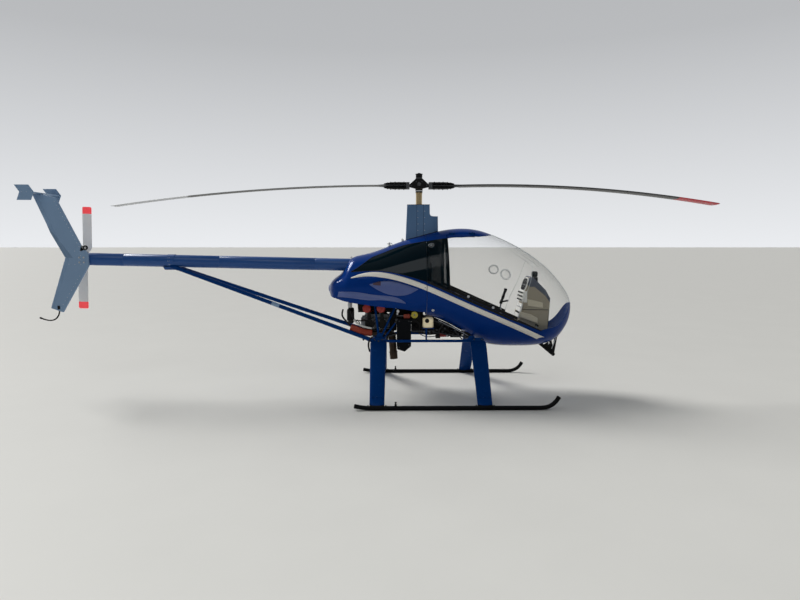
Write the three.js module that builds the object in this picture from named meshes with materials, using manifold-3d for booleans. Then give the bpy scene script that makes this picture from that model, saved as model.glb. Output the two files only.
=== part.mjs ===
// A light two-seat helicopter with a bubble cabin, standing on its skids.
// Millimetres. X forward to the nose, Y to port, Z up. Inside the model the rotor mast stands at X = 0,
// and the ground is at Z = 0. The whole model then moves forward, so that its origin on the ground lies
// midway between the tail's rear tip and the forward blade's tip.
import * as THREE from "three";
import { mergeVertices } from "three/addons/utils/BufferGeometryUtils.js";
import Module from "manifold-3d";

const wasm = await Module();
wasm.setup();

// Driving dimensions
const MAST_X = 440.4; // the mast's place in front of the model's origin
const SEAT_GAP = 0.3; // between two fixed pieces that touch
const PANEL_GAP = 0.8; // between two fixed skin panels
const DOOR_GAP = 5; // round a door
const SKIN = 8; // thickness of the cabin's and the cowl's skin
const SEAM_X = 67; // joint between the cabin and the engine cowl

const ROTOR = { radius: 3100, chord: 180, thickness: 21, pitch: 3, azimuth: 0.3, hubZ: 2120, root: 135 };
const MAST = { radius: 32, bottom: 1476, top: 2092, clearance: 36 };
const TAIL_ROTOR = { radius: 540, chord: 100, thickness: 12, x: -3543, z: 1378, y: 200, lean: 1.8 };
const BOOM = { radius: 63.5, wall: 3, front: -450, rear: -3500, rise: 0.0222, z: 1306 };
const SKID = { halfTrack: 820, radius: 20 };
// The skid tube's middle line, in side view: x, z
const SKID_LINE = [
  [-619, 38], [-560, 27], [-500, 20], [1095, 20], [1145, 25], [1184, 38], [1216, 59], [1241, 85], [1262, 116],
];
const LEG = { footChord: 138, topChord: 160, thickness: 36, rearX: -415, frontX: 584 };
const FRAME = { tube: 14, y: 270, z: 556, rear: -462, front: 610 };
const TANK_FOOT = 686; // height of the oil tank's underside
const SILL = { x: 576, z: 983, slope: -0.445, rail: 35 }; // upper edge of the doors' lower rails, in side view
const HINGE = { y: 165, z: 1635, pin: 4, bore: 4.5, knuckle: 8, at: [325, 528] };

// Sections of the cabin and cowl, from the tail end to the nose.
// Columns: x, top, bottom, half width, height of the widest line, upper power, lower power
const POD_SECTIONS = [
  [-926, 1105, 1030, 48, 1070, 2.0, 2.0],
  [-900, 1145, 965, 128, 1072, 2.0, 2.1],
  [-830, 1205, 885, 205, 1078, 1.9, 2.4],
  [-765, 1272, 835, 246, 1084, 1.85, 2.7],
  [-700, 1375, 805, 276, 1090, 1.8, 3.0],
  [-600, 1413, 790, 308, 1096, 1.75, 3.0],
  [-485, 1440, 785, 332, 1100, 1.75, 3.0],
  [-270, 1520, 785, 360, 1102, 1.75, 3.0],
  [-50, 1594, 792, 376, 1094, 1.8, 3.0],
  [150, 1646, 775, 385, 1078, 1.9, 2.8],
  [310, 1676, 706, 389, 1058, 2.0, 2.6],
  [465, 1684, 616, 390, 1036, 2.0, 2.5],
  [620, 1664, 525, 387, 1014, 2.0, 2.4],
  [800, 1600, 479, 374, 992, 2.0, 2.4],
  [1000, 1506, 469, 342, 956, 2.0, 2.3],
  [1180, 1394, 473, 296, 926, 2.0, 2.3],
  [1330, 1276, 497, 240, 902, 2.0, 2.2],
  [1440, 1160, 552, 184, 888, 2.0, 2.1],
  [1525, 1046, 655, 118, 880, 2.0, 2.0],
  [1570, 955, 765, 56, 876, 2.0, 2.0],
  [1584, 900, 852, 16, 875, 2.0, 2.0],
];
const POD_STATIONS = 27;
const POD_SIDES = 28;

// Outlines in side view: x, z
const TUB_EDGE = [
  [SEAM_X - 20, 1165], [290, 1070], [1232, 651], [1262, 664], [1355, 678],
  [1420, 705], [1484, 773], [1528, 844], [1564, 906], [1700, 934],
];
const COWL_EDGE = [
  [-1000, 1000], [-832, 985], [-773, 967], [-594, 937], [-356, 910], [-237, 900], [-98, 876], [100, 836],
];
const REAR_WINDOW = [
  [SEAM_X + 20, 1152], [-120, 1213], [-286, 1249], [-450, 1261], [-575, 1256], [-690, 1247], [-640, 1278],
  [-575, 1322], [-520, 1363], [-471, 1396], [-340, 1447], [-158, 1512], [-50, 1535], [SEAM_X + 20, 1560],
];
const DOOR_FRONT = [[950, 700], [968, 800], [1030, 980], [1100, 1150], [1143, 1350], [1150, 1800]];
const DOOR_REAR = [[272, 1800], [292, 1000]];
const ROOF_TONGUE = [[20, 163], [600, 163], [690, 118], [735, 60], [750, 0]]; // in plan view: x, y

// Materials
function paint(color, roughness, metalness = 0, extra = {}) {
  return new THREE.MeshStandardMaterial({ color, roughness, metalness, ...extra });
}
const BLUE = paint(0x0a2a7c, 0.25);
const BLACK = paint(0x16171a, 0.5);
const DARK_GREY = paint(0x33363b, 0.55);
const RUBBER = paint(0x1c1c1c, 0.8);
const VINYL = paint(0x1d1d20, 0.7);
const CLEAR = paint(0xdfe7ea, 0.05, 0, { transparent: true, opacity: 0.25 });
const TINTED = paint(0x101418, 0.08, 0, { transparent: true, opacity: 0.8 });
const BRONZE = paint(0xb08a4a, 0.35, 0.9);
const ALUMINIUM = paint(0xb4b8bc, 0.35, 0.9);
const PALE = paint(0xd8d8d4, 0.4);
const CREAM = paint(0xe8d9a8, 0.5);
const RED = paint(0xb3282a, 0.6);
const BEIGE = paint(0xa9a294, 0.6);

// Shaping helpers
const v = (x, y, z) => new THREE.Vector3(x, y, z);

// A closed geometry as a solid that can be cut and joined.
function solid(geometry) {
  const bare = geometry.index ? geometry.toNonIndexed() : geometry.clone();
  bare.deleteAttribute("normal");
  bare.deleteAttribute("uv");
  const merged = mergeVertices(bare, 1e-3);
  return new wasm.Manifold(new wasm.Mesh({
    numProp: 3,
    vertProperties: merged.attributes.position.array,
    triVerts: new Uint32Array(merged.index.array),
  }));
}

function geometryOf(body) {
  const { vertProperties, triVerts } = body.getMesh();
  const geometry = new THREE.BufferGeometry();
  geometry.setAttribute("position", new THREE.BufferAttribute(vertProperties, 3));
  geometry.setIndex(new THREE.BufferAttribute(triVerts, 1));
  geometry.computeVertexNormals();
  return geometry;
}

const largest = (body) => body.decompose().sort((a, b) => b.volume() - a.volume())[0];
const join = (bodies) => bodies.reduce((sum, body) => sum.add(body));
const cut = (body, ...tools) => tools.reduce((rest, tool) => rest.subtract(tool), body);

// A block between two opposite corners.
function block(x0, x1, y0, y1, z0, z1) {
  const box = new THREE.BoxGeometry(x1 - x0, y1 - y0, z1 - z0);
  return solid(box.translate((x0 + x1) / 2, (y0 + y1) / 2, (z0 + z1) / 2));
}

// A straight round bar between two points.
function rod(from, to, radius, sides = 12) {
  const along = to.clone().sub(from);
  const bar = new THREE.CylinderGeometry(radius, radius, along.length(), sides);
  const turn = new THREE.Quaternion().setFromUnitVectors(v(0, 1, 0), along.normalize());
  const middle = from.clone().add(to).multiplyScalar(0.5);
  return solid(bar.applyQuaternion(turn).translate(middle.x, middle.y, middle.z));
}

// A polygon that lies round a circle of the given radius, with a flat side at the bottom.
function roundSection(radius, sides) {
  const outer = radius / Math.cos(Math.PI / sides);
  const corners = Array.from({ length: sides }, (_, i) => {
    const angle = ((i + 0.5) * 2 * Math.PI) / sides;
    return new THREE.Vector2(outer * Math.cos(angle), outer * Math.sin(angle));
  });
  return new THREE.Shape(corners);
}

// A tube along a smooth curve through points.
function tube(points, radius, steps, sides = 12) {
  const extrudePath = new THREE.CatmullRomCurve3(points, false, "centripetal");
  return solid(new THREE.ExtrudeGeometry(roundSection(radius, sides), { steps, extrudePath, bevelEnabled: false }));
}

// A side-view outline (x, z) given a width in Y.
function sidePrism(outline, y0, y1) {
  const shape = new THREE.Shape(outline.map(([x, z]) => new THREE.Vector2(x, z)));
  const slab = new THREE.ExtrudeGeometry(shape, { depth: y1 - y0, bevelEnabled: false });
  return solid(slab.rotateX(Math.PI / 2).translate(0, y1, 0));
}

// A plan-view outline (x, y) given a height in Z.
function planPrism(outline, z0, z1) {
  const shape = new THREE.Shape(outline.map(([x, y]) => new THREE.Vector2(x, y)));
  return solid(new THREE.ExtrudeGeometry(shape, { depth: z1 - z0, bevelEnabled: false }).translate(0, 0, z0));
}

// A closed skin over rings of points, each ring with the same number of points.
function loft(rings) {
  const count = rings[0].length;
  const points = rings.flat();
  const middle = (ring) => ring.reduce((sum, p) => sum.add(p), v(0, 0, 0)).divideScalar(count);
  points.push(middle(rings[0]), middle(rings.at(-1)));
  const faces = [];
  for (let j = 0; j < count; j++) {
    const k = (j + 1) % count;
    const end = (rings.length - 1) * count;
    faces.push(points.length - 2, k, j, points.length - 1, end + j, end + k);
    for (let i = 0; i < rings.length - 1; i++) {
      const row = i * count;
      faces.push(row + j, row + k, row + count + k, row + j, row + count + k, row + count + j);
    }
  }
  const volume = (a, b, c) => a.dot(b.clone().cross(c));
  let total = 0;
  for (let i = 0; i < faces.length; i += 3) {
    total += volume(points[faces[i]], points[faces[i + 1]], points[faces[i + 2]]);
  }
  if (total < 0) faces.reverse();
  const geometry = new THREE.BufferGeometry().setFromPoints(points).setIndex(faces);
  return solid(geometry);
}

// A smooth curve with continuous curvature through values at knots.
function naturalSpline(knots, values) {
  const n = knots.length;
  const bend = new Array(n).fill(0);
  const upper = new Array(n).fill(0);
  for (let i = 1; i < n - 1; i++) {
    const before = knots[i] - knots[i - 1];
    const after = knots[i + 1] - knots[i];
    const jump = (values[i + 1] - values[i]) / after - (values[i] - values[i - 1]) / before;
    const pivot = 2 * (before + after) - before * upper[i - 1];
    upper[i] = after / pivot;
    bend[i] = (6 * jump - before * bend[i - 1]) / pivot;
  }
  for (let i = n - 2; i > 0; i--) bend[i] -= upper[i] * bend[i + 1];
  return (t) => {
    let i = 0;
    while (i < n - 2 && t > knots[i + 1]) i++;
    const h = knots[i + 1] - knots[i];
    const a = (knots[i + 1] - t) / h;
    const b = (t - knots[i]) / h;
    const curve = ((a ** 3 - a) * bend[i] + (b ** 3 - b) * bend[i + 1]) * (h * h) / 6;
    return a * values[i] + b * values[i + 1] + curve;
  };
}

// The cabin and cowl as one body, its surface moved inwards by the inset.
const podKnots = POD_SECTIONS.reduce((knots, [x, top], i) => {
  if (i === 0) return [0];
  const [x0, top0] = POD_SECTIONS[i - 1];
  return [...knots, knots[i - 1] + Math.hypot(x - x0, top - top0)];
}, []);
const podColumn = POD_SECTIONS[0].map((_, c) => naturalSpline(podKnots, POD_SECTIONS.map((row) => row[c])));

function podRing(t, inset) {
  const [x, top, bottom, width, widest, upper, lower] = podColumn.map((column) => column(t));
  const middle = (POD_SECTIONS[0][0] + POD_SECTIONS.at(-1)[0]) / 2;
  const half = (POD_SECTIONS.at(-1)[0] - POD_SECTIONS[0][0]) / 2;
  const ringX = middle + (x - middle) * (1 - inset / half);
  return Array.from({ length: POD_SIDES }, (_, i) => {
    const angle = ((i + 0.5) * 2 * Math.PI) / POD_SIDES;
    const across = Math.cos(angle);
    const up = Math.sin(angle);
    const power = 2 / (up > 0 ? upper : lower);
    const reach = up > 0 ? top - inset - widest : widest - bottom - inset;
    const y = Math.max(width - inset, 2) * Math.sign(across) * Math.abs(across) ** power;
    return v(ringX, y, widest + reach * Math.sign(up) * Math.abs(up) ** power);
  });
}

function pod(inset) {
  const end = podKnots.at(-1);
  return loft(Array.from({ length: POD_STATIONS + 1 }, (_, i) => podRing((end * i) / POD_STATIONS, inset)));
}

const podOutside = pod(-SEAT_GAP);
const podInside = pod(SKIN + SEAT_GAP);
const podSkin = pod(0).subtract(pod(SKIN));

// The model
const model = new THREE.Group();
model.position.x = MAST_X;
const mainRotor = new THREE.Group();
mainRotor.rotation.z = THREE.MathUtils.degToRad(ROTOR.azimuth);
const tailRotor = new THREE.Group();
tailRotor.position.set(TAIL_ROTOR.x, 0, TAIL_ROTOR.z);
tailRotor.rotation.y = THREE.MathUtils.degToRad(TAIL_ROTOR.lean);
model.add(mainRotor, tailRotor);

function place(name, body, material, group = model) {
  const mesh = new THREE.Mesh(geometryOf(body), material);
  mesh.name = name;
  group.add(mesh);
  return body;
}

const SIDES = [
  // name, sign of Y
  ["left", 1],
  ["right", -1],
];
const FAR = 2000; // past the outside of everything that is cut

// Raises an outline's own points, for the gap between two panels that share an edge.
const raised = (outline, dz) => outline.map(([x, z]) => [x, z + dz]);

// Boom
const boomZ = (x) => BOOM.z + (BOOM.front - x) * BOOM.rise;
const boomBar = (radius, front = BOOM.front, rear = BOOM.rear) =>
  rod(v(front, 0, boomZ(front)), v(rear, 0, boomZ(rear)), radius, 24);
const boomHollow = boomBar(BOOM.radius - BOOM.wall, BOOM.front + 20, BOOM.rear + 6); // open in front, closed behind
place("tail_boom", boomBar(BOOM.radius).subtract(boomHollow), BLUE);
const boomRoom = boomBar(BOOM.radius + SEAT_GAP);
const mastRoom = rod(v(0, 0, 1300), v(0, 0, FAR), MAST.clearance, 24);

// Cabin and cowl skins
const tubRegion = sidePrism([[SEAM_X, 300], [1700, 300], ...TUB_EDGE.slice(1).reverse(), [SEAM_X, 1157]], -FAR, FAR);
place("cabin_tub", podSkin.intersect(tubRegion), BLUE);

const cowlRegion = sidePrism([...COWL_EDGE.slice(0, -1), [SEAM_X - PANEL_GAP, 843],
  [SEAM_X - PANEL_GAP, FAR], [-1000, FAR]], -FAR, FAR);
const windowRoom = sidePrism(REAR_WINDOW, -FAR, FAR);
place("engine_cowl", cut(podSkin.intersect(cowlRegion), windowRoom, boomRoom, mastRoom), BLUE);

const windowMiddle = [-250, 1330];
const paneOutline = REAR_WINDOW.map((point) =>
  point.map((value, i) => windowMiddle[i] + (value - windowMiddle[i]) * 0.9965));
const cowlSide = block(-FAR, SEAM_X - PANEL_GAP, -FAR, FAR, 0, FAR);
for (const [side, sign] of SIDES) {
  const half = sidePrism(paneOutline, Math.min(0, sign * FAR), Math.max(0, sign * FAR));
  place(`rear_window_${side}`, podSkin.intersect(half).intersect(cowlSide), TINTED);
}

const tongue = (grow) => planPrism([
  ...ROOF_TONGUE.map(([x, y]) => [x + grow, y + grow]),
  ...ROOF_TONGUE.slice(0, -1).reverse().map(([x, y]) => [x + grow, -y - grow]),
], 1250, FAR);
const cabinSide = block(SEAM_X, FAR, -FAR, FAR, 0, FAR);
const roofSkin = podSkin.intersect(tongue(0)).intersect(cabinSide);

const frontRegion = sidePrism([...DOOR_FRONT.map(([x, z]) => [x + DOOR_GAP, z]), [1700, 1800], [1700, 600]], -FAR, FAR);
const aboveTub = sidePrism([...raised(TUB_EDGE, PANEL_GAP), [1700, 1900], [SEAM_X - 20, 1900]], -FAR, FAR);
const centreStrip = block(500, 1200, -(HINGE.y - DOOR_GAP / 2), HINGE.y - DOOR_GAP / 2, 1250, FAR);
const windshield = podSkin.intersect(frontRegion.add(centreStrip)).intersect(aboveTub).subtract(tongue(PANEL_GAP));
place("windshield", windshield, CLEAR);

const behindDoor = sidePrism([[SEAM_X, 900], ...DOOR_REAR.map(([x, z]) => [x - DOOR_GAP, z]).reverse(),
  [SEAM_X, 1800]], -FAR, FAR);
const doorFoot = (x) => [x, SILL.z + SILL.slope * (x - SILL.x) - SILL.rail];
const doorOutline = [DOOR_REAR[0], doorFoot(DOOR_REAR[1][0]), doorFoot(DOOR_FRONT[1][0] - 4), ...DOOR_FRONT.slice(1)];

// One block of a hinge's ear: it reaches from inside the roof's edge out to the given y.
function earBlock(x, sign, outer, bottom) {
  const [y0, y1] = [sign * (HINGE.y - 16), sign * outer].sort((a, b) => a - b);
  return block(x - 4, x + 4, y0, y1, bottom, HINGE.z + 6);
}

// A door hangs from two knuckles on its upper edge, whose pins stand on the roof.
function hingeParts(sign, x) {
  const axisAt = (dx) => v(x + dx, sign * HINGE.y, HINGE.z);
  const pin = rod(axisAt(-26), axisAt(26), HINGE.pin, 12);
  const ears = [-22, 22].flatMap((dx) => [
    earBlock(x + dx, sign, HINGE.y - 3, HINGE.z - 36),
    earBlock(x + dx, sign, HINGE.y + 5, HINGE.z - 6),
  ]);
  const barrel = rod(axisAt(-16), axisAt(16), HINGE.knuckle, 16);
  const leafY = [sign * (HINGE.y + 4), sign * (HINGE.y + 14)].sort((a, b) => a - b);
  const leaf = block(x - 16, x + 16, ...leafY, HINGE.z - 40, HINGE.z + 2);
  return { pin, ears, barrel: barrel.add(leaf), bore: rod(axisAt(-20), axisAt(20), HINGE.bore, 12) };
}

let roof = roofSkin;
const doors = [];
for (const [side, sign] of SIDES) {
  const doorY = [sign * (HINGE.y + DOOR_GAP / 2), sign * FAR].sort((a, b) => a - b);
  const beside = block(-FAR, FAR, ...doorY, 0, FAR);
  const quarterY = [sign * (ROOF_TONGUE[0][1] + PANEL_GAP), sign * FAR].sort((a, b) => a - b);
  const quarter = podSkin.intersect(behindDoor).intersect(aboveTub)
    .intersect(block(0, 400, ...quarterY, 900, FAR));
  place(`quarter_window_${side}`, quarter, TINTED);

  let door = podSkin.intersect(sidePrism(doorOutline, -FAR, FAR)).intersect(beside);
  for (const x of HINGE.at) {
    const { pin, ears, barrel, bore } = hingeParts(sign, x);
    const earsOnRoof = ears.map((ear) => ear.subtract(pod(SKIN / 2)));
    roof = join([roof, pin, ...earsOnRoof]);
    door = door.add(barrel.subtract(pod(SKIN / 2))).subtract(bore);
  }
  doors.push([`door_${side}`, door]);
}
for (const [name, door] of doors) place(name, door, CLEAR);
place("cabin_roof", roof, BLUE);

// Cabin structure and seats
place("bulkhead", podInside.intersect(block(88, 100, -FAR, FAR, 0, FAR)), BLACK);
const archSlab = sidePrism([[262, 1050], [296, 1050], [276, 1750], [242, 1750]], -FAR, FAR);
place("door_arch", podInside.subtract(pod(SKIN + 24)).intersect(archSlab), BLACK);
const floorTop = 564;
place("cabin_floor", podInside.intersect(block(600, 1400, -FAR, FAR, 556, floorTop)), DARK_GREY);
const seatBoxTop = 880;
place("seat_box", podInside.intersect(block(100.5, 385, -FAR, FAR, 0, seatBoxTop)), DARK_GREY);

const SEATS = [
  // name, side outline, half width
  ["front_seat_cushion", [[452, 565], [800, 565], [800, 715], [452, 735]], 185],
  ["front_seat_back", [[385.3, 640], [451, 640], [440, 1030], [385.3, 1034]], 180],
  ["rear_seat_cushion", [[150, 880.3], [384, 880.3], [384, 958], [150, 968]], 205],
  ["rear_seat_back", [[100.3, 880.3], [148, 880.3], [140, 1366], [100.3, 1366]], 195],
  ["headrest", [[100.3, 1384], [238, 1384], [238, 1566], [100.3, 1566]], 165],
];
const seatRoom = pod(SKIN + 1);
for (const [name, outline, half] of SEATS) {
  place(name, sidePrism(outline, -half, half).intersect(seatRoom), VINYL);
}

// Instruments and stick
const consoleOutline = [
  [1020, floorTop + SEAT_GAP], [1026, 740], [1056, 846], [1071, 930], [1086, 1040], [1106, 1111], [1129, 1172],
  [1152, 1192], [1184, 1166], [1294, 1054], [1341, 972], [1343, 862], [1333, 714], [1320, floorTop + SEAT_GAP],
];
const instruments = sidePrism(consoleOutline, -125, 125).add(block(1176, 1236, -30, 30, 1090, 1246));
place("instrument_pod", instruments.intersect(pod(SKIN + 2)), BEIGE);
place("cyclic_stick", join([
  rod(v(850, 0, floorTop + SEAT_GAP), v(850, 0, floorTop + 40), 30, 12),
  rod(v(850, 0, floorTop + 20), v(857, 0, 915), 9, 10),
  rod(v(857, 0, 905), v(909, 0, 1056), 15, 10),
  rod(v(860, 0, 924), v(932, 0, 938), 9, 10),
]), BLACK);

// Steel frame under and behind the cabin
const FRAME_TUBES = [
  // from x, y, z, to x, y, z; each is made on both sides
  [FRAME.rear, FRAME.y, FRAME.z, FRAME.front, FRAME.y, FRAME.z],
  [-405, FRAME.y, FRAME.z, -500, 118, boomZ(-500) - 10],
  [-405, FRAME.y, FRAME.z, -40, 118, 1326],
  [-500, 118, boomZ(-500) - 10, 40, 118, 1326],
];
const FRAME_CROSS = [
  // x, half length, z
  [-412, FRAME.y, FRAME.z],
  [528, FRAME.y, FRAME.z],
  [-490, 118, boomZ(-490) - 90],
  [36, 118, 1326],
];
function frameBody(grow) {
  const radius = FRAME.tube + grow;
  const pairs = FRAME_TUBES.flatMap(([x0, y0, z0, x1, y1, z1]) =>
    SIDES.map(([, sign]) => rod(v(x0, sign * y0, z0), v(x1, sign * y1, z1), radius, 10)));
  const across = FRAME_CROSS.map(([x, y, z]) => rod(v(x, -y, z), v(x, y, z), radius, 10));
  const tilt = BOOM.radius * BOOM.rise; // how far the boom's sloping end leans past its middle
  const boomPlate = block(BOOM.front + tilt + SEAT_GAP, BOOM.front + 12, -118, 118, 1230, 1395);
  const deck = block(-110, 58, -126, 126, 1336, 1346);
  const tray = block(26, 148, -262, -134, TANK_FOOT - 8, TANK_FOOT);
  const trayPost = rod(v(67, -262, FRAME.z), v(67, -250, TANK_FOOT - 4), 6);
  return join([...pairs, ...across, boomPlate, deck, tray, trayPost]);
}
const frontOfSeam = podOutside.intersect(block(SEAM_X - 5, FAR, -FAR, FAR, 0, FAR));
place("frame", frameBody(0).subtract(frontOfSeam), BLUE);
const frameRoom = frameBody(SEAT_GAP);

// Landing gear
function skidBody(sign, radius) {
  const sides = 12;
  const outer = radius / Math.cos(Math.PI / sides);
  return loft(SKID_LINE.map(([x, z], i) => {
    const [x0, z0] = SKID_LINE[Math.max(i - 1, 0)];
    const [x1, z1] = SKID_LINE[Math.min(i + 1, SKID_LINE.length - 1)];
    const slope = Math.atan2(z1 - z0, x1 - x0) * (Math.abs(z - SKID.radius) < 1 ? 0 : 1);
    return Array.from({ length: sides }, (_, k) => {
      const angle = ((k + 0.5) * 2 * Math.PI) / sides;
      const up = outer * Math.sin(angle);
      return v(x - up * Math.sin(slope), sign * SKID.halfTrack + outer * Math.cos(angle), z + up * Math.cos(slope));
    });
  }));
}
function legBody(x, sign, grow) {
  const spine = [[822, 34], [700, 156], [520, 338], [400, 456], [330, 516], [276, 556]];
  const rings = spine.map(([y, z], i) => {
    const [y0, z0] = spine[Math.max(i - 1, 0)];
    const [y1, z1] = spine[Math.min(i + 1, spine.length - 1)];
    const length = Math.hypot(y1 - y0, z1 - z0);
    const [ny, nz] = [(z1 - z0) / length, -(y1 - y0) / length];
    const share = (spine[0][0] - y) / (spine[0][0] - spine.at(-1)[0]);
    const chord = LEG.footChord + (LEG.topChord - LEG.footChord) * share;
    return Array.from({ length: 16 }, (_, k) => {
      const angle = (k * Math.PI) / 8;
      const off = (LEG.thickness / 2 + grow) * Math.sin(angle);
      return v(x + (chord / 2 + grow) * Math.cos(angle), sign * (y + ny * off), z + nz * off);
    });
  });
  return loft(rings);
}
const LEGS = [
  // name, x
  ["rear_leg", LEG.rearX],
  ["front_leg", LEG.frontX],
];
let legRoom;
for (const [side, sign] of SIDES) {
  place(`skid_${side}`, skidBody(sign, SKID.radius), RUBBER);
  const skidRoom = skidBody(sign, SKID.radius + SEAT_GAP);
  for (const [name, x] of LEGS) {
    const leg = cut(legBody(x, sign, 0), skidRoom, frameRoom, podOutside);
    place(`${name}_${side}`, largest(leg), BLUE);
    legRoom = legRoom ? legRoom.add(legBody(x, sign, SEAT_GAP)) : legBody(x, sign, SEAT_GAP);
  }
}

// Boom struts
for (const [side, sign] of SIDES) {
  const strut = rod(v(-2550, sign * 34, boomZ(-2550) - 50), v(-446, sign * FRAME.y, 552), 20, 16);
  place(`boom_strut_${side}`, largest(cut(strut, boomRoom, frameRoom, legRoom)), BLUE);
}

// Tail
const FIN = { y: -BOOM.radius - SEAT_GAP, thickness: 24, top: 2029 };
const FIN_OUTLINE = [
  [-3366, 1428], [-3433, 1506], [-3669, 1990], [-3815, FIN.top], [-3904, FIN.top], [-3737, 1640], [-3603, 1394],
  [-3607, 1372], [-3774, 871], [-3651, 827], [-3366, 1305],
];
const fin = sidePrism(FIN_OUTLINE, FIN.y - FIN.thickness, FIN.y);
const finBelow = sidePrism(raised(FIN_OUTLINE, -SEAT_GAP), FIN.y - FIN.thickness, FIN.y);
place("tail_fin", fin, BLUE);

const stabiliserZ = FIN.top + SEAT_GAP;
const endPlate = [[-3981, 2107], [-3841, 2107], [-3791, 2037], [-3821, 1957], [-3961, 1957], [-3931, 2037]];
place("stabiliser", join([
  block(-3929, -3795, -243, 243, stabiliserZ, stabiliserZ + 12),
  ...SIDES.map(([, sign]) => sidePrism(endPlate, sign * 243 - 3, sign * 243 + 3)),
]), BLUE);

const finMiddle = FIN.y - FIN.thickness / 2;
const bumper = tube([
  v(-3690, finMiddle, 855), v(-3702, finMiddle, 800), v(-3740, finMiddle, 757),
  v(-3807, finMiddle, 745), v(-3885, finMiddle, 768),
], 7, 14, 10);
place("tail_bumper", largest(cut(bumper, fin, finBelow)), BLACK);

const gearboxFront = BOOM.rear - BOOM.radius * BOOM.rise - SEAT_GAP;
place("tail_gearbox", join([
  block(-3603, gearboxFront, -56, 52, 1322, 1438),
  rod(v(TAIL_ROTOR.x, 40, TAIL_ROTOR.z), v(TAIL_ROTOR.x, 110, TAIL_ROTOR.z), 34, 16),
]), DARK_GREY);

// Engine bay
const INTAKE_TOP = 836;
const FILTERS = [
  // name, x
  ["air_filter_rear", -533],
  ["air_filter_front", -390],
];
const engine = join([
  block(-602, -262, -188, 188, 622, 820),
  block(-480, -345, -60, 60, FRAME.z + FRAME.tube + SEAT_GAP, 640),
  ...FILTERS.map(([, x]) => block(x - 22, x + 22, -180, -134, 810, INTAKE_TOP)),
]);
place("engine_block", cut(engine, frameRoom), DARK_GREY);
place("radiator", sidePrism([[-227, 775], [-86, 775], [-86, 500], [-150, 446], [-227, 470]], -262, 262)
  .subtract(frameRoom), BLACK);
// The exhaust leans, so its top is cut level under the engine.
const pipe = cut(rod(v(-258, -150, 354), v(-283, -150, 650), 40, 16), block(-400, -100, -300, 0, 622 - SEAT_GAP, 700));
place("exhaust", pipe.subtract(frameRoom), DARK_GREY);
place("oil_tank", cut(block(32, 142, -252, -138, TANK_FOOT + SEAT_GAP, 806), frontOfSeam), CREAM);
for (const [name, x] of FILTERS) {
  const z = INTAKE_TOP + 42 + SEAT_GAP;
  place(name, rod(v(x, -236, z), v(x, -130, z), 42, 16).subtract(frameRoom), RED);
}
place("main_gearbox", join([
  block(-92, 52, -92, 92, 1346 + SEAT_GAP, 1440),
  rod(v(0, 0, 1430), v(0, 0, MAST.bottom - SEAT_GAP), 40, 20),
]), ALUMINIUM);

// Mast fairing
const fairingSide = sidePrism([
  [-140, 1500], [-121, 1927], [108, 1927], [110, 1809], [194, 1809], [200, 1500],
], -FAR, FAR);
const fairingPlan = Array.from({ length: 28 }, (_, i) => {
  const angle = (i * 2 * Math.PI) / 28;
  return [30 + 170 * Math.cos(angle), 46 * Math.sign(Math.sin(angle)) * Math.abs(Math.sin(angle)) ** 0.8];
});
const fairing = cut(planPrism(fairingPlan, 1500, FAR).intersect(fairingSide), podOutside, mastRoom);
place("mast_fairing", largest(fairing), BLUE);

// Nose bracket
const bracketTip = v(1415, 0, 372);
const bracketArms = [v(1262, 0, 500), v(1378, 0, 560), v(1450, 0, 590)];
place("nose_bracket", join(bracketArms.map((root) => rod(root, bracketTip, 14, 10))).subtract(podOutside), BLACK);

// Main rotor
place("rotor_mast", rod(v(0, 0, MAST.bottom), v(0, 0, MAST.top), MAST.radius, 24), BRONZE, mainRotor);
const yokeOutline = [
  [-98, 2106], [-34, MAST.top + SEAT_GAP], [34, MAST.top + SEAT_GAP], [98, 2106], [98, 2134], [34, 2190], [-34, 2190],
  [-98, 2134],
];
place("rotor_hub", sidePrism(yokeOutline, -36, 36).add(rod(v(0, 0, 2180), v(0, 0, 2250), 37, 16)), BLACK, mainRotor);

// An aerofoil: leading edge at +1/4 chord, thickness greatest at a third of the chord.
const AEROFOIL = [
  // distance behind the leading edge, half thickness; both as shares of the chord and the full thickness
  [0, 0.06], [0.04, 0.26], [0.14, 0.43], [0.33, 0.5], [0.6, 0.36], [0.85, 0.15], [1, 0.03],
];
function aerofoilRing(place2, chord, thickness, pitch) {
  const upper = AEROFOIL.map(([s, h]) => [(0.25 - s) * chord, h * thickness]);
  const lower = AEROFOIL.map(([s, h]) => [(0.25 - s) * chord, -h * thickness]).reverse();
  const turn = THREE.MathUtils.degToRad(pitch);
  return [...upper, ...lower].map(([a, b]) => place2(a * Math.cos(turn) - b * Math.sin(turn),
    a * Math.sin(turn) + b * Math.cos(turn)));
}

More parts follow.
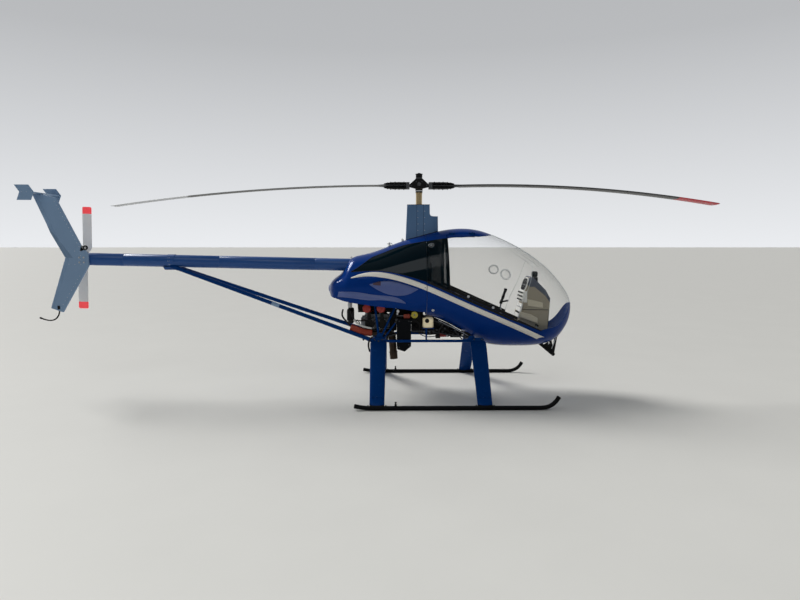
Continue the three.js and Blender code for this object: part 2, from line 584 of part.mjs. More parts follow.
const BLADES = [
  // name, sense along X, rise if it were straight, fall from that line at the tip
  ["front", 1, 88, 270],
  ["rear", -1, -8, 200],
];
const GRIP_HALF = 34; // half the height of a blade grip
const BLADE_STATIONS = [
  // radius, chord, thickness
  [ROTOR.root, 96, 34], [350, 110, 34], [430, ROTOR.chord, ROTOR.thickness], [900, ROTOR.chord, ROTOR.thickness],
  [1450, ROTOR.chord, ROTOR.thickness], [2000, ROTOR.chord, ROTOR.thickness],
  [2550, ROTOR.chord, ROTOR.thickness], [ROTOR.radius, ROTOR.chord, ROTOR.thickness],
];
for (const [name, sense, rise, fall] of BLADES) {
  const rings = BLADE_STATIONS.map(([radius, chord, thickness]) => {
    const share = Math.max(radius - 350, 0) / (ROTOR.radius - 350);
    const z = ROTOR.hubZ + rise * share - fall * share ** 2;
    const pitch = radius < 400 ? 0 : ROTOR.pitch;
    return aerofoilRing((a, b) => v(sense * radius, -sense * a, z + b), chord, thickness, pitch);
  });
  place(`main_blade_${name}`, loft(rings), DARK_GREY, mainRotor);
  const plates = [[17 + SEAT_GAP, GRIP_HALF], [-GRIP_HALF, -17 - SEAT_GAP]].map(([z0, z1]) => {
    const x = [sense * 99, sense * 362].sort((a, b) => a - b);
    return block(...x, -42, 42, ROTOR.hubZ + z0, ROTOR.hubZ + z1);
  });
  const rootX = [sense * (98 + SEAT_GAP), sense * (ROTOR.root - SEAT_GAP)].sort((a, b) => a - b);
  const root = block(...rootX, -42, 42, ROTOR.hubZ - GRIP_HALF, ROTOR.hubZ + GRIP_HALF);
  place(`blade_grip_${name}`, join([root, ...plates]), BLACK, mainRotor);
}

// Tail rotor: built round its own axis, which runs along Y
place("tail_rotor_hub", join([
  rod(v(0, 110 + SEAT_GAP, 0), v(0, 232, 0), 17, 16),
  block(-26, 26, TAIL_ROTOR.y - 22, TAIL_ROTOR.y + 22, -68, 68),
]), ALUMINIUM, tailRotor);
for (const [name, sense] of [["upper", 1], ["lower", -1]]) {
  const rings = [68 + SEAT_GAP, 200, TAIL_ROTOR.radius].map((radius) =>
    aerofoilRing((a, b) => v(-sense * a, TAIL_ROTOR.y + b, sense * radius),
      radius < 100 ? 60 : TAIL_ROTOR.chord, radius < 100 ? 20 : TAIL_ROTOR.thickness, 4));
  place(`tail_blade_${name}`, loft(rings), PALE, tailRotor);
}

export default model;
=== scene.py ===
"""A light two-seat helicopter with a bubble cabin, parked on its skids.

Metres throughout. Places are worked out from the rotor mast on the ground (X forward to the nose, Y to
port, Z up) and moved forward by MAST_X when a piece is made, which puts them in the frame of the model.
"""

from __future__ import annotations

import logging
import math
from collections.abc import Callable, Iterable, Sequence
from dataclasses import dataclass, field
from enum import Enum

import bmesh
import bpy
import numpy as np
from mathutils import Matrix, Vector
from mathutils.bvhtree import BVHTree

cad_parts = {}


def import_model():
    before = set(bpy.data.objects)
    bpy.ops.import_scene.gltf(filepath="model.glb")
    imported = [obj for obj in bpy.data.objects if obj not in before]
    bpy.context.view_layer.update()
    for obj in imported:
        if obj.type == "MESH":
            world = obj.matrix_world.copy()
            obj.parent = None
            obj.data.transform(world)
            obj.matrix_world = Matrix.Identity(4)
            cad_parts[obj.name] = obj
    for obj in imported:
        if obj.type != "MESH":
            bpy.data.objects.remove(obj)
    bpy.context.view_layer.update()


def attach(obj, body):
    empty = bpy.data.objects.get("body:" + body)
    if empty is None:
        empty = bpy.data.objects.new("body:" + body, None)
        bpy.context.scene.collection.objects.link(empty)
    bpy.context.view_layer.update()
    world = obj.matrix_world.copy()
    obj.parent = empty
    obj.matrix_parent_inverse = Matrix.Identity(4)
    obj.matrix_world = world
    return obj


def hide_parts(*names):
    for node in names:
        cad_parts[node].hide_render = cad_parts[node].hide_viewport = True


LOG = logging.getLogger("helicopter")
MM = 0.001
MAST_X = 0.4404  # how far the mast stands ahead of the model's origin
SAME_PLACE = 1e-5  # points of a piece that are nearer than this are one point
NO_LENGTH = 1e-6  # edges shorter than this are taken out
BOOM_FRONT = (-0.45, 1.306)  # the front end of the boom's middle line, in side view
BOOM_RISE = 0.0222  # how far the boom climbs for each metre rearwards
Point = Sequence[float]
SIDES = (("left", 1), ("right", -1))


def boom_height(x: float) -> float:
    """Gives the height of the boom's middle at x."""
    return BOOM_FRONT[1] + (BOOM_FRONT[0] - x) * BOOM_RISE


class Body(Enum):
    """The bodies that pieces ride on."""

    AIRFRAME = "airframe"
    MAIN_ROTOR = "main_rotor"
    TAIL_ROTOR = "tail_rotor"
    DOOR_LEFT = "door_left"
    DOOR_RIGHT = "door_right"


class Pattern(Enum):
    """How a finish varies over its surface."""

    CLOUD = "cloud"
    PEBBLE = "pebble"
    BRUSHED = "brushed"
    WEAVE = "weave"


# Nodes

BRUSH_STRETCH = 0.05  # how much finer a brushed pattern is across its strokes
PEBBLE_SMOOTHNESS = 0.6
WAVES_PER_GRAIN = 0.31
THREAD_WANDER = 0.3
EDGE_BLEND = 0.18  # how soon a sheet's own colour covers more of it as it turns away; on clear acrylic this is a painted reflection


def add_node(tree: bpy.types.NodeTree, kind: str, settings: dict | None = None,
             links: dict | None = None) -> bpy.types.Node:
    """Adds one node with its settings and links.

    Args:
        tree: The node tree.
        kind: The node's type name.
        settings: Input name or index, or property name, to value.
        links: Input name or index to the output socket that feeds it.

    Returns:
        The new node.
    """
    node = tree.nodes.new(kind)
    for key, value in (settings or {}).items():
        if isinstance(key, int) or (key in node.inputs and not hasattr(node, key)):
            node.inputs[key].default_value = value
        else:
            setattr(node, key, value)
    for key, source in (links or {}).items():
        tree.links.new(source, node.inputs[key])
    return node


def linear(code: str) -> tuple[float, float, float, float]:
    """Turns an sRGB hex code into linear red, green, blue and a full alpha.

    Args:
        code: Six hex digits after a hash.

    Returns:
        Four numbers from 0 to 1.
    """
    parts = [int(code[i : i + 2], 16) / 255 for i in (1, 3, 5)]
    red, green, blue = (c / 12.92 if c <= 0.04045 else ((c + 0.055) / 1.055) ** 2.4 for c in parts)
    return red, green, blue, 1.0


@dataclass(frozen=True)
class Finish:
    """One finish: what a surface is made of and how it was made.

    The pattern mixes colour with second, low roughness with high, and lifts the surface by bump.
    """

    name: str
    colour: str
    second: str
    low: float
    high: float
    grain: float
    pattern: Pattern = Pattern.CLOUD
    bump: float = 0.0
    bump_grain: float = 0.002
    metallic: float = 0.0
    ior: float = 1.5
    specular: float = 0.5
    tint: tuple[float, float, float] | None = None
    coat: float = 0.0
    coat_roughness: float = 0.03
    sheen: float = 0.0
    alpha: tuple[float, float] | None = None
    glow: float = 0.0
    stretch: tuple[float, float, float] = (1.0, 1.0, 1.0)

    def texture(self, tree: bpy.types.NodeTree, grain: float, kind: Pattern) -> bpy.types.NodeSocket:
        """Adds a pattern on Object coordinates.

        Args:
            tree: The material's node tree.
            grain: The real size of one grain, in metres.
            kind: The pattern.

        Returns:
            The output that goes from 0 to 1.
        """
        place = add_node(tree, "ShaderNodeTexCoord")
        sizes = [s / grain for s in self.stretch]
        if kind is Pattern.BRUSHED:
            sizes = [sizes[0] * BRUSH_STRETCH, sizes[1], sizes[2]]
        mapped = add_node(tree, "ShaderNodeMapping", {"Scale": sizes}, {"Vector": place.outputs["Object"]})
        vector = {"Vector": mapped.outputs[0]}
        if kind is Pattern.PEBBLE:
            cells = add_node(tree, "ShaderNodeTexVoronoi",
                             {"feature": "SMOOTH_F1", "Scale": 1.0, "Smoothness": PEBBLE_SMOOTHNESS}, vector)
            return cells.outputs["Distance"]
        if kind is Pattern.WEAVE:
            thread = {"Scale": WAVES_PER_GRAIN, "Distortion": THREAD_WANDER}
            waves = [add_node(tree, "ShaderNodeTexWave", {"bands_direction": axis, **thread},
                              vector).outputs["Fac"] for axis in ("X", "Z")]
            crossed = add_node(tree, "ShaderNodeMath", {"operation": "MULTIPLY"}, {0: waves[0], 1: waves[1]})
            return crossed.outputs[0]
        noise = add_node(tree, "ShaderNodeTexNoise", {"Scale": 1.0, "Detail": 4.0, "Roughness": 0.55}, vector)
        return noise.outputs["Fac"]

    def material(self) -> bpy.types.Material:
        """Makes the material, once for each finish.

        Returns:
            The material.
        """
        title = f"finish_{self.name}"  # the model brings its own plain materials under the bare names
        known = bpy.data.materials.get(title)
        if known:
            return known
        made = bpy.data.materials.new(title)
        made.use_nodes = True
        tree = made.node_tree
        tree.nodes.clear()
        constant = {"Metallic": self.metallic, "IOR": self.ior, "Specular IOR Level": self.specular}
        if self.tint:
            constant["Specular Tint"] = (*self.tint, 1.0)
        if self.coat:
            constant |= {"Coat Weight": self.coat, "Coat Roughness": self.coat_roughness}
        if self.sheen:
            constant |= {"Sheen Weight": self.sheen, "Sheen Roughness": 0.5}
        # A glow is painted light: the surface shines in its own colour though it is no lamp.
        if self.glow:
            constant |= {"Emission Color": linear(self.colour), "Emission Strength": self.glow}
        shader = add_node(tree, "ShaderNodeBsdfPrincipled", constant)
        add_node(tree, "ShaderNodeOutputMaterial", None, {"Surface": shader.outputs[0]})
        spread = self.texture(tree, self.grain, self.pattern)
        colour = add_node(tree, "ShaderNodeMix",
                          {"data_type": "RGBA", 6: linear(self.colour), 7: linear(self.second)}, {0: spread})
        tree.links.new(colour.outputs[2], shader.inputs["Base Color"])
        rough = add_node(tree, "ShaderNodeMapRange", {"To Min": self.low, "To Max": self.high},
                         {"Value": spread})
        tree.links.new(rough.outputs[0], shader.inputs["Roughness"])
        if self.bump:
            fine = self.texture(tree, self.bump_grain, self.pattern)
            relief = add_node(tree, "ShaderNodeBump", {"Strength": 1.0, "Distance": self.bump},
                              {"Height": fine})
            tree.links.new(relief.outputs[0], shader.inputs["Normal"])
        # As the surface turns away, its own colour covers more of it: on the pale clear acrylic that colour
        # is a painted reflection.
        if self.alpha:
            edge = add_node(tree, "ShaderNodeLayerWeight", {"Blend": EDGE_BLEND})
            cover = add_node(tree, "ShaderNodeMapRange", {"To Min": self.alpha[0], "To Max": self.alpha[1]},
                             {"Value": edge.outputs["Facing"]})
            tree.links.new(cover.outputs[0], shader.inputs["Alpha"])
        return made


# Glossy polyester gelcoat on a moulded shell: a deep clear gloss with a faint waviness.
GELCOAT = Finish("blue_gelcoat", "#053078", "#073580", 0.1, 0.18, 0.12, bump=0.00003, bump_grain=0.012,
                 specular=0.14, coat=0.08, coat_roughness=0.03, tint=(0.15, 0.35, 1.0))
# Sprayed two-pack paint on steel and aluminium: gloss, a little orange peel.
BLUE_PAINT = Finish("blue_paint", "#01306A", "#023471", 0.2, 0.32, 0.06, bump=0.00005, bump_grain=0.004,
                    specular=0.14, coat=0.02, coat_roughness=0.12, tint=(0.15, 0.35, 1.0))
# The same blue paint on the boom, dulled by years of polishing.
BOOM_PAINT = Finish("boom_paint", "#204A88", "#275292", 0.25, 0.36, 0.06, bump=0.00005, bump_grain=0.004,
                    specular=0.3)
# The same paint weathered on flat sheet metal: chalky, greyer and half matt.
FADED_PAINT = Finish("faded_paint", "#7490B0", "#7E9ABA", 0.35, 0.5, 0.25, bump=0.00003, bump_grain=0.003)
# The fairing's paint: bluer than the fin's, and as matt.
FAIRING_PAINT = Finish("fairing_paint", "#43658A", "#4E719A", 0.32, 0.48, 0.2, bump=0.00003, bump_grain=0.003)
# The blue paint made pale lilac on the scoop's floor and over the cowl's ledge: a painted reflection of the
# sky on faces that tilt upwards.
SKY_REFLECTION_PAINT = Finish("painted_sky_reflection", "#506096", "#5A6AA2", 0.3, 0.45, 0.08, bump=0.00003, bump_grain=0.003)
# Woven steel mesh over an air inlet, rusty brown.
INLET_MESH = Finish("inlet_mesh", "#4A3444", "#563E4E", 0.5, 0.7, 0.004, Pattern.WEAVE, bump=0.0005,
                    bump_grain=0.004)
# Cut vinyl tape: even, half gloss.
STRIPE_TAPE = Finish("stripe_tape", "#F8F4EA", "#EEEADF", 0.3, 0.4, 0.05, bump=0.00002)
# Blown acrylic, clear: nearly all light goes through it; towards its edges its pale colour covers more of it,
# a painted reflection beside its own mirroring.
CLEAR_ACRYLIC = Finish("clear_acrylic", "#9AA5A6", "#A6B0B1", 0.02, 0.04, 0.3, ior=1.49, alpha=(0.01, 0.45))
# The same with a smoke tint.
SMOKE_ACRYLIC = Finish("smoke_acrylic", "#03121A", "#051820", 0.03, 0.06, 0.3, ior=1.49, specular=0.16,
                       alpha=(0.62, 0.97))
# Smoke-tinted acrylic made opaque and near black: the tint is real, and the opaque black paints in the shade
# of the dark bay behind the pane.
SMOKE_AND_SHADE_ACRYLIC = Finish("smoke_and_painted_shade", "#03121A", "#051820", 0.03, 0.07, 0.4, specular=0.15)
# Pale paint for a painted highlight: the bright line that the cut front edge of each door's acrylic and the
# crown of the bubble show in the light.
EDGE_HIGHLIGHT_PAINT = Finish("painted_edge_highlight", "#DCE4E6", "#C8D2D6", 0.1, 0.2, 0.02)
# Extruded rubber seal: matt black.
RUBBER = Finish("rubber_seal", "#0B0B0D", "#141416", 0.6, 0.8, 0.01, bump=0.00005, bump_grain=0.001,
                specular=0.3)
# Powder-coated steel: satin black with a fine texture.
SATIN_BLACK = Finish("satin_black", "#060709", "#0E0F11", 0.35, 0.5, 0.02, bump=0.00006, bump_grain=0.0012,
                     specular=0.2)
# Painted steel skid tube: near black, with a faint cloudy variation.
SKID_PAINT = Finish("skid_paint", "#040507", "#0E0F11", 0.4, 0.65, 0.03, bump=0.00008, bump_grain=0.0015,
                    specular=0.14)
# Moulded ABS, beige: matt with a leather grain.
BEIGE_ABS = Finish("beige_abs", "#9A907E", "#A8A08C", 0.45, 0.6, 0.004, Pattern.PEBBLE, bump=0.0001,
                   bump_grain=0.0012)
# The pod's glare shield: a dull bluish grey flock.
GLARE_GREY = Finish("glare_grey", "#4C5262", "#565C6C", 0.6, 0.75, 0.01, bump=0.00008)
# Moulded ABS, dark grey: the seat box, the bulkhead and the radio, with the same leather grain.
GREY_ABS = Finish("grey_abs", "#3A3C40", "#46484C", 0.45, 0.6, 0.02, Pattern.PEBBLE, bump=0.0001,
                  bump_grain=0.0012)
# Carpeted floor: short loops, drawn coarse enough to show.
FLOOR_CARPET = Finish("floor_carpet", "#26282C", "#35373C", 0.85, 0.95, 0.004, Pattern.PEBBLE, bump=0.0006,
                      bump_grain=0.004, sheen=0.3)
# Grained upholstery vinyl over foam.
SEAT_VINYL = Finish("seat_vinyl", "#141519", "#1E1F24", 0.38, 0.55, 0.003, Pattern.PEBBLE, bump=0.00015,
                    bump_grain=0.002, sheen=0.15)
# Twisted polyester thread and welt cord: matt grey.
THREAD = Finish("thread", "#6A6C72", "#7A7C82", 0.6, 0.8, 0.002)
# Sand-cast aluminium: dull and slightly rough.
CAST_ALLOY = Finish("cast_alloy", "#7C7F83", "#94979B", 0.4, 0.6, 0.02, bump=0.00012, bump_grain=0.0015,
                    metallic=0.9)
# Machined aluminium: bright, finely turned.
TURNED_ALLOY = Finish("turned_alloy", "#B9BDC2", "#CDD1D6", 0.22, 0.36, 0.004, Pattern.BRUSHED, metallic=1.0)
# Zinc-plated fasteners.
ZINC = Finish("zinc", "#C4C7CB", "#D8DADD", 0.25, 0.4, 0.004, metallic=1.0)
# Black oxide steel bolts: dark, with a dull shine on their corners.
DARK_STEEL = Finish("dark_steel", "#35373B", "#484B50", 0.3, 0.45, 0.004, metallic=0.85)
# Passivated steel tube of the mast: pale gold.
GOLD_STEEL = Finish("gold_steel", "#B8A27A", "#C4B08A", 0.25, 0.4, 0.006, Pattern.BRUSHED, metallic=0.9,
                    stretch=(1.0, 1.0, 0.1))
# Mild steel exhaust: heat stained brown and grey.
HOT_STEEL = Finish("hot_steel", "#2E2A27", "#5A4A3C", 0.45, 0.7, 0.03, bump=0.0001, metallic=0.8)
# Black anodised radiator core.
RADIATOR_BLACK = Finish("radiator_black", "#03070C", "#070C12", 0.45, 0.6, 0.01, specular=0.1)
# Blow-moulded polyethylene: milky cream, with a painted glow that makes it brighter than the lamps light it,
# though it is no lamp.
CREAM_TANK = Finish("cream_tank", "#FBE9BE", "#FFF3D2", 0.35, 0.5, 0.02, bump=0.0001, bump_grain=0.004,
                    glow=0.14)
# Oiled cotton gauze of the air filters.
FILTER_GAUZE = Finish("filter_gauze", "#962E2C", "#BC4842", 0.6, 0.8, 0.004, Pattern.WEAVE, bump=0.0006,
                      bump_grain=0.004)
# Moulded silicone rubber, red: the filters' ends and the plug leads, smooth and half matt.
RED_RUBBER = Finish("red_rubber", "#A02420", "#B8342C", 0.4, 0.55, 0.01, bump=0.00005)
# Yellow chromate on a turned pulley: half gloss over metal.
YELLOW_METAL = Finish("yellow_pulley", "#C8B83A", "#D8CA55", 0.3, 0.45, 0.01, metallic=0.3)
# Silicone duct hose, orange: dull, with a fine weave under its skin.
ORANGE_HOSE = Finish("orange_silicone", "#96341E", "#AA4028", 0.45, 0.6, 0.01, bump=0.0001)
# Nylon hose, off-white: smooth and half gloss.
WHITE_HOSE = Finish("white_hose", "#C9CCC8", "#DADCD8", 0.35, 0.5, 0.01, bump=0.0001)
# Glass-fibre composite blades, satin paint.
BLADE_GREY = Finish("blade_grey", "#1A1D20", "#212428", 0.3, 0.42, 0.08, bump=0.00003, bump_grain=0.004)
# Moulded ABS, white: knobs, radio keys and the rim of the panel, nearly smooth.
WHITE_ABS = Finish("white_abs", "#F4F4F0", "#E8E8E2", 0.3, 0.42, 0.02)
# Moulded ABS, cream: the pod's side pockets, a little rougher.
CREAM_ABS = Finish("cream_abs", "#CFC6AE", "#DAD2BC", 0.4, 0.55, 0.01, bump=0.00006)
# White polyurethane paint on the main rotor, satin, greyed by exhaust.
BLADE_WHITE = Finish("blade_white", "#C9CCD0", "#D6D8DA", 0.35, 0.5, 0.06, bump=0.00003, bump_grain=0.004)
# Red paint on the tail rotor's tips, with a painted glow that makes it brighter than the lamps light it,
# though it is no lamp.
TAIL_RED = Finish("tail_red", "#FF4A50", "#FF6066", 0.35, 0.5, 0.05, glow=0.35)
# White polyurethane paint on the tail rotor's blades: a clean, even satin.
TAIL_WHITE = Finish("tail_white", "#FFF8F4", "#FFFDFB", 0.35, 0.5, 0.06, bump=0.00003, bump_grain=0.004)
# Frosted polycarbonate, moulded: pale, and light comes through it.
FROSTED_PLASTIC = Finish("frosted_polycarbonate", "#FFFFFF", "#F4F8FA", 0.15, 0.3, 0.02, alpha=(0.5, 0.95))
# A darker copy of the fin's paint on the strip by its folded rear edge: painted shade where the sheet turns
# from the light.
FIN_PAINTED_SHADE = Finish("fin_painted_shade", "#637D9A", "#6C87A5", 0.35, 0.5, 0.25, bump=0.00003, bump_grain=0.003)
# Red gloss paint on the main rotor's tip.
TIP_RED = Finish("tip_red", "#C01C30", "#C82638", 0.3, 0.42, 0.05)
# Screen-printed matt black on the dials, behind thin glass.
DIAL_FACE = Finish("dial_face", "#0A0B0C", "#101214", 0.3, 0.4, 0.01)
# The studio's floor: pale matt paint.
STUDIO_FLOOR = Finish("studio_floor", "#CFCFCB", "#D6D6D2", 0.6, 0.75, 0.8)


# Meshes


class Sketch:
    """Collects the closed shapes that make one piece."""

    def __init__(self) -> None:
        """Starts empty."""
        self.points: list[np.ndarray] = []
        self.faces: list[tuple[int, ...]] = []
        self.marks: list[int] = []
        self.total = 0

    def add(self, points: np.ndarray, faces: Iterable[Sequence[int]], mark: int = 0) -> None:
        """Adds points and the faces between them.

        Args:
            points: An array of n by 3.
            faces: Corner indices into points.
            mark: Which of the piece's finishes the faces take.
        """
        points = np.asarray(points, float).reshape(-1, 3)
        for face in faces:
            self.faces.append(tuple(int(i) + self.total for i in face))
            self.marks.append(mark)
        self.points.append(points)
        self.total += len(points)

    def loft(self, rings: np.ndarray, mark: int = 0, caps: bool = True, hoop: bool = False) -> None:
        """Adds a skin over rings of points.

        Args:
            rings: An array of rings by points by 3. Each ring is closed.
            mark: The finish.
            caps: Whether the two end rings are filled.
            hoop: Whether the last ring joins the first.
        """
        rings = np.asarray(rings, float)
        rows, columns = rings.shape[:2]
        steps = [(r, (r + 1) % rows) for r in range(rows if hoop else rows - 1)]
        faces = []
        for r, s in steps:
            for c in range(columns):
                beside = (c + 1) % columns
                faces.append((r * columns + c, r * columns + beside, s * columns + beside, s * columns + c))
        if caps:
            faces += [tuple(range(columns))[::-1], tuple(range((rows - 1) * columns, rows * columns))]
        self.add(rings.reshape(-1, 3), faces, mark)

    def sweep(self, path: Sequence[Point], radius: float | Sequence[float], sides: int = 16,
              mark: int = 0) -> None:
        """Adds a round bar along a path.

        Args:
            path: The points of its middle line.
            radius: Its radius, or one for each point.
            sides: The number of sides.
            mark: The finish.
        """
        line = np.asarray(path, float)
        radii = np.broadcast_to(np.asarray(radius, float), len(line))
        along = np.gradient(line, axis=0)
        along /= np.linalg.norm(along, axis=1)[:, None]
        side = np.cross(along[0], (0.0, 0.0, 1.0) if abs(along[0][2]) < 0.9 else (1.0, 0.0, 0.0))
        rings = []
        turns = around(sides)
        for here, way, r in zip(line, along, radii):
            side = side - way * (side @ way)
            side /= np.linalg.norm(side)
            other = np.cross(way, side)
            rings.append(here + r * (np.outer(np.cos(turns), side) + np.outer(np.sin(turns), other)))
        self.loft(np.array(rings), mark)

    def turn(self, base: Point, axis: Point, profile: Sequence[tuple[float, float]], sides: int = 32,
             mark: int = 0, hoop: bool = False) -> None:
        """Adds a turned shape.

        Args:
            base: Where the axis starts.
            axis: Its direction.
            profile: Radius and distance along the axis, from one end to the other.
            sides: The number of sides.
            mark: The finish.
            hoop: Whether the profile closes on itself, as a ring's does.
        """
        way = np.asarray(axis, float) / np.linalg.norm(axis)
        side = np.cross(way, (0.0, 0.0, 1.0) if abs(way[2]) < 0.9 else (1.0, 0.0, 0.0))
        side /= np.linalg.norm(side)
        other = np.cross(way, side)
        turns = around(sides)
        circle = np.outer(np.cos(turns), side) + np.outer(np.sin(turns), other)
        self.loft(np.array([np.asarray(base) + way * h + circle * max(r, 1e-5) for r, h in profile]), mark,
                  not hoop, hoop)

    def stud(self, base: Point, axis: Point, radius: float, length: float, *, mark: int = 0, sides: int = 6,
             crown: float = 0.001) -> None:
        """Adds a straight stud with a slightly crowned end.

        Args:
            base: Where its axis starts.
            axis: Its direction.
            radius: Its radius.
            length: Its length without the crown.
            mark: The finish.
            sides: The number of sides.
            crown: How far the middle of its end stands out.
        """
        self.turn(base, axis, ((radius, 0.0), (radius, length), (0.0, length + crown)), sides, mark)

    def bolt(self, base: Point, axis: Point, washer: tuple[float, float], head: tuple[float, float], *,
             mark: int = 0, ease: float = 0.0005, crown: float = 0.0005) -> None:
        """Adds a six-sided bolt head on its washer.

        Args:
            base: The middle of the washer's lower side.
            axis: The direction that the head looks in.
            washer: The washer's radius, and the height of its upper side.
            head: The head's radius, and the height of its upper side.
            mark: The finish.
            ease: The height of the slope from the washer to the head.
            crown: How far the middle of the head stands out.
        """
        foot = (head[0], washer[1] + ease)
        self.turn(base, axis, ((washer[0], 0.0), washer, foot, head, (0.0, head[1] + crown)), 6, mark)

    def slab(self, outline: Sequence[tuple[float, float]], low: float, high: float, plane: str = "xz",
             mark: int = 0) -> None:
        """Adds a plate cut to an outline.

        Args:
            outline: The corners, in the named plane.
            low: Where the plate starts across the plane.
            high: Where it ends.
            plane: xz, xy or yz.
            mark: The finish.
        """
        order = {"xz": (0, 2, 1), "xy": (0, 1, 2), "yz": (1, 2, 0)}[plane]
        corners = np.zeros((2, len(outline), 3))
        for i, across in enumerate((low, high)):
            corners[i][:, order[0]] = [p[0] for p in outline]
            corners[i][:, order[1]] = [p[1] for p in outline]
            corners[i][:, order[2]] = across
        self.loft(corners, mark)

    def block(self, low: Point, high: Point, mark: int = 0) -> None:
        """Adds a block between two opposite corners."""
        self.slab([(low[0], low[1]), (high[0], low[1]), (high[0], high[1]), (low[0], high[1])], low[2],
                  high[2], "xy", mark)

    def mesh(self, name: str, turned: Matrix | None = None) -> bpy.types.Mesh:
        """Makes the mesh, with double points merged and every face looking outwards.

        Args:
            name: The mesh's name.
            turned: A move or turn of the whole before it is set in place.

        Returns:
            The mesh, in the frame of the model.
        """
        points = np.concatenate(self.points)
        if turned is not None:
            matrix = np.array(turned)
            points = points @ matrix[:3, :3].T + matrix[:3, 3]
        mesh = bpy.data.meshes.new(name)
        mesh.from_pydata((points + (MAST_X, 0, 0)).tolist(), [], self.faces)
        mesh.polygons.foreach_set("material_index", self.marks)
        work = bmesh.new()
        work.from_mesh(mesh)
        bmesh.ops.remove_doubles(work, verts=work.verts, dist=SAME_PLACE)
        bmesh.ops.dissolve_degenerate(work, edges=work.edges, dist=NO_LENGTH)
        bmesh.ops.recalc_face_normals(work, faces=work.faces)
        work.to_mesh(mesh)
        work.free()
        return mesh

    def piece(self, name: str, finishes: Finish | Sequence[Finish], body: Body = Body.AIRFRAME,
              *, slot: str | None = None, replaces: Sequence[str] = (), bevel: float = 0.0, segments: int = 2,
              turned: Matrix | None = None, sharp: float = 40.0, wall: float = 0.0) -> bpy.types.Object:
        """Makes the piece.

        Args:
            name: The piece's name.
            finishes: Its finish, or several in the order of the marks.
            body: What it rides on.
            slot: The material slot that it belongs to; not used.
            replaces: The CAD nodes that it stands for.
            bevel: The width of its rounded edges.
            segments: The steps of each rounded edge.
            turned: A move or turn of the whole piece before it is set in place.
            sharp: The angle above which an edge is rounded or stays crisp.
            wall: The thickness that an open surface gets, inwards.

        Returns:
            The object.
        """
        return finish_piece(self.mesh(name, turned), name, finishes, body, replaces=replaces,
                            bevel=bevel, segments=segments, sharp=sharp, wall=wall)


def finish_piece(mesh: bpy.types.Mesh, name: str,
                 finishes: Finish | Sequence[Finish], body: Body = Body.AIRFRAME, *,
                 replaces: Sequence[str] = (), bevel: float = 0.0, segments: int = 2, sharp: float = 40.0,
                 wall: float = 0.0) -> bpy.types.Object:
    """Gives a mesh its object, finish, rounded edges and body.

    Args:
        mesh: The mesh, in the frame of the model.
        name: The piece's name.
        finishes: Its finish or finishes.
        body: What it rides on.
        replaces: The CAD nodes that it stands for.
        bevel: The width of its rounded edges.
        segments: The steps of each rounded edge.
        sharp: The angle above which an edge is rounded or stays crisp.
        wall: The thickness that an open surface gets, inwards.

    Returns:
        The object.
    """
    piece = bpy.data.objects.new(name, mesh)
    bpy.context.scene.collection.objects.link(piece)
    for finish in [finishes] if isinstance(finishes, Finish) else finishes:
        mesh.materials.append(finish.material())
    mesh.shade_smooth()
    if wall:
        solid = piece.modifiers.new("wall", "SOLIDIFY")
        solid.thickness, solid.offset, solid.use_even_offset = wall, -1.0, False
    if bevel:
        edge = piece.modifiers.new("edges", "BEVEL")
        edge.width, edge.segments, edge.limit_method = bevel, segments, "ANGLE"
        edge.angle_limit, edge.use_clamp_overlap = math.radians(sharp), True
        even = piece.modifiers.new("even_normals", "WEIGHTED_NORMAL")
        even.keep_sharp = False
    else:
        mesh.set_sharp_from_angle(angle=math.radians(sharp))
    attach(piece, body.value)
    if replaces:
        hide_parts(*replaces)
    LOG.info("%s: %d faces on %s", name, len(mesh.polygons), body.value)
    return piece


def spline(points: Sequence[Point], count: int) -> np.ndarray:
    """Draws a smooth curve through points.

    Args:
        points: The points, in any number of dimensions.
        count: The number of samples.

    Returns:
        The samples, evenly spaced along the curve.
    """
    line = np.asarray(points, float)
    knots = np.concatenate([[0], np.cumsum(np.linalg.norm(np.diff(line, axis=0), axis=1))])
    dense = NaturalSpline(knots, line)(np.linspace(0, knots[-1], count * 8))
    return resample(dense, count)


def around(count: int) -> np.ndarray:
    """Gives evenly spaced angles round a circle, without a second copy of the first."""
    return np.linspace(0, math.tau, count, endpoint=False)


def bulged(value: np.ndarray | float, power: float) -> np.ndarray | float:
    """Raises the size of a sine or cosine to a power and keeps its sign, which squares up a circle."""
    return np.sign(value) * np.abs(value) ** power


def resample(points: np.ndarray, count: int) -> np.ndarray:
    """Spaces samples evenly along a line of straight parts.

    Args:
        points: The line's points.
        count: The number of samples.

    Returns:
        The samples.
    """
    line = np.asarray(points, float)
    reach = np.concatenate([[0], np.cumsum(np.linalg.norm(np.diff(line, axis=0), axis=1))])
    at = np.linspace(0, reach[-1], count)
    return np.stack([np.interp(at, reach, line[:, k]) for k in range(line.shape[1])], 1)


class NaturalSpline:
    """A curve with continuous curvature through values at knots."""

    def __init__(self, knots: np.ndarray, values: np.ndarray) -> None:
        """Solves for the curve's bends.

        Args:
            knots: Where the values are, rising.
            values: An array of knots by columns.
        """
        self.knots, self.values = knots, values
        n, gaps = len(knots), np.diff(knots)
        system, right = np.eye(n), np.zeros_like(values)
        for i in range(1, n - 1):
            system[i, i - 1 : i + 2] = gaps[i - 1], 2 * (gaps[i - 1] + gaps[i]), gaps[i]
            right[i] = 6 * ((values[i + 1] - values[i]) / gaps[i] - (values[i] - values[i - 1]) / gaps[i - 1])
        self.bends = np.linalg.solve(system, right)

    def __call__(self, at: np.ndarray) -> np.ndarray:
        """Reads the curve.

        Args:
            at: Where to read it.

        Returns:
            An array of the places by columns.
        """
        i = np.clip(np.searchsorted(self.knots, at, side="right") - 1, 0, len(self.knots) - 2)
        gap = (self.knots[i + 1] - self.knots[i])[:, None]
        a = (self.knots[i + 1] - at)[:, None] / gap
        b = 1 - a
        curve = ((a**3 - a) * self.bends[i] + (b**3 - b) * self.bends[i + 1]) * gap**2 / 6
        return a * self.values[i] + b * self.values[i + 1] + curve


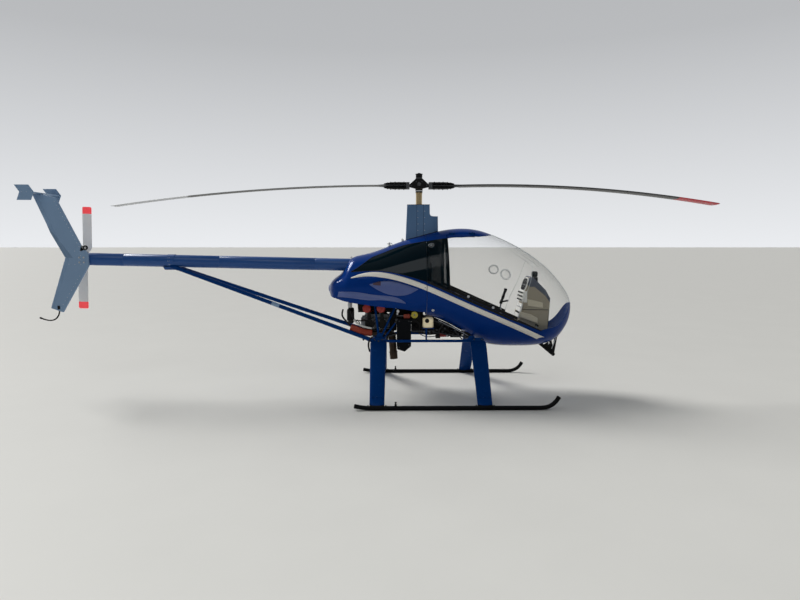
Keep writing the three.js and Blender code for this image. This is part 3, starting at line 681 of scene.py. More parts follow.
def coons(bottom: np.ndarray, top: np.ndarray, rear: np.ndarray, front: np.ndarray) -> np.ndarray:
    """Fills a four-sided outline with a grid.

    Args:
        bottom: Samples from the rear corner to the front corner.
        top: The same along the upper edge.
        rear: Samples from the bottom corner to the top corner.
        front: The same along the front edge.

    Returns:
        An array of columns (rear to front) by rows (bottom to top) by dimensions.
    """
    s = np.linspace(0, 1, len(bottom))[:, None, None]
    r = np.linspace(0, 1, len(rear))[None, :, None]
    ruled = (1 - r) * bottom[:, None] + r * top[:, None] + (1 - s) * rear[None] + s * front[None]
    corners = (1 - s) * ((1 - r) * rear[0] + r * rear[-1]) + s * ((1 - r) * front[0] + r * front[-1])
    return ruled - corners


# Geometry Nodes


class GrowTree:
    """A Geometry Nodes tree with named inputs, and the pieces that it grows."""

    def __init__(self, name: str, numbers: dict[str, float]) -> None:
        """Starts the tree.

        Args:
            name: The tree's name.
            numbers: Its named sizes, with their usual values.
        """
        self.tree = bpy.data.node_groups.new(name, "GeometryNodeTree")
        face = self.tree.interface
        face.new_socket("Geometry", in_out="INPUT", socket_type="NodeSocketGeometry")
        for label, value in numbers.items():
            kind = "NodeSocketInt" if isinstance(value, int) else "NodeSocketFloat"
            face.new_socket(label, in_out="INPUT", socket_type=kind).default_value = value
        face.new_socket("Material", in_out="INPUT", socket_type="NodeSocketMaterial")
        face.new_socket("Geometry", in_out="OUTPUT", socket_type="NodeSocketGeometry")
        self.source = self.add("NodeGroupInput").outputs

    def add(self, kind: str, settings: dict | None = None, links: dict | None = None) -> bpy.types.Node:
        """Adds one node to the tree."""
        return add_node(self.tree, kind, settings, links)

    def end(self, geometry: bpy.types.NodeSocket) -> None:
        """Realizes what is there, dresses it and ends the tree.

        Args:
            geometry: What the tree has made so far.
        """
        real = self.add("GeometryNodeRealizeInstances", None, {"Geometry": geometry})
        smooth = self.add("GeometryNodeSetShadeSmooth", None, {"Geometry": real.outputs[0]})
        dressed = self.add("GeometryNodeSetMaterial", None,
                           {"Geometry": smooth.outputs[0], "Material": self.source["Material"]})
        self.add("NodeGroupOutput", None, {0: dressed.outputs[0]})

    def placed(self, points: bpy.types.Node, shape: bpy.types.Node, turn: bpy.types.Node) -> GrowTree:
        """Sets a shape of the tree's Length, Width and Height on points, and ends the tree.

        Args:
            points: The node that gives the points.
            shape: The node that gives a shape of size one.
            turn: The node that gives its rotation.

        Returns:
            The tree itself.
        """
        size = self.add("ShaderNodeCombineXYZ", None,
                        {"X": self.source["Length"], "Y": self.source["Width"], "Z": self.source["Height"]})
        set_down = self.add("GeometryNodeInstanceOnPoints", None,
                            {"Points": points.outputs[0], "Instance": shape.outputs["Mesh"],
                             "Rotation": turn.outputs[0], "Scale": size.outputs[0]})
        self.end(set_down.outputs[0])
        return self

    def grow(self, name: str, runs: Sequence[np.ndarray],
             finish: Finish, body: Body = Body.AIRFRAME, *, normals: Sequence[np.ndarray] | None = None,
             slot: str | None = None, replaces: Sequence[str] = (), turned: Matrix | None = None,
             **numbers: float) -> bpy.types.Object:
        """Grows a piece along one or more runs of points.

        Args:
            name: The piece's name.
            runs: The points of each run.
            finish: Its finish.
            body: What it rides on.
            normals: The outward direction at each point of each run.
            slot: The material slot that it belongs to; not used.
            replaces: The CAD nodes that it stands for.
            turned: A move or turn before it is set in place.
            numbers: The tree's named sizes, with underscores for spaces.

        Returns:
            The piece, as a plain mesh.
        """
        points = np.concatenate([np.asarray(run, float) for run in runs])
        ways = points * 0 + (0, 0, 1)
        if normals is not None:
            ways = np.concatenate([np.asarray(way, float) for way in normals])
        if turned is not None:
            matrix = np.array(turned)
            points, ways = points @ matrix[:3, :3].T + matrix[:3, 3], ways @ matrix[:3, :3].T
        links, start = [], 0
        for run in runs:
            links += [(i, i + 1) for i in range(start, start + len(run) - 1)]
            start += len(run)
        mesh = bpy.data.meshes.new(f"{name}_path")
        mesh.from_pydata((points + (MAST_X, 0, 0)).tolist(), links, [])
        stored = mesh.attributes.new("outward", "FLOAT_VECTOR", "POINT")
        stored.data.foreach_set("vector", ways.astype(np.float32).ravel())
        carrier = bpy.data.objects.new(f"{name}_path", mesh)
        bpy.context.scene.collection.objects.link(carrier)
        change = carrier.modifiers.new("grow", "NODES")
        change.node_group = self.tree
        given = {label.replace("_", " ").title(): value for label, value in numbers.items()}
        given["Material"] = finish.material()
        for item in self.tree.interface.items_tree:
            if item.in_out == "INPUT" and item.name in given:
                change[item.identifier] = given[item.name]
        ready = carrier.evaluated_get(bpy.context.evaluated_depsgraph_get())
        result = bpy.data.meshes.new_from_object(ready)
        result.name = name
        bpy.data.objects.remove(carrier)
        result.materials.clear()
        return finish_piece(result, name, finish, body, replaces=replaces)


def head_tree() -> GrowTree:
    """Makes the tree that sets heads of fasteners or stitches along runs, standing on the surface.

    Returns:
        The tree.
    """
    made = GrowTree("heads_along_a_run", {"Spacing": 0.03, "Length": 0.005, "Width": 0.005, "Height": 0.002})
    source = made.source
    curve = made.add("GeometryNodeMeshToCurve", None, {"Mesh": source["Geometry"]})
    spaced = made.add("GeometryNodeResampleCurve", {"mode": "LENGTH"},
                      {"Curve": curve.outputs[0], "Length": source["Spacing"]})
    outward = made.add("GeometryNodeInputNamedAttribute", {"data_type": "FLOAT_VECTOR", "Name": "outward"})
    stand = made.add("FunctionNodeAlignRotationToVector", {"axis": "Z"},
                     {"Vector": outward.outputs["Attribute"]})
    along = made.add("GeometryNodeInputTangent")
    faced = made.add("FunctionNodeAlignRotationToVector", {"axis": "X", "pivot_axis": "Z"},
                     {"Rotation": stand.outputs[0], "Vector": along.outputs[0]})
    head = made.add("GeometryNodeMeshUVSphere", {"Segments": 10, "Rings": 6, "Radius": 0.5})
    return made.placed(spaced, head, faced)


def tube_tree() -> GrowTree:
    """Makes the tree that runs round tube along paths.

    Returns:
        The tree.
    """
    made = GrowTree("tube_along_a_path", {"Radius": 0.01, "Sides": 16})
    source = made.source
    curve = made.add("GeometryNodeMeshToCurve", None, {"Mesh": source["Geometry"]})
    ring = made.add("GeometryNodeCurvePrimitiveCircle", None,
                    {"Resolution": source["Sides"], "Radius": source["Radius"]})
    tube = made.add("GeometryNodeCurveToMesh", {"Fill Caps": True},
                    {"Curve": curve.outputs[0], "Profile Curve": ring.outputs[0]})
    made.end(tube.outputs[0])
    return made


def plate_tree() -> GrowTree:
    """Makes the tree that sets flat plates across a run, as in a stack of cooling fins.

    Returns:
        The tree.
    """
    made = GrowTree("plates_along_a_run", {"Spacing": 0.01, "Length": 0.1, "Width": 0.1, "Height": 0.003})
    source = made.source
    curve = made.add("GeometryNodeMeshToCurve", None, {"Mesh": source["Geometry"]})
    spaced = made.add("GeometryNodeResampleCurve", {"mode": "LENGTH"},
                      {"Curve": curve.outputs[0], "Length": source["Spacing"]})
    along = made.add("GeometryNodeInputTangent")
    faced = made.add("FunctionNodeAlignRotationToVector", {"axis": "Z"}, {"Vector": along.outputs[0]})
    plate = made.add("GeometryNodeMeshCube", {"Size": (1.0, 1.0, 1.0)})
    return made.placed(spaced, plate, faced)


@dataclass
class Workshop:
    """The trees that the sub-assemblies share."""

    heads: GrowTree = field(default_factory=head_tree)
    tubes: GrowTree = field(default_factory=tube_tree)
    plates: GrowTree = field(default_factory=plate_tree)


# The skin of the cabin and cowl

SEAM = 0.067  # where the cabin meets the cowl, along X
HULL_SAMPLES = 4000  # places where x is looked up along the hull
LINE_SAMPLES = 600  # places where a smooth line's height is looked up
# Sections from the tail end to the nose, in millimetres.
# Columns: x, top, bottom, half width, height of the widest line, upper power, lower power
HULL_SECTIONS = (
    (-926, 1105, 1030, 48, 1070, 2.0, 2.0),
    (-900, 1145, 965, 128, 1072, 2.0, 2.1),
    (-830, 1205, 885, 205, 1078, 1.9, 2.4),
    (-765, 1272, 835, 246, 1084, 1.85, 2.7),
    (-700, 1375, 805, 276, 1090, 1.8, 3.0),
    (-600, 1413, 790, 308, 1096, 1.75, 3.0),
    (-485, 1440, 785, 332, 1100, 1.75, 3.0),
    (-270, 1520, 785, 360, 1102, 1.75, 3.0),
    (-50, 1594, 792, 376, 1094, 1.8, 3.0),
    (150, 1646, 775, 385, 1078, 1.9, 2.8),
    (310, 1676, 706, 389, 1058, 2.0, 2.6),
    (465, 1684, 616, 390, 1036, 2.0, 2.5),
    (620, 1664, 525, 387, 1014, 2.0, 2.4),
    (800, 1600, 479, 374, 992, 2.0, 2.4),
    (1000, 1506, 469, 342, 956, 2.0, 2.3),
    (1180, 1394, 473, 296, 926, 2.0, 2.3),
    (1330, 1276, 497, 240, 902, 2.0, 2.2),
    (1440, 1160, 552, 184, 888, 2.0, 2.1),
    (1525, 1046, 655, 118, 880, 2.0, 2.0),
    (1570, 955, 765, 56, 876, 2.0, 2.0),
    (1584, 900, 852, 16, 875, 2.0, 2.0),
)
TUB_EDGE = ((0.04, 1.168), (0.29, 1.07), (0.6, 0.932), (0.9, 0.799), (1.1, 0.71), (1.2, 0.666),
            (1.228, 0.655), (1.262, 0.661), (1.355, 0.678), (1.42, 0.705), (1.484, 0.773), (1.528, 0.844),
            (1.564, 0.906), (1.62, 0.93))
COWL_EDGE = ((-0.96, 1.0), (-0.832, 0.985), (-0.773, 0.967), (-0.594, 0.937), (-0.356, 0.91), (-0.237, 0.9),
             (-0.098, 0.876), (0.1, 0.836))


def sill(x: np.ndarray | float, below: float = 0.0) -> np.ndarray | float:
    """Gives the height of the doors' lower edge, or of a line below it.

    Args:
        x: The place along the cabin.
        below: How far below the edge.

    Returns:
        The height.
    """
    return 0.983 - 0.445 * (x - 0.576) - below


class Hull:
    """The smooth body through the sections. A place on it is t, along it, and an angle round the section."""

    def __init__(self) -> None:
        """Fits curves through the sections."""
        table = np.array(HULL_SECTIONS, float)
        table[:, :5] *= MM
        steps = np.hypot(np.diff(table[:, 0]), np.diff(table[:, 1]))
        knots = np.concatenate([[0], np.cumsum(steps)])
        self.curves = NaturalSpline(knots, table)
        self.end = float(knots[-1])
        self.marks = np.linspace(0, self.end, HULL_SAMPLES)
        self.marks_x = self.curves(self.marks)[:, 0]

    def along(self, x: np.ndarray | float) -> np.ndarray:
        """Gives t for a place along X."""
        return np.interp(x, self.marks_x, self.marks)

    def columns(self, t: np.ndarray) -> list[np.ndarray]:
        """Reads the section at t.

        Args:
            t: Places along the hull.

        Returns:
            The seven columns of HULL_SECTIONS, in metres.
        """
        flat = np.atleast_1d(np.asarray(t, float))
        values = self.curves(flat.ravel())
        return [values[:, k].reshape(flat.shape) for k in range(7)]

    def angle_at_height(self, t: np.ndarray, z: np.ndarray) -> np.ndarray:
        """Gives the angle, from the widest line, of the point of the section at a height.

        Args:
            t: Places along the hull.
            z: The height at each.

        Returns:
            The angle at each.
        """
        _, top, bottom, width, widest, upper, lower = self.columns(t)
        above = z > widest
        reach, power = np.where(above, top - widest, widest - bottom), np.where(above, upper, lower)
        share = np.clip(np.abs(z - widest) / reach, 0, 1)
        y = width * (1 - share**power) ** (1 / power)
        return np.arctan2(np.sign(z - widest) * share * reach, y)

    def angle_at_width(self, t: np.ndarray, y: np.ndarray) -> np.ndarray:
        """Gives the angle of the point of the upper section at a half width.

        Args:
            t: Places along the hull.
            y: The half width at each.

        Returns:
            The angle at each.
        """
        _, top, _, width, widest, upper, _ = self.columns(t)
        share = np.clip(np.abs(y) / width, 0, 1)
        return np.arctan2((top - widest) * (1 - share**upper) ** (1 / upper), share * width)

    def points(self, t: np.ndarray, angle: np.ndarray) -> np.ndarray:
        """Gives points of the skin. An angle of 0 is to port, a quarter turn is up.

        Args:
            t: Places along the hull.
            angle: The angle at each.

        Returns:
            The points, with X, Y and Z in the last dimension.
        """
        x, top, bottom, width, widest, upper, lower = self.columns(t)
        across, up = np.cos(angle), np.sin(angle)
        reach, power = np.where(up > 0, top - widest, widest - bottom), np.where(up > 0, upper, lower)
        radius = ((np.abs(across) / width) ** power + (np.abs(up) / reach) ** power) ** (-1 / power)
        return np.stack([x, radius * across, widest + radius * up], -1)

    def normals(self, t: np.ndarray, angle: np.ndarray) -> np.ndarray:
        """Gives the outward directions at points of the skin.

        Args:
            t: Places along the hull.
            angle: The angle at each.

        Returns:
            A direction of length one at each.
        """
        small = 5e-4  # a step small enough to measure the slope with
        low, high = np.clip(t - small, 0, self.end), np.clip(t + small, 0, self.end)
        along = self.points(high, angle) - self.points(low, angle)
        around = self.points(t, angle + small) - self.points(t, angle - small)
        out = np.cross(along, around)
        out /= np.maximum(np.linalg.norm(out, axis=-1, keepdims=True), 1e-12)
        away = np.stack([out[..., 0] * 0, np.cos(angle), np.sin(angle)], -1)
        return out * np.sign((out * away).sum(-1, keepdims=True) + 1e-9)

    def side(self, outline: Sequence[Point] | np.ndarray) -> np.ndarray:
        """Turns places in side view into places on the hull.

        Args:
            outline: The places, each x and z.

        Returns:
            The places, each t and angle.
        """
        line = np.asarray(outline, float)
        t = self.along(line[..., 0])
        return np.stack([t, self.angle_at_height(t, line[..., 1])], -1)

    def roof(self, outline: Sequence[Point] | np.ndarray) -> np.ndarray:
        """Turns places in plan view into places on the upper hull.

        Args:
            outline: The places, each x and y.

        Returns:
            The places, each t and angle.
        """
        line = np.asarray(outline, float)
        t = self.along(line[..., 0])
        return np.stack([t, self.angle_at_width(t, line[..., 1])], -1)

    def run(self, places: np.ndarray, sign: int, out: float = 0.0) -> tuple[np.ndarray, np.ndarray]:
        """Draws a line on the skin.

        Args:
            places: Places on the hull.
            sign: 1 to port, -1 to starboard.
            out: How far outside the skin the line lies.

        Returns:
            Its points and the outward directions there.
        """
        angle = places[..., 1] if sign > 0 else math.pi - places[..., 1]
        ways = self.normals(places[..., 0], angle)
        return self.points(places[..., 0], angle) + ways * out, ways

    def spot(self, x: float, z: float, sign: int) -> tuple[np.ndarray, np.ndarray]:
        """Gives one point of the side and the outward direction there."""
        points, ways = self.run(self.side([(x, z)]), sign)
        return points[0], ways[0]


def sided(patch: np.ndarray, sign: int) -> np.ndarray:
    """Gives a patch drawn to port (1), or turned over the top to starboard (-1)."""
    return patch if sign > 0 else np.stack([patch[..., 0], math.pi - patch[..., 1]], -1)


def mirrored(patches: Sequence[np.ndarray]) -> list[np.ndarray]:
    """Gives patches on both sides."""
    return [*patches, *(sided(patch, -1) for patch in patches)]


def panel(hull: Hull, name: str, patches: Sequence[np.ndarray], finish: Finish, body: Body = Body.AIRFRAME,
          *, wall: float = 0.004, out: float = 0.0, relief: Callable[[np.ndarray], np.ndarray] | None = None,
          bevel: float = 0.0012, replaces: Sequence[str] = (),
          extra: np.ndarray | None = None) -> bpy.types.Object:
    """Makes a panel of the hull's skin.

    Args:
        hull: The hull.
        name: The piece's name.
        patches: Grids of places on the hull, which share their common edges.
        finish: Its finish.
        body: What it rides on.
        wall: Its thickness.
        out: How far its outer side stands outside the hull.
        relief: Gives more of that distance from the points of the skin.
        bevel: The width of its rounded edges.
        replaces: The CAD nodes that it stands for.
        extra: A grid of plain points that carries on the first patch.

    Returns:
        The panel.
    """
    work = bmesh.new()
    for index, patch in enumerate(patches):
        t, angle = patch[..., 0], patch[..., 1]
        ways, points = hull.normals(t, angle), hull.points(t, angle)
        lift = out + (relief(points) if relief else 0.0)
        grid = points + ways * np.broadcast_to(np.asarray(lift), t.shape)[..., None]
        if extra is not None and index == 0:
            grid = np.concatenate([grid, extra])
        columns, rows = grid.shape[:2]
        verts = [[work.verts.new(p) for p in row] for row in (grid + (MAST_X, 0, 0)).tolist()]
        middle = grid[columns // 2 : columns // 2 + 2, rows // 2 : rows // 2 + 2]
        facing = np.cross(middle[1, 0] - middle[0, 0],
                          middle[0, 1] - middle[0, 0]) @ ways[columns // 2, rows // 2]
        for i in range(columns - 1):
            for j in range(rows - 1):
                loop = (verts[i][j], verts[i + 1][j], verts[i + 1][j + 1], verts[i][j + 1])
                work.faces.new(loop if facing > 0 else loop[::-1])
    bmesh.ops.remove_doubles(work, verts=work.verts, dist=2e-5)
    bmesh.ops.dissolve_degenerate(work, edges=work.edges, dist=NO_LENGTH)
    mesh = bpy.data.meshes.new(name)
    work.to_mesh(mesh)
    work.free()
    return finish_piece(mesh, name, finish, body, replaces=replaces, bevel=bevel, wall=wall)


def band(hull: Hull, low: Callable, high: Callable, start: float, stop: float, count: int,
         rows: int = 4) -> np.ndarray:
    """Makes a patch between two lines in side view.

    Args:
        hull: The hull.
        low: The lower line's height at x.
        high: The upper line's height at x.
        start: Where it starts along X.
        stop: Where it ends.
        count: Samples along it.
        rows: Samples across it.

    Returns:
        The patch.
    """
    x = np.linspace(start, stop, count)[:, None] * np.ones(rows)
    share = np.linspace(0, 1, rows)[None, :]
    return hull.side(np.stack([x, (1 - share) * low(x) + share * high(x)], -1))


def line_between(points: Sequence[Point]) -> Callable[[np.ndarray], np.ndarray]:
    """Draws a smooth line through points in side view.

    Args:
        points: The points, from the rear to the front.

    Returns:
        A function that gives the line's height at x.
    """
    line = np.asarray(points, float)
    at = np.linspace(line[0, 0], line[-1, 0], LINE_SAMPLES)
    heights = NaturalSpline(line[:, 0], line[:, 1:])(at)[:, 0]
    return lambda x: np.interp(x, at, heights)


@dataclass
class CabinShell:
    """The moulded shells, windows and doors."""

    hull: Hull
    shop: Workshop
    gap: float = 0.0015
    door_gap: float = 0.005
    rail: float = 0.034
    roof_half: float = 0.163
    roof_tip: float = 0.75
    door_top: float = 0.1675
    window_rear: tuple = ((-0.695, 1.247), (-0.64, 1.278), (-0.575, 1.322), (-0.52, 1.363), (-0.471, 1.396))
    window_low: tuple = ((-0.695, 1.247), (-0.575, 1.2565), (-0.45, 1.261), (-0.286, 1.249), (-0.12, 1.213),
                         (0.067, 1.156))
    window_high: tuple = ((-0.471, 1.396), (-0.34, 1.447), (-0.158, 1.512), (-0.05, 1.535), (0.067, 1.556))
    door_front: tuple = ((0.9645, 0.776), (0.972, 0.815), (1.03, 0.98), (1.1, 1.15), (1.143, 1.35))
    door_rear: tuple = ((0.2905, 1.075), (0.2765, 1.62))
    stripe: tuple = ((-0.69, 1.188), (-0.6, 1.213), (-0.511, 1.226), (-0.322, 1.214), (-0.132, 1.167),
                     (0.056, 1.1), (0.337, 0.977), (0.588, 0.866), (0.9, 0.7305), (1.159, 0.6085),
                     (1.245, 0.566), (1.33, 0.5265))
    stripe_end: float = 1.197
    stripe_cut: float = 0.08
    scoop_high: tuple = ((-0.507, 1.13), (-0.386, 1.169), (-0.27, 1.169), (-0.152, 1.138), (-0.0115, 1.086))
    scoop_low: tuple = ((-0.507, 1.128), (-0.425, 1.0755), (-0.308, 1.0285), (-0.191, 1.0173), (-0.09, 1.04),
                        (-0.0115, 1.084))
    scoop_deep: float = 0.02
    shelf_high: tuple = ((-0.817, 1.046), (-0.7, 1.0535), (-0.582, 1.046), (-0.465, 1.03), (-0.308, 1.015),
                         (-0.191, 0.984), (-0.14, 0.95))
    shelf_low: tuple = ((-0.817, 1.0), (-0.661, 0.992), (-0.4965, 0.976), (-0.387, 0.978), (-0.23, 0.96),
                        (-0.14, 0.945))
    ledge: tuple = ((-0.95, 1.02), (-0.6, 1.019), (-0.474, 1.013), (-0.355, 0.994), (-0.237, 0.974),
                    (0.0, 0.918), (0.1, 0.895))

    def build(self) -> None:
        """Makes every piece of the shell."""
        self.tub()
        self.cowl()
        self.roof()
        self.windshield()
        for side, sign in SIDES:
            self.rear_window(side, sign)
            self.quarter_window(side, sign)
            self.door(side, sign)
            self.trim(side, sign)
        self.fittings()

    def tub(self) -> None:
        """Makes the lower shell from the seam to the nose."""
        edge = line_between(TUB_EDGE)
        hull = self.hull
        t = np.linspace(hull.along(SEAM + self.gap), hull.end, 190)
        x = hull.columns(t)[0]
        highest = hull.angle_at_height(t, edge(x))
        share = np.linspace(0, 1, 72)[None, :]
        angle = highest[:, None] * (1 - share) + (-math.pi - highest[:, None]) * share
        patch = np.stack([t[:, None] * np.ones_like(angle), angle], -1)
        ring = hull.points(patch[-1, :, 0], patch[-1, :, 1])
        middle = ring.mean(0)
        nose = np.array([middle + (ring - middle) * k + (dx, 0, 0)
                         for k, dx in ((0.8, 0.0012), (0.5, 0.002), (0.2, 0.0024), (0.0, 0.0025))])
        panel(hull, "cabin_tub_shell", [patch], GELCOAT, wall=0.007, extra=nose, bevel=0.0025,
              replaces=["cabin_tub"])

    def cowl_relief(self, points: np.ndarray) -> np.ndarray:
        """Gives the cowl's ledge and scoop, as a distance outwards.

        Args:
            points: Points of the skin.

        Returns:
            The distance at each point.
        """
        x, y, z = points[..., 0], np.abs(points[..., 1]), points[..., 2]
        level = line_between(self.ledge)(x)
        half = np.interp(x, (-0.9, -0.47, -0.35, -0.24, 0.0), (0.026, 0.026, 0.018, 0.012, 0.008))
        fade = np.interp(x, (-0.92, -0.86, -0.35, -0.1, 0.02), (0.0, 1.0, 1.0, 0.45, 0.0))
        share = np.clip((level + half - z) / (2 * half), 0, 1)
        ledge = 0.017 * fade * share * share * (3 - 2 * share)
        return ledge - self.scoop_depth(x, z) * (y > 0.15)

    def scoop_depth(self, x: np.ndarray, z: np.ndarray) -> np.ndarray:
        """Gives how deep the scoop is: its floor slopes inwards up to the step under the stripe.

        Args:
            x: Places along the cowl.
            z: Heights.

        Returns:
            The depth at each place, zero outside the scoop.
        """
        low, high = line_between(self.scoop_low)(x), line_between(self.scoop_high)(x)
        tall = np.maximum(high - low, 1e-4)
        share = (z - low) / tall
        inside = (share > 0) & (share < 1) & (x > self.scoop_low[0][0]) & (x < self.scoop_low[-1][0])
        return self.scoop_deep * np.clip(tall / 0.14, 0, 1) * share * inside

    def cowl(self) -> None:
        """Makes the engine cowl, with its openings for the rear windows."""
        hull, front = self.hull, SEAM - self.gap
        rear, corner_low, corner_high = -0.926, self.window_rear[0][0], self.window_rear[-1][0]
        edge = line_between(COWL_EDGE)
        counts = {"low": 46, "window": 22, "high": 34, "front": 120, "rear": 60}

        def top_line(start: float, stop: float, count: int) -> np.ndarray:
            """Gives places along the crown, from one x to another."""
            t = np.linspace(hull.along(start), hull.along(stop), count)
            return np.stack([t, t * 0 + math.pi / 2], -1)

        def foot_line(start: float, stop: float, count: int) -> np.ndarray:
            """Gives places along the cowl's lower edge, from one x to another."""
            x = np.linspace(start, stop, count)
            return hull.side(np.stack([x, edge(x)], -1))

        def straight(a: np.ndarray, b: np.ndarray, count: int) -> np.ndarray:
            """Gives evenly spaced places from a to b."""
            return a + (b - a) * np.linspace(0, 1, count)[:, None]

        window_low = hull.side(spline(self.window_low, counts["front"]))
        window_high = hull.side(spline(self.window_high, counts["front"]))
        window_rear = hull.side(spline(self.window_rear, counts["window"]))
        window_low[0], window_low[-1, 0] = window_rear[0], hull.along(front)
        window_high[0], window_high[-1, 0] = window_rear[-1], hull.along(front)
        foot = foot_line(corner_low, front, counts["front"])
        crown = top_line(corner_high, front, counts["front"])
        lower = coons(foot, window_low, straight(foot[0], window_low[0], counts["low"]),
                      straight(foot[-1], window_low[-1], counts["low"]))
        upper = coons(window_high, crown, straight(window_high[0], crown[0], counts["high"]),
                      straight(window_high[-1], crown[-1], counts["high"]))
        join = np.concatenate([lower[0], window_rear[1:-1], upper[0]])
        foot_rear = foot_line(rear, corner_low, counts["rear"])
        crown_rear = top_line(rear, corner_high, counts["rear"])
        back = coons(foot_rear, crown_rear, straight(foot_rear[0], crown_rear[0], len(join)), join)
        panel(hull, "engine_cowl_shell", mirrored([lower, upper, back]), GELCOAT, wall=0.006,
              relief=self.cowl_relief, bevel=0.002, replaces=["engine_cowl"])
        tail_angle = np.linspace(0, math.tau, 49)
        ring = hull.points(tail_angle * 0, tail_angle)
        middle = ring.mean(0)
        cap = Sketch()
        cap.loft(np.array([middle + (ring[:-1] - middle) * k + (dx, 0, 0)
                           for k, dx in ((1.0, 0.02), (0.985, 0.0), (0.8, -0.006), (0.4, -0.01),
                                         (0.02, -0.011))]))
        cap.piece("engine_cowl_tail", GELCOAT, slot="blue_gelcoat")

    def rear_window(self, side: str, sign: int) -> None:
        """Makes one dark window in the cowl, with its seal: an opaque tinted pane whose black also paints in
        the shade behind it.

        Args:
            side: left or right.
            sign: 1 to port, -1 to starboard.
        """
        hull = self.hull
        low, high = spline(self.window_low, 90), spline(self.window_high, 90)
        rear = spline(self.window_rear, 24)
        middle = np.array((-0.25, 1.33))
        shrink = [middle + (line - middle) * 0.994 for line in (low, high, rear)]
        for line in shrink[:2]:
            line[-1, 0] = SEAM - self.gap
        low_edge, high_edge, rear_edge = (hull.side(line) for line in shrink)
        front = low_edge[-1] + (high_edge[-1] - low_edge[-1]) * np.linspace(0, 1, 24)[:, None]
        patch = coons(low_edge, high_edge, rear_edge, front)
        panel(hull, f"rear_window_pane_{side}", [sided(patch, sign)], SMOKE_AND_SHADE_ACRYLIC, wall=0.004, out=-0.0005,
              replaces=[f"rear_window_{side}"])
        outline = hull.side(np.concatenate([low[::-1], rear[1:-1], high]))
        points, _ = hull.run(outline, sign, -0.0005)
        self.shop.tubes.grow(f"rear_window_seal_{side}", [points[::2]], RUBBER, radius=0.003, sides=8)

    def quarter_window(self, side: str, sign: int) -> None:
        """Makes the tinted pane between the seam and the door.

        Args:
            side: left or right.
            sign: 1 to port, -1 to starboard.
        """
        hull = self.hull
        edge = line_between(TUB_EDGE)
        back, low_front = SEAM + self.gap, self.door_rear[0][0] - self.door_gap
        x = np.linspace(back, low_front, 30)
        bottom = hull.side(np.stack([x, edge(x) + 0.001], -1))
        x_top = np.linspace(back, self.door_rear[1][0] - self.door_gap, 30)
        top = hull.roof(np.stack([x_top, x_top * 0 + self.roof_half + self.gap], -1))
        rise = np.linspace(0, 1, 40)[:, None]
        patch = coons(bottom, top, bottom[0] + (top[0] - bottom[0]) * rise,
                      bottom[-1] + (top[-1] - bottom[-1]) * rise)
        panel(hull, f"quarter_window_pane_{side}", [sided(patch, sign)], SMOKE_ACRYLIC, wall=0.004,
              replaces=[f"quarter_window_{side}"])
        width = np.interp(x_top, (back, 0.272), (0.01, 0.032))
        rows = [hull.roof(np.stack([x_top, self.roof_half + self.gap + width * share], -1))
                for share in np.linspace(0, 1, 5)]
        rail = np.stack(rows, 1)
        panel(hull, f"quarter_rail_{side}", [sided(rail, sign)], GELCOAT, wall=0.01, out=0.004, bevel=0.003)

    def roof(self) -> None:
        """Makes the blue strip over the cabin."""
        hull = self.hull
        back = SEAM + self.gap
        ease = np.sin(np.linspace(0, math.pi / 2, 110))
        x = back + (self.roof_tip - back) * ease
        outline = spline(((0.6, 0.163), (0.648, 0.147), (0.69, 0.118), (0.724, 0.078), (0.743, 0.04),
                          (0.75, 0.0)), 60)
        half = np.interp(x, outline[:, 0], outline[:, 1], left=self.roof_half)
        half[-1] = 0.0
        t = hull.along(x)
        edge = hull.angle_at_width(t, half)
        share = np.linspace(0, 1, 34)[None, :]
        angle = edge[:, None] * (1 - share) + (math.pi - edge[:, None]) * share
        panel(hull, "cabin_roof_strip", [np.stack([t[:, None] + angle * 0, angle], -1)], GELCOAT, wall=0.007,
              out=0.0005, bevel=0.002, replaces=["cabin_roof"])

    def windshield(self) -> None:
        """Makes the clear bubble in front of the doors and between them, and the pale tube along its crown
        that paints its highlight.
        """
        hull = self.hull
        edge = line_between(TUB_EDGE)
        outline = spline(((0.602, 0.163), (0.651, 0.149), (0.693, 0.12), (0.727, 0.08), (0.746, 0.041),
                          (0.753, 0.0)), 30)
        tongue = hull.roof(outline)
        corner_x = self.door_front[-1][0] + self.door_gap
        beside = np.linspace(outline[0, 0], corner_x, 60)
        door_line = hull.roof(np.stack([beside, beside * 0 + self.door_top - self.door_gap], -1))
        crown_t = np.linspace(tongue[-1, 0], hull.along(corner_x), 60)
        crown = np.stack([crown_t, crown_t * 0 + math.pi / 2], -1)
        tongue[0] = door_line[0]
        across = door_line[-1] + (crown[-1] - door_line[-1]) * np.linspace(0, 1, 30)[:, None]
        strip = coons(door_line, crown, tongue, across)
        post = spline([(x + self.door_gap, z) for x, z in ((0.9655, 0.772), *self.door_front[1:])], 60)
        post[0, 1] = edge(post[0, 0]) + 0.001
        door_edge = hull.side(post)
        door_edge = np.concatenate([door_edge, door_edge[-1] + (across[0] - door_edge[-1])
                                    * np.linspace(0, 1, 9)[1:, None]])
        tip = np.interp(0.0, *self.nose_meeting(edge))
        t_low = np.linspace(door_edge[0, 0], tip, 90)
        x_low = hull.columns(t_low)[0]
        foot = np.stack([t_low, hull.angle_at_height(t_low, edge(x_low) + 0.001)], -1)
        foot[0], foot[-1, 1] = door_edge[0], math.pi / 2
        crown_front_t = np.linspace(across[-1, 0], tip, 90)
        crown_front = np.stack([crown_front_t, crown_front_t * 0 + math.pi / 2], -1)
        rear_edge = np.concatenate([door_edge, across[1:]])
        rear_edge = np.stack([np.interp(np.linspace(0, 1, 97), np.linspace(0, 1, len(rear_edge)),
                                        rear_edge[:, k]) for k in range(2)], -1)
        front_edge = foot[-1] + (crown_front[-1] - foot[-1]) * np.linspace(0, 1, 97)[:, None]
        bubble = coons(foot, crown_front, rear_edge, front_edge)
        panel(hull, "windshield_bubble", mirrored([strip, bubble]), CLEAR_ACRYLIC, wall=0.004,
              replaces=["windshield"])
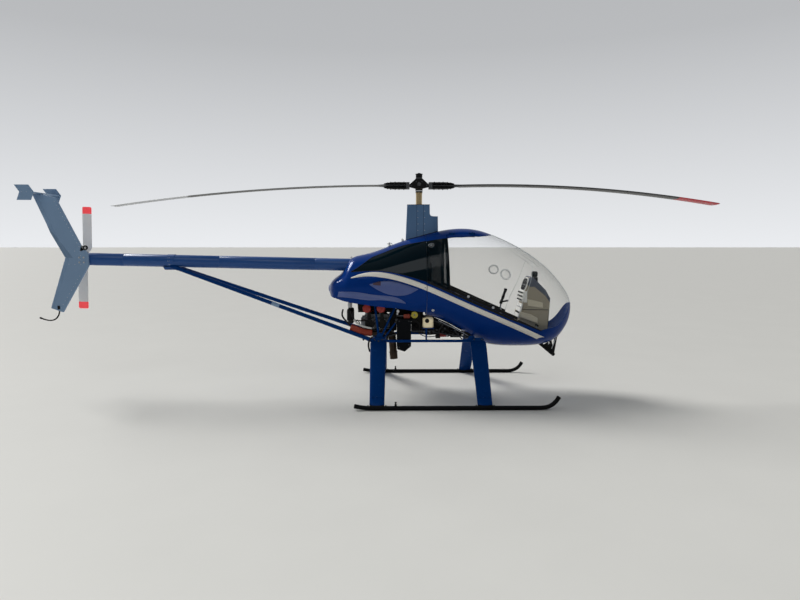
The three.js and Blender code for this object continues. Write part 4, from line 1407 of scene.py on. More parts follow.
        # A pale tube along the bubble's crown: a painted highlight for the bright line along the top of the
        # clear bubble.
        ridge_t = np.linspace(hull.along(self.roof_tip + 0.006), tip - 0.002, 140)
        ridge = hull.points(ridge_t, np.full(140, math.pi / 2))
        self.shop.tubes.grow("bubble_crown_highlight", [ridge], EDGE_HIGHLIGHT_PAINT, radius=0.0028, sides=10)

    def nose_meeting(self, edge: Callable) -> tuple[np.ndarray, np.ndarray]:
        """Measures towards the nose, for finding where the tub's edge meets the crown.

        Args:
            edge: The height of the tub's edge at x.

        Returns:
            How far the edge lies under the crown, and t, both from the nose rearwards.
        """
        t = np.linspace(self.hull.along(1.45), self.hull.end, 400)
        x, top = self.hull.columns(t)[:2]
        below = top - edge(x)
        return below[::-1], t[::-1]

    def door(self, side: str, sign: int) -> None:
        """Makes one door: pane, rails, hinges, catches and vent.

        Args:
            side: left or right.
            sign: 1 to port, -1 to starboard.
        """
        hull = self.hull
        body = Body.DOOR_LEFT if sign > 0 else Body.DOOR_RIGHT
        x = np.linspace(self.door_rear[0][0], self.door_front[0][0], 80)
        bottom = hull.side(np.stack([x, sill(x, self.rail)], -1))
        top_x = np.linspace(self.door_rear[1][0], self.door_front[-1][0], 80)
        top = hull.roof(np.stack([top_x, top_x * 0 + self.door_top], -1))
        front = hull.side(spline(self.door_front, 60))
        front[0] = bottom[-1]
        front = np.concatenate([front, front[-1] + (top[-1] - front[-1]) * np.linspace(0, 1, 9)[1:, None]])
        rear_side = spline([self.door_rear[0], (0.284, 1.3), (0.278, 1.5)], 50)
        rear = hull.side(rear_side)
        rear[0] = bottom[0]
        rear = np.concatenate([rear, rear[-1] + (top[0] - rear[-1]) * np.linspace(0, 1, 19)[1:, None]])
        patch = coons(bottom, top, rear, front)
        panel(hull, f"door_pane_{side}", [sided(patch, sign)], CLEAR_ACRYLIC, body, wall=0.004,
              replaces=[f"door_{side}"])
        self.door_rails(side, sign, body, top, rear, front)
        self.door_fittings(side, sign, body)

    def door_rails(self, side: str, sign: int, body: Body, top: np.ndarray, rear: np.ndarray,
                   front: np.ndarray) -> None:
        """Makes the frame round one door's pane.

        Args:
            side: left or right.
            sign: 1 to port, -1 to starboard.
            body: The door's body.
            top: Places along the pane's upper edge; not used.
            rear: Places along its rear edge.
            front: Places along its front edge.
        """
        hull = self.hull
        low_rail = band(hull, lambda x: sill(x, self.rail), lambda x: sill(x, 0.002),
                        self.door_rear[0][0] + 0.001, self.door_front[0][0] + 0.004, 70, 5)
        panel(hull, f"door_low_rail_{side}", [sided(low_rail, sign)], SATIN_BLACK, body, wall=0.016,
              out=0.005, bevel=0.003)
        high = []
        x = np.linspace(self.door_rear[1][0] + 0.001, 0.6, 40)
        low_edge = self.door_top + np.interp(x, (0.265, 0.465, 0.6), (0.03, 0.024, 0.002))
        for share in np.linspace(0, 1, 5):
            high.append(hull.roof(np.stack([x, self.door_top + (low_edge - self.door_top) * share], -1)))
        high_rail = np.stack(high, 1)
        panel(hull, f"door_high_rail_{side}", [sided(high_rail, sign)], GELCOAT, body, wall=0.012, out=0.004,
              bevel=0.003)
        # The front edge gets a pale bead: a painted highlight along the cut edge of the door's acrylic.
        points, _ = hull.run(front, sign, -0.002)
        self.shop.tubes.grow(f"door_front_bead_{side}", [points], EDGE_HIGHLIGHT_PAINT, body, radius=0.0016, sides=8)
        points, _ = hull.run(rear[: int(len(rear) * 0.95)], sign, -0.002)
        self.shop.tubes.grow(f"door_rear_bead_{side}", [points], RUBBER, body, radius=0.0035, sides=8)

    def door_fittings(self, side: str, sign: int, body: Body) -> None:
        """Makes one door's vent ring, catches and hinges.

        Args:
            side: left or right.
            sign: 1 to port, -1 to starboard.
            body: The door's body.
        """
        hull = self.hull
        point, way = hull.spot(*((0.833, 1.25) if sign > 0 else (0.842, 1.228)), sign)
        vent = Sketch()
        vent.turn(point, way, ((0.04, -0.008), (0.04, 0.006), (0.043, 0.01), (0.049, 0.0095), (0.053, 0.003),
                               (0.053, -0.008), (0.048, -0.011), (0.042, -0.011)), 56, 0, True)
        vent.turn(point, way, ((0.0532, -0.002), (0.0532, 0.0015), (0.0565, 0.0012), (0.0565, -0.002)), 56, 2,
                  True)
        vent.turn(point, way, ((0.0, 0.0045), (0.032, 0.0035), (0.0395, 0.0005), (0.0395, -0.002),
                               (0.032, 0.0005), (0.0, 0.0015)), 48, 1)
        vent.piece(f"vent_ring_{side}", [FROSTED_PLASTIC, CLEAR_ACRYLIC, FROSTED_PLASTIC], body, bevel=0.0006)
        catches = Sketch()
        for x in (0.47, 0.715):
            point, way = hull.spot(x, sill(x, 0.016), sign)
            catches.turn(point + way * 0.003, way,
                         ((0.013, 0.0), (0.013, 0.004), (0.01, 0.007), (0.006, 0.008), (0.006, 0.013),
                          (0.009, 0.015), (0.009, 0.021), (0.007, 0.023), (0.0, 0.0235)), 24)
        catches.piece(f"door_catches_{side}", TURNED_ALLOY, body, bevel=0.0005)
        leaves = Sketch()
        for x in (0.325, 0.528):
            y, z = sign * 0.165, 1.635
            leaves.turn((x - 0.0155, y, z), (1, 0, 0),
                        ((0.0046, 0.0), (0.008, 0.0), (0.008, 0.031), (0.0046, 0.031), (0.0046, 0.0)), 24)
            low, high = sorted((sign * 0.17, sign * 0.178))
            leaves.block((x - 0.0155, low, z - 0.032), (x + 0.0155, high, z + 0.002))
        leaves.piece(f"door_hinge_leaves_{side}", BLUE_PAINT, body, bevel=0.001)
        pins = Sketch()
        for x in (0.325, 0.528):
            y, z = sign * 0.165, 1.635
            pins.turn((x - 0.03, y, z), (1, 0, 0),
                      ((0.0, 0.0), (0.0055, 0.001), (0.0055, 0.003), (0.004, 0.0035), (0.004, 0.0565),
                       (0.0055, 0.057), (0.0055, 0.059), (0.0, 0.06)), 20)
            for dx in (-0.022, 0.022):
                low, high = sorted((sign * 0.151, sign * 0.17))
                pins.block((x + dx - 0.004, low, z - 0.006), (x + dx + 0.004, high, z + 0.006))
                low, high = sorted((sign * 0.149, sign * 0.162))
                pins.block((x + dx - 0.004, low, z - 0.03), (x + dx + 0.004, high, z + 0.004))
        pins.piece(f"hinge_ears_{side}", BLUE_PAINT, bevel=0.0008)

    def stripe_edges(self) -> tuple[Callable, Callable]:
        """Draws the white stripe: pointed at the rear, cut level in front.

        Returns:
            Two functions that give the height of its lower and upper edge at x.
        """
        centre = line_between(self.stripe)

        def half(x: np.ndarray) -> np.ndarray:
            """Gives half the stripe's height.

            Args:
                x: Places along the stripe.

            Returns:
                The half height at each.
            """
            width = 0.025 * np.clip((x + 0.69) / 0.3, 0, 1) ** 0.55
            slope = (centre(x + 0.002) - centre(x - 0.002)) / 0.004
            return width * np.sqrt(1 + slope**2)

        return (lambda x: centre(x) - half(x)), (lambda x: centre(x) + half(x))

    def trim(self, side: str, sign: int) -> None:
        """Makes one side's stripe, seals and screws.

        Args:
            side: left or right.
            sign: 1 to port, -1 to starboard.
        """
        hull = self.hull
        low, high = self.stripe_edges()
        rear = band(hull, low, high, -0.688, SEAM - 0.003, 90)
        share = np.linspace(0, 1, 4)[None, :]
        ends = np.linspace(SEAM + 0.003, self.stripe_end, 130)
        x = ends[:, None] + (ends[:, None] - ends[0]) / (ends[-1] - ends[0]) * self.stripe_cut * share
        front = hull.side(np.stack([x, (1 - share) * low(ends)[:, None] + share * high(x)], -1))
        for name, patch in (("rear", rear), ("front", front)):
            panel(hull, f"stripe_{name}_{side}", [sided(patch, sign)], STRIPE_TAPE, wall=0.0015, out=0.0009,
                  bevel=0.0)
        self.scoop(side, sign)
        # A thin pale band over the cowl's ledge: a painted reflection of the sky on the upward-facing ledge.
        shelf = band(hull, line_between(self.shelf_low), line_between(self.shelf_high), -0.815, -0.142, 110,
                     8)
        panel(hull, f"cowl_shelf_sky_reflection_{side}", [sided(shelf, sign)], SKY_REFLECTION_PAINT, wall=0.0012, out=0.001,
              relief=self.cowl_relief, bevel=0.0)
        seal = band(hull, lambda x: sill(x, np.interp(x, (0.9, 0.975, 1.236), (0.062, 0.054, 0.0425))),
                    lambda x: sill(x, 0.037), SEAM + 0.003, 1.236, 120)
        panel(hull, f"sill_seal_{side}", [sided(seal, sign)], RUBBER, wall=0.004, out=0.0028, bevel=0.001)
        foot = band(hull, lambda x: sill(x, 0.0385),
                    lambda x: sill(x, np.interp(x, (0.975, 1.225), (0.027, 0.036))), 0.975, 1.225, 40)
        panel(hull, f"windshield_foot_{side}", [sided(foot, sign)], SATIN_BLACK, wall=0.006, out=0.0015)
        x = np.linspace(1.0, 1.12, 30)
        runs = [hull.run(hull.side(np.stack([x, sill(x, 0.034)], -1)), sign, 0.0015)]
        x = np.linspace(0.1, 0.92, 60)
        runs.append(hull.run(hull.side(np.stack([x, sill(x, 0.05)], -1)), sign, 0.0028))
        self.shop.heads.grow(f"sill_screws_{side}", [r[0] for r in runs], DARK_STEEL,
                             normals=[r[1] for r in runs], spacing=0.11, length=0.009, width=0.009,
                             height=0.004)
        runs = []
        edge = line_between(COWL_EDGE)
        x = np.linspace(-0.78, 0.02, 60)
        runs.append(hull.run(hull.side(np.stack([x, edge(x) + 0.022], -1)), sign, 0.0005))
        z = np.linspace(0.9, 1.1, 20)
        runs.append(hull.run(hull.side(np.stack([z * 0 + SEAM - 0.018, z], -1)), sign, 0.0))
        lift = self.cowl_relief(runs[0][0])[:, None] * runs[0][1]
        self.shop.heads.grow(f"cowl_screws_{side}", [runs[0][0] + lift, runs[1][0]],
                             BLUE_PAINT, normals=[r[1] for r in runs], spacing=0.115, length=0.01, width=0.01,
                             height=0.004)

    def scoop(self, side: str, sign: int) -> None:
        """Makes the floor of one air scoop, painted pale as a reflection of the sky, its inlet mesh and its
        rolled rim.

        Args:
            side: left or right.
            sign: 1 to port, -1 to starboard.
        """
        hull, inset = self.hull, 0.0025
        low, high = line_between(self.scoop_low), line_between(self.scoop_high)

        def sunk(points: np.ndarray) -> np.ndarray:
            """Follows the scoop's floor."""
            return -self.scoop_depth(points[..., 0], points[..., 2])

        first, last = self.scoop_low[0][0] + 0.008, self.scoop_low[-1][0] - 0.008
        floor = band(hull, lambda x: low(x) + inset * 0.4, lambda x: high(x) - inset, first, last, 110, 26)
        panel(hull, f"cowl_scoop_{side}", [sided(floor, sign)], SKY_REFLECTION_PAINT, wall=0.0015, out=0.0016,
              relief=sunk, bevel=0.0)
        mesh = band(hull, lambda x: 0.45 * low(x) + 0.55 * high(x), lambda x: high(x) - 2 * inset,
                    first + 0.035, first + 0.11, 30, 8)
        panel(hull, f"scoop_mesh_{side}", [sided(mesh, sign)], INLET_MESH, wall=0.002, out=0.0034,
              relief=sunk, bevel=0.0006)
        x = np.linspace(self.scoop_low[0][0], self.scoop_low[-1][0], 80)
        rim = [hull.run(hull.side(np.stack([x, edge(x)], -1)), sign, 0.0002)[0] for edge in (low, high)]
        self.shop.tubes.grow(f"scoop_rim_{side}", rim, GELCOAT, radius=0.0032, sides=10)

    def fittings(self) -> None:
        """Makes the small fittings on the shell."""
        hull = self.hull
        for side, sign in SIDES:
            point, way = hull.spot(0.129, 0.872, sign)
            cap = Sketch()
            cap.turn(point - way * 0.003, way,
                     ((0.015, 0.0), (0.015, 0.005), (0.012, 0.009), (0.006, 0.0105), (0.0, 0.011)), 32)
            cap.piece(f"lift_point_cap_{side}", BLADE_WHITE)
            point, way = hull.spot(0.116, 1.515, sign)
            lamp = Sketch()
            lamp.turn(point - way * 0.012, way, ((0.03, 0.0), (0.03, 0.01), (0.026, 0.013), (0.022, 0.011),
                                                 (0.012, 0.0105), (0.01, 0.014), (0.0, 0.015)), 36)
            lamp.piece(f"reading_lamp_{side}", CAST_ALLOY, bevel=0.0008)
        knobs = Sketch()
        knobs.turn((-0.301, 0, 1.5), (-0.3, 0, 1),
                   ((0.018, 0.0), (0.018, 0.014), (0.012, 0.017), (0.01, 0.024), (0.016, 0.029),
                    (0.016, 0.038), (0.01, 0.043), (0.0, 0.044)), 24)
        knobs.sweep(((-0.301, 0, 1.53), (-0.29, 0, 1.536), (-0.28, 0, 1.53), (-0.276, 0, 1.519)), 0.004, 10)
        knobs.turn((-0.692, 0, 1.366), (-0.5, 0, 1),
                   ((0.014, 0.0), (0.014, 0.018), (0.01, 0.022), (0.01, 0.03), (0.0, 0.032)), 20)
        knobs.turn((-0.165, 0, 1.55), (-0.3, 0, 1),
                   ((0.014, 0.0), (0.014, 0.018), (0.01, 0.026), (0.006, 0.034), (0.0, 0.035)), 20)
        knobs.piece("crown_knobs", WHITE_ABS, bevel=0.0008)


# Other sub-assemblies


@dataclass
class Assembly:
    """What every sub-assembly works with."""

    hull: Hull
    shop: Workshop


@dataclass
class LandingGear(Assembly):
    """Two skids on four flat legs."""

    spine: tuple = ((0.822, 0.034), (0.7, 0.156), (0.52, 0.338), (0.4, 0.456), (0.33, 0.516), (0.276, 0.556))
    chord: float = 0.148
    thick: float = 0.036
    legs: tuple = (("rear", -0.415), ("front", 0.584))
    skid: tuple = ((-0.619, 0.038), (-0.56, 0.027), (-0.5, 0.02), (1.095, 0.02), (1.145, 0.025),
                   (1.184, 0.038), (1.216, 0.059), (1.241, 0.085), (1.262, 0.116))
    track: float = 0.82
    tube: float = 0.02

    def build(self) -> None:
        """Makes the legs and skids."""
        for side, sign in SIDES:
            for end, x in self.legs:
                self.leg(f"{end}_leg", side, sign, x)
            self.skid_tube(side, sign)

    def leg(self, name: str, side: str, sign: int, x: float) -> None:
        """Makes one leg: a flat fibre spring with round edges, and its foot.

        Args:
            name: The leg's name.
            side: left or right.
            sign: 1 to port, -1 to starboard.
            x: Its place along the machine.
        """
        line = spline(self.spine, 44)
        along = np.gradient(line, axis=0)
        along /= np.linalg.norm(along, axis=1)[:, None]
        across = np.stack([-along[:, 1], along[:, 0]], 1)
        turns = around(40)
        ends = np.linspace(0, 1, len(line))
        rings = []
        for (y, z), (ny, nz), share in zip(line, across, ends):
            near = min(share * 4, 1 - share) / 0.05
            fit = math.sqrt(1 - (1 - min(near, 1.0)) ** 2) * 0.25 + 0.75
            half = self.chord / 2 * fit
            wide = bulged(np.cos(turns), 0.65) * half * (0.932 + 0.149 * share)
            high = bulged(np.sin(turns), 0.85) * self.thick / 2 * fit
            rings.append(np.stack([x + wide, sign * (y + ny * high), z + nz * high], 1))
        leg = Sketch()
        leg.loft(np.array(rings))
        leg.piece(f"{name}_blade_{side}", BLUE_PAINT, slot="blue_paint", replaces=[f"{name}_{side}"],
                  sharp=60)
        foot, point = Sketch(), np.array((x, sign * 0.76, 0.096))
        way = np.array((0.0, sign * 0.707, 0.707))
        foot.sweep([(x - 0.068, sign * self.track, 0.0248), (x + 0.068, sign * self.track, 0.0248)], 0.0245,
                   24)
        for dx in (-0.045, 0.0, 0.045):
            base = point + (dx, 0, 0) + way * (self.thick / 2 - 0.002)
            foot.bolt(base, way, (0.01, 0.004), (0.0065, 0.011), mark=1)
        foot.piece(f"{name}_foot_{side}", [SKID_PAINT, BLUE_PAINT], bevel=0.0012)
        head = Sketch()
        head.slab([(x - 0.06, 0.5), (x + 0.06, 0.5), (x + 0.06, 0.575), (x + 0.046, 0.592),
                   (x - 0.046, 0.592), (x - 0.06, 0.575)], *sorted((sign * 0.2855, sign * 0.2935)))
        for dx, z in ((-0.042, 0.52), (0.042, 0.52), (-0.038, 0.575), (0.038, 0.575)):
            head.bolt((x + dx, sign * 0.2935, z), (0, sign, 0), (0.009, 0.006), (0.006, 0.013), mark=1,
                      ease=0.001)
        head.piece(f"{name}_bracket_{side}", [BLUE_PAINT, DARK_STEEL], bevel=0.001)

    def skid_tube(self, side: str, sign: int) -> None:
        """Makes one skid, with its end plugs, wear shoes, wheel lug and clamping bands.

        Args:
            side: left or right.
            sign: 1 to port, -1 to starboard.
        """
        line = np.concatenate([spline(self.skid[:3], 12), spline(self.skid[3:], 26)])
        path = np.stack([line[:, 0], np.full(len(line), sign * self.track), line[:, 1]], 1)
        self.shop.tubes.grow(f"skid_tube_{side}", [path], SKID_PAINT, slot="black_paint",
                             replaces=[f"skid_{side}"], radius=self.tube, sides=28)
        extras = Sketch()
        for end, inner in ((path[0], path[1]), (path[-1], path[-2])):
            extras.turn(inner, end - inner,
                        ((0.0185, 0.0), (0.0215, 0.006), (0.0215, 0.012), (0.016, 0.018), (0.0, 0.019)), 24)
        shoe = [(-0.46, 0.0), (1.06, 0.0), (1.08, 0.006), (1.06, 0.0115), (-0.46, 0.0115), (-0.48, 0.006)]
        extras.slab(shoe, *sorted((sign * (self.track - 0.011), sign * (self.track + 0.011))))
        extras.turn((-0.242, sign * self.track, 0.036), (0, 0, 1),
                    ((0.011, 0.0), (0.011, 0.02), (0.007, 0.022), (0.007, 0.034), (0.01, 0.035),
                     (0.01, 0.041), (0.0, 0.042)), 20)
        extras.piece(f"skid_fittings_{side}", SKID_PAINT, bevel=0.0015)
        clamps = [np.array([(leg_x + at + dx, sign * self.track, 0.0238) for dx in (0.0, 0.012)])
                  for _, leg_x in self.legs for at in (-0.088, 0.076)]
        self.shop.tubes.grow(f"skid_bands_{side}", clamps, SATIN_BLACK, radius=0.0235, sides=24)


@dataclass
class Tail(Assembly):
    """The boom, its struts, the fin, the stabiliser and the tail rotor."""

    boom_radius: float = 0.0635
    front: float = BOOM_FRONT[0]
    rear: float = -3.5
    rise: float = BOOM_RISE
    fin_side: float = -0.0758
    rotor: Point = (-3.543, 0.2, 1.378)
    lean: float = math.radians(1.8)
    outline: tuple = ((-3.366, 1.428), (-3.433, 1.506), (-3.669, 1.99), (-3.815, 2.029), (-3.904, 2.029),
                      (-3.737, 1.64), (-3.603, 1.394), (-3.607, 1.372), (-3.774, 0.871), (-3.651, 0.827),
                      (-3.366, 1.305))

    def build(self) -> None:
        """Makes the tail."""
        self.boom()
        self.struts()
        self.fin()
        self.stabiliser()
        self.gearbox()
        self.tail_rotor()

    def boom(self) -> None:
        """Makes the boom with its joint rings and fasteners."""
        r, length = self.boom_radius, self.front - self.rear
        base, axis = (self.front, 0, boom_height(self.front)), (-1, 0, self.rise)
        boom = Sketch()
        profile = [(r - 0.003, 0.0), (r, 0.0015)]
        for at in (0.62, 1.6, 2.58):
            profile += [(r, at), (r - 0.0006, at + 0.0012), (r, at + 0.0024)]
        profile += [(r, length - 0.0015), (r - 0.003, length)]
        boom.turn(base, axis, profile, 64)
        boom.piece("tail_boom_tube", BOOM_PAINT, slot="blue_paint", replaces=["tail_boom"], sharp=50)
        bands = Sketch()
        for at, width, proud in ((0.04, 0.03, 0.0025), (2.1, 0.026, 0.0022), (length - 0.08, 0.075, 0.003)):
            bands.turn(np.add(base, np.multiply(axis, at)), axis,
                       ((r, 0.0), (r + proud, 0.001), (r + proud, width - 0.001), (r, width)), 64)
        bands.piece("boom_bands", CAST_ALLOY, bevel=0.0006)
        runs, ways = [], []
        turns = np.linspace(0, math.tau, 49)
        ring = np.stack([turns * 0, np.cos(turns), np.sin(turns)], 1)
        for at in (0.048, 0.062, 2.106, 2.12, length - 0.068, length - 0.02):
            out = r + (0.003 if at > 2.5 else 0.0022)
            runs.append(ring * out + np.add(base, np.multiply(axis, at)))
            ways.append(ring)
        self.shop.heads.grow("boom_rivets", runs, ZINC, normals=ways, spacing=0.034, length=0.007,
                             width=0.007, height=0.0035)
        collar = Sketch()
        collar.turn((self.front - 0.055, 0, boom_height(self.front - 0.055)), axis,
                    ((r, 0.0), (r + 0.008, 0.002), (r + 0.009, 0.014), (r + 0.002, 0.02)), 48)
        collar.piece("boom_gaiter", RUBBER)

    def struts(self) -> None:
        """Makes the two struts from the boom to the frame, with their forks and the light sleeve."""
        for side, sign in SIDES:
            low = np.array((-0.446, sign * 0.27, 0.552))
            high = np.array((-2.55, sign * 0.034, boom_height(-2.55) - 0.05))
            way = (high - low) / np.linalg.norm(high - low)
            self.shop.tubes.grow(f"boom_strut_tube_{side}", [np.array((low, high))], BLUE_PAINT,
                                 slot="blue_paint", replaces=[f"boom_strut_{side}"], radius=0.02, sides=24)
            ends = Sketch()
            ends.turn(low - way * 0.012, way,
                      ((0.01, 0.0), (0.02, 0.006), (0.0225, 0.014), (0.0225, 0.09), (0.0205, 0.096)), 24)
            ends.turn(high - way * 0.085, way,
                      ((0.0205, 0.0), (0.0225, 0.006), (0.0225, 0.075), (0.014, 0.088)), 24)
            ends.turn(low + (0, -0.024, 0), (0, 1, 0), ((0.011, 0.0), (0.011, 0.048)), 16, 1)
            ends.piece(f"strut_ends_{side}", [BLUE_PAINT, ZINC], bevel=0.001)
        sleeve = Sketch()
        low, high = np.array((-0.446, -0.27, 0.552)), np.array((-2.55, -0.034, boom_height(-2.55) - 0.05))
        share = [(x - low[0]) / (high[0] - low[0]) for x in (-1.42, -1.496)]
        sleeve.sweep([low + (high - low) * s for s in share], 0.0212, 24)
        sleeve.piece("strut_sleeve", FADED_PAINT, bevel=0.0006)
        saddle = Sketch()
        z = boom_height(-2.55)
        saddle.slab([(-2.61, z - 0.09), (-2.49, z - 0.09), (-2.47, z - 0.058), (-2.63, z - 0.058)], -0.046,
                    0.046)
        saddle.turn((-2.59, 0, z + 0.001), (1, 0, 0),
                    ((0.064, 0.0), (0.0665, 0.001), (0.0665, 0.079), (0.064, 0.08)), 48)
        saddle.piece("strut_saddle", BOOM_PAINT, bevel=0.0015)

    def fin(self) -> None:
        """Makes the sheet-metal fin with its folded rear edge and rivets."""
        half = 0.012
        fin = Sketch()
        fin.slab(self.outline, self.fin_side - half, self.fin_side + half)
        fin.piece("tail_fin_skin", FADED_PAINT, slot="blue_paint", replaces=["tail_fin"], bevel=0.007,
                  segments=4, sharp=30)
        fold = [np.array(((-3.856, 0, 2.01), (-3.698, 0, 1.65), (-3.57, 0, 1.394), (-3.57, 0, 1.372),
                          (-3.742, 0, 0.877)))]
        near, far = fold[0] + (0, self.fin_side - half, 0), fold[0] + (0, self.fin_side + half, 0)
        self.shop.tubes.grow("fin_fold", [resample(near, 60), resample(far, 60)], FADED_PAINT, radius=0.0022,
                             sides=8)
        spar = [np.array(((-3.456, 0, 1.5), (-3.682, 0, 1.955))),
                np.array(((-3.446, 0, 1.455), (-3.56, 0, 1.455))),
                np.array(((-3.446, 0, 1.32), (-3.566, 0, 1.32))),
                np.array(((-3.462, 0, 1.2), (-3.668, 0, 0.875))),
                np.array(((-3.446, 0, 1.455), (-3.446, 0, 1.32)))]
        runs = [resample(line + (0, self.fin_side + s * half, 0), 30) for line in spar for s in (-1, 1)]
        ways = [np.tile((0.0, float(s), 0.0), (30, 1)) for _ in spar for s in (-1, 1)]
        self.shop.heads.grow("fin_rivets", runs, ZINC, normals=ways, spacing=0.042, length=0.007, width=0.007,
                             height=0.0035)
        plate, shade_plate, y = Sketch(), Sketch(), self.fin_side - half
        plate.slab([(-3.596, 1.3), (-3.481, 1.3), (-3.451, 1.33), (-3.451, 1.43), (-3.481, 1.46),
                    (-3.596, 1.46)], self.fin_side + half - 0.001, -0.056)
        for x, z in ((-3.459, 1.34), (-3.414, 1.34), (-3.459, 1.39), (-3.414, 1.39)):
            plate.bolt((x, y, z), (0, -1, 0), (0.01, 0.003), (0.007, 0.009), mark=1)
        plate.turn((-3.388, y, 1.489), (0, -1, 0), ((0.024, 0), (0.024, 0.01), (0.021, 0.012), (0.015, 0.012),
                                                    (0.014, 0.006), (0.0, 0.006)), 28, 2)
        plate.stud((-3.388, y - 0.006, 1.489), (0, -1, 0), 0.011, 0.007, mark=1, sides=20)
        plate.slab([(-3.45, 1.452), (-3.374, 1.47), (-3.372, 1.5), (-3.436, 1.512)], y, y + 0.003)
        # Thin plates on both faces of that strip, in the darker copy of the fin's paint: painted shade.
        crease = [(-3.768, 1.7185), (-3.737, 1.64), (-3.6035, 1.394), (-3.522, 1.383)]
        for low in (-half - 0.0008, half - 0.0004):
            shade_plate.slab(crease, self.fin_side + low, self.fin_side + low + 0.0012)
        shade_plate.piece("fin_crease_painted_shade", FIN_PAINTED_SHADE)
        plate.piece("fin_mount", [CAST_ALLOY, ZINC, RUBBER], bevel=0.001)
        bumper = spline(((-3.69, 0.855), (-3.702, 0.8), (-3.74, 0.757), (-3.807, 0.745), (-3.885, 0.768)), 50)
        path = np.stack([bumper[:, 0], np.full(50, self.fin_side), bumper[:, 1]], 1)
        self.shop.tubes.grow("tail_bumper_rod", [path], SATIN_BLACK, slot="black_paint",
                             replaces=["tail_bumper"], radius=0.007, sides=14)
        tip = Sketch()
        tip.turn(path[-1] - (path[-1] - path[-3]) * 1.2, path[-1] - path[-3],
                 ((0.0072, 0.0), (0.0095, 0.003), (0.0095, 0.02), (0.005, 0.026), (0.0, 0.027)), 16)
        tip.slab([(-3.704, 0.86), (-3.678, 0.86), (-3.678, 0.897), (-3.704, 0.897)], y - 0.003, y, mark=0)
        tip.piece("bumper_fittings", SATIN_BLACK, bevel=0.001)

    def stabiliser(self) -> None:
        """Makes the small wing on top of the fin and its end plates."""
        foil = ((-3.795, 2.0353), (-3.8, 2.039), (-3.815, 2.0411), (-3.846, 2.0413), (-3.891, 2.039),
                (-3.9285, 2.0358), (-3.9285, 2.0348), (-3.891, 2.032), (-3.846, 2.0295), (-3.815, 2.0298),
                (-3.8, 2.032))
        wing = Sketch()
        wing.slab(foil, -0.24, 0.24)
        plate = ((-3.981, 2.107), (-3.841, 2.107), (-3.791, 2.037), (-3.821, 1.957), (-3.961, 1.957),
                 (-3.931, 2.037))
        for sign in (-1, 1):
            wing.slab(plate, sign * 0.243 - 0.003, sign * 0.243 + 0.003)
        wing.piece("stabiliser_wing", FADED_PAINT, slot="blue_paint", replaces=["stabiliser"], bevel=0.0012)
        runs, ways = [], []
        for sign in (-1, 1):
            for side in (-1, 1):
                y = sign * 0.243 + side * 0.003
                runs.append(resample(np.array(((-3.91, y, 2.037), (-3.81, y, 2.037))), 20))
                ways.append(np.tile((0.0, float(side), 0.0), (20, 1)))
        for side in (-1, 1):
            z = 2.0413 if side > 0 else 2.0295
            runs.append(resample(np.array(((-3.846, -0.22, z), (-3.846, 0.22, z))), 30))
            ways.append(np.tile((0.0, 0.0, float(side)), (30, 1)))
        self.shop.heads.grow("stabiliser_rivets", runs, ZINC, normals=ways, spacing=0.045, length=0.006,
                             width=0.006, height=0.003)

    def gearbox(self) -> None:
        """Makes the tail gearbox and its output boss."""
        box = Sketch()
        corner, wide = 0.018, (-3.603, -3.5014)
        low, high = 1.322, 1.438
        rim = [(wide[0], low + corner), (wide[0] + corner, low), (wide[1] - corner, low),
               (wide[1], low + corner), (wide[1], high - corner), (wide[1] - corner, high),
               (wide[0] + corner, high), (wide[0], high - corner)]
        box.slab(rim, -0.0555, 0.052)
        box.turn((-3.543, 0.04, 1.378), (0, 1, 0), ((0.048, 0.0), (0.048, 0.022), (0.036, 0.03),
                                                    (0.034, 0.068), (0.03, 0.07), (0.0, 0.0705)), 36)
        box.turn((-3.543, 0, 1.437), (0, 0, 1),
                 ((0.014, 0.0), (0.014, 0.006), (0.009, 0.008), (0.009, 0.016), (0.0, 0.017)), 6, 1)
        box.stud((-3.543, 0, 1.323), (0, 0, -1), 0.012, 0.006, mark=1)
        for z in (1.338, 1.356, 1.374, 1.392, 1.41):
            box.slab([(-3.6085, z), (-3.6025, z), (-3.6025, z + 0.006), (-3.6085, z + 0.006)], -0.045, 0.042)
        for turn in around(6):
            at = (-3.543 + 0.041 * math.cos(turn), 0.0615, 1.378 + 0.041 * math.sin(turn))
            box.stud(at, (0, 1, 0), 0.005, 0.0045, mark=1, crown=0.0005)
        box.piece("tail_gearbox_case", [CAST_ALLOY, ZINC], slot="cast_alloy", replaces=["tail_gearbox"],
                  bevel=0.002)
        arm, rods = Sketch(), [np.array(((-3.46, -0.05, 1.3), (-3.49, 0.06, 1.325), (-3.526, 0.1, 1.343)))]
        self.shop.tubes.grow("pitch_rod", [resample(rods[0], 12)], TURNED_ALLOY, radius=0.004, sides=10)
        arm.stud((-3.528, 0.094, 1.339), (0, 0, 1), 0.007, 0.012, sides=12)
        arm.piece("pitch_rod_end", ZINC)

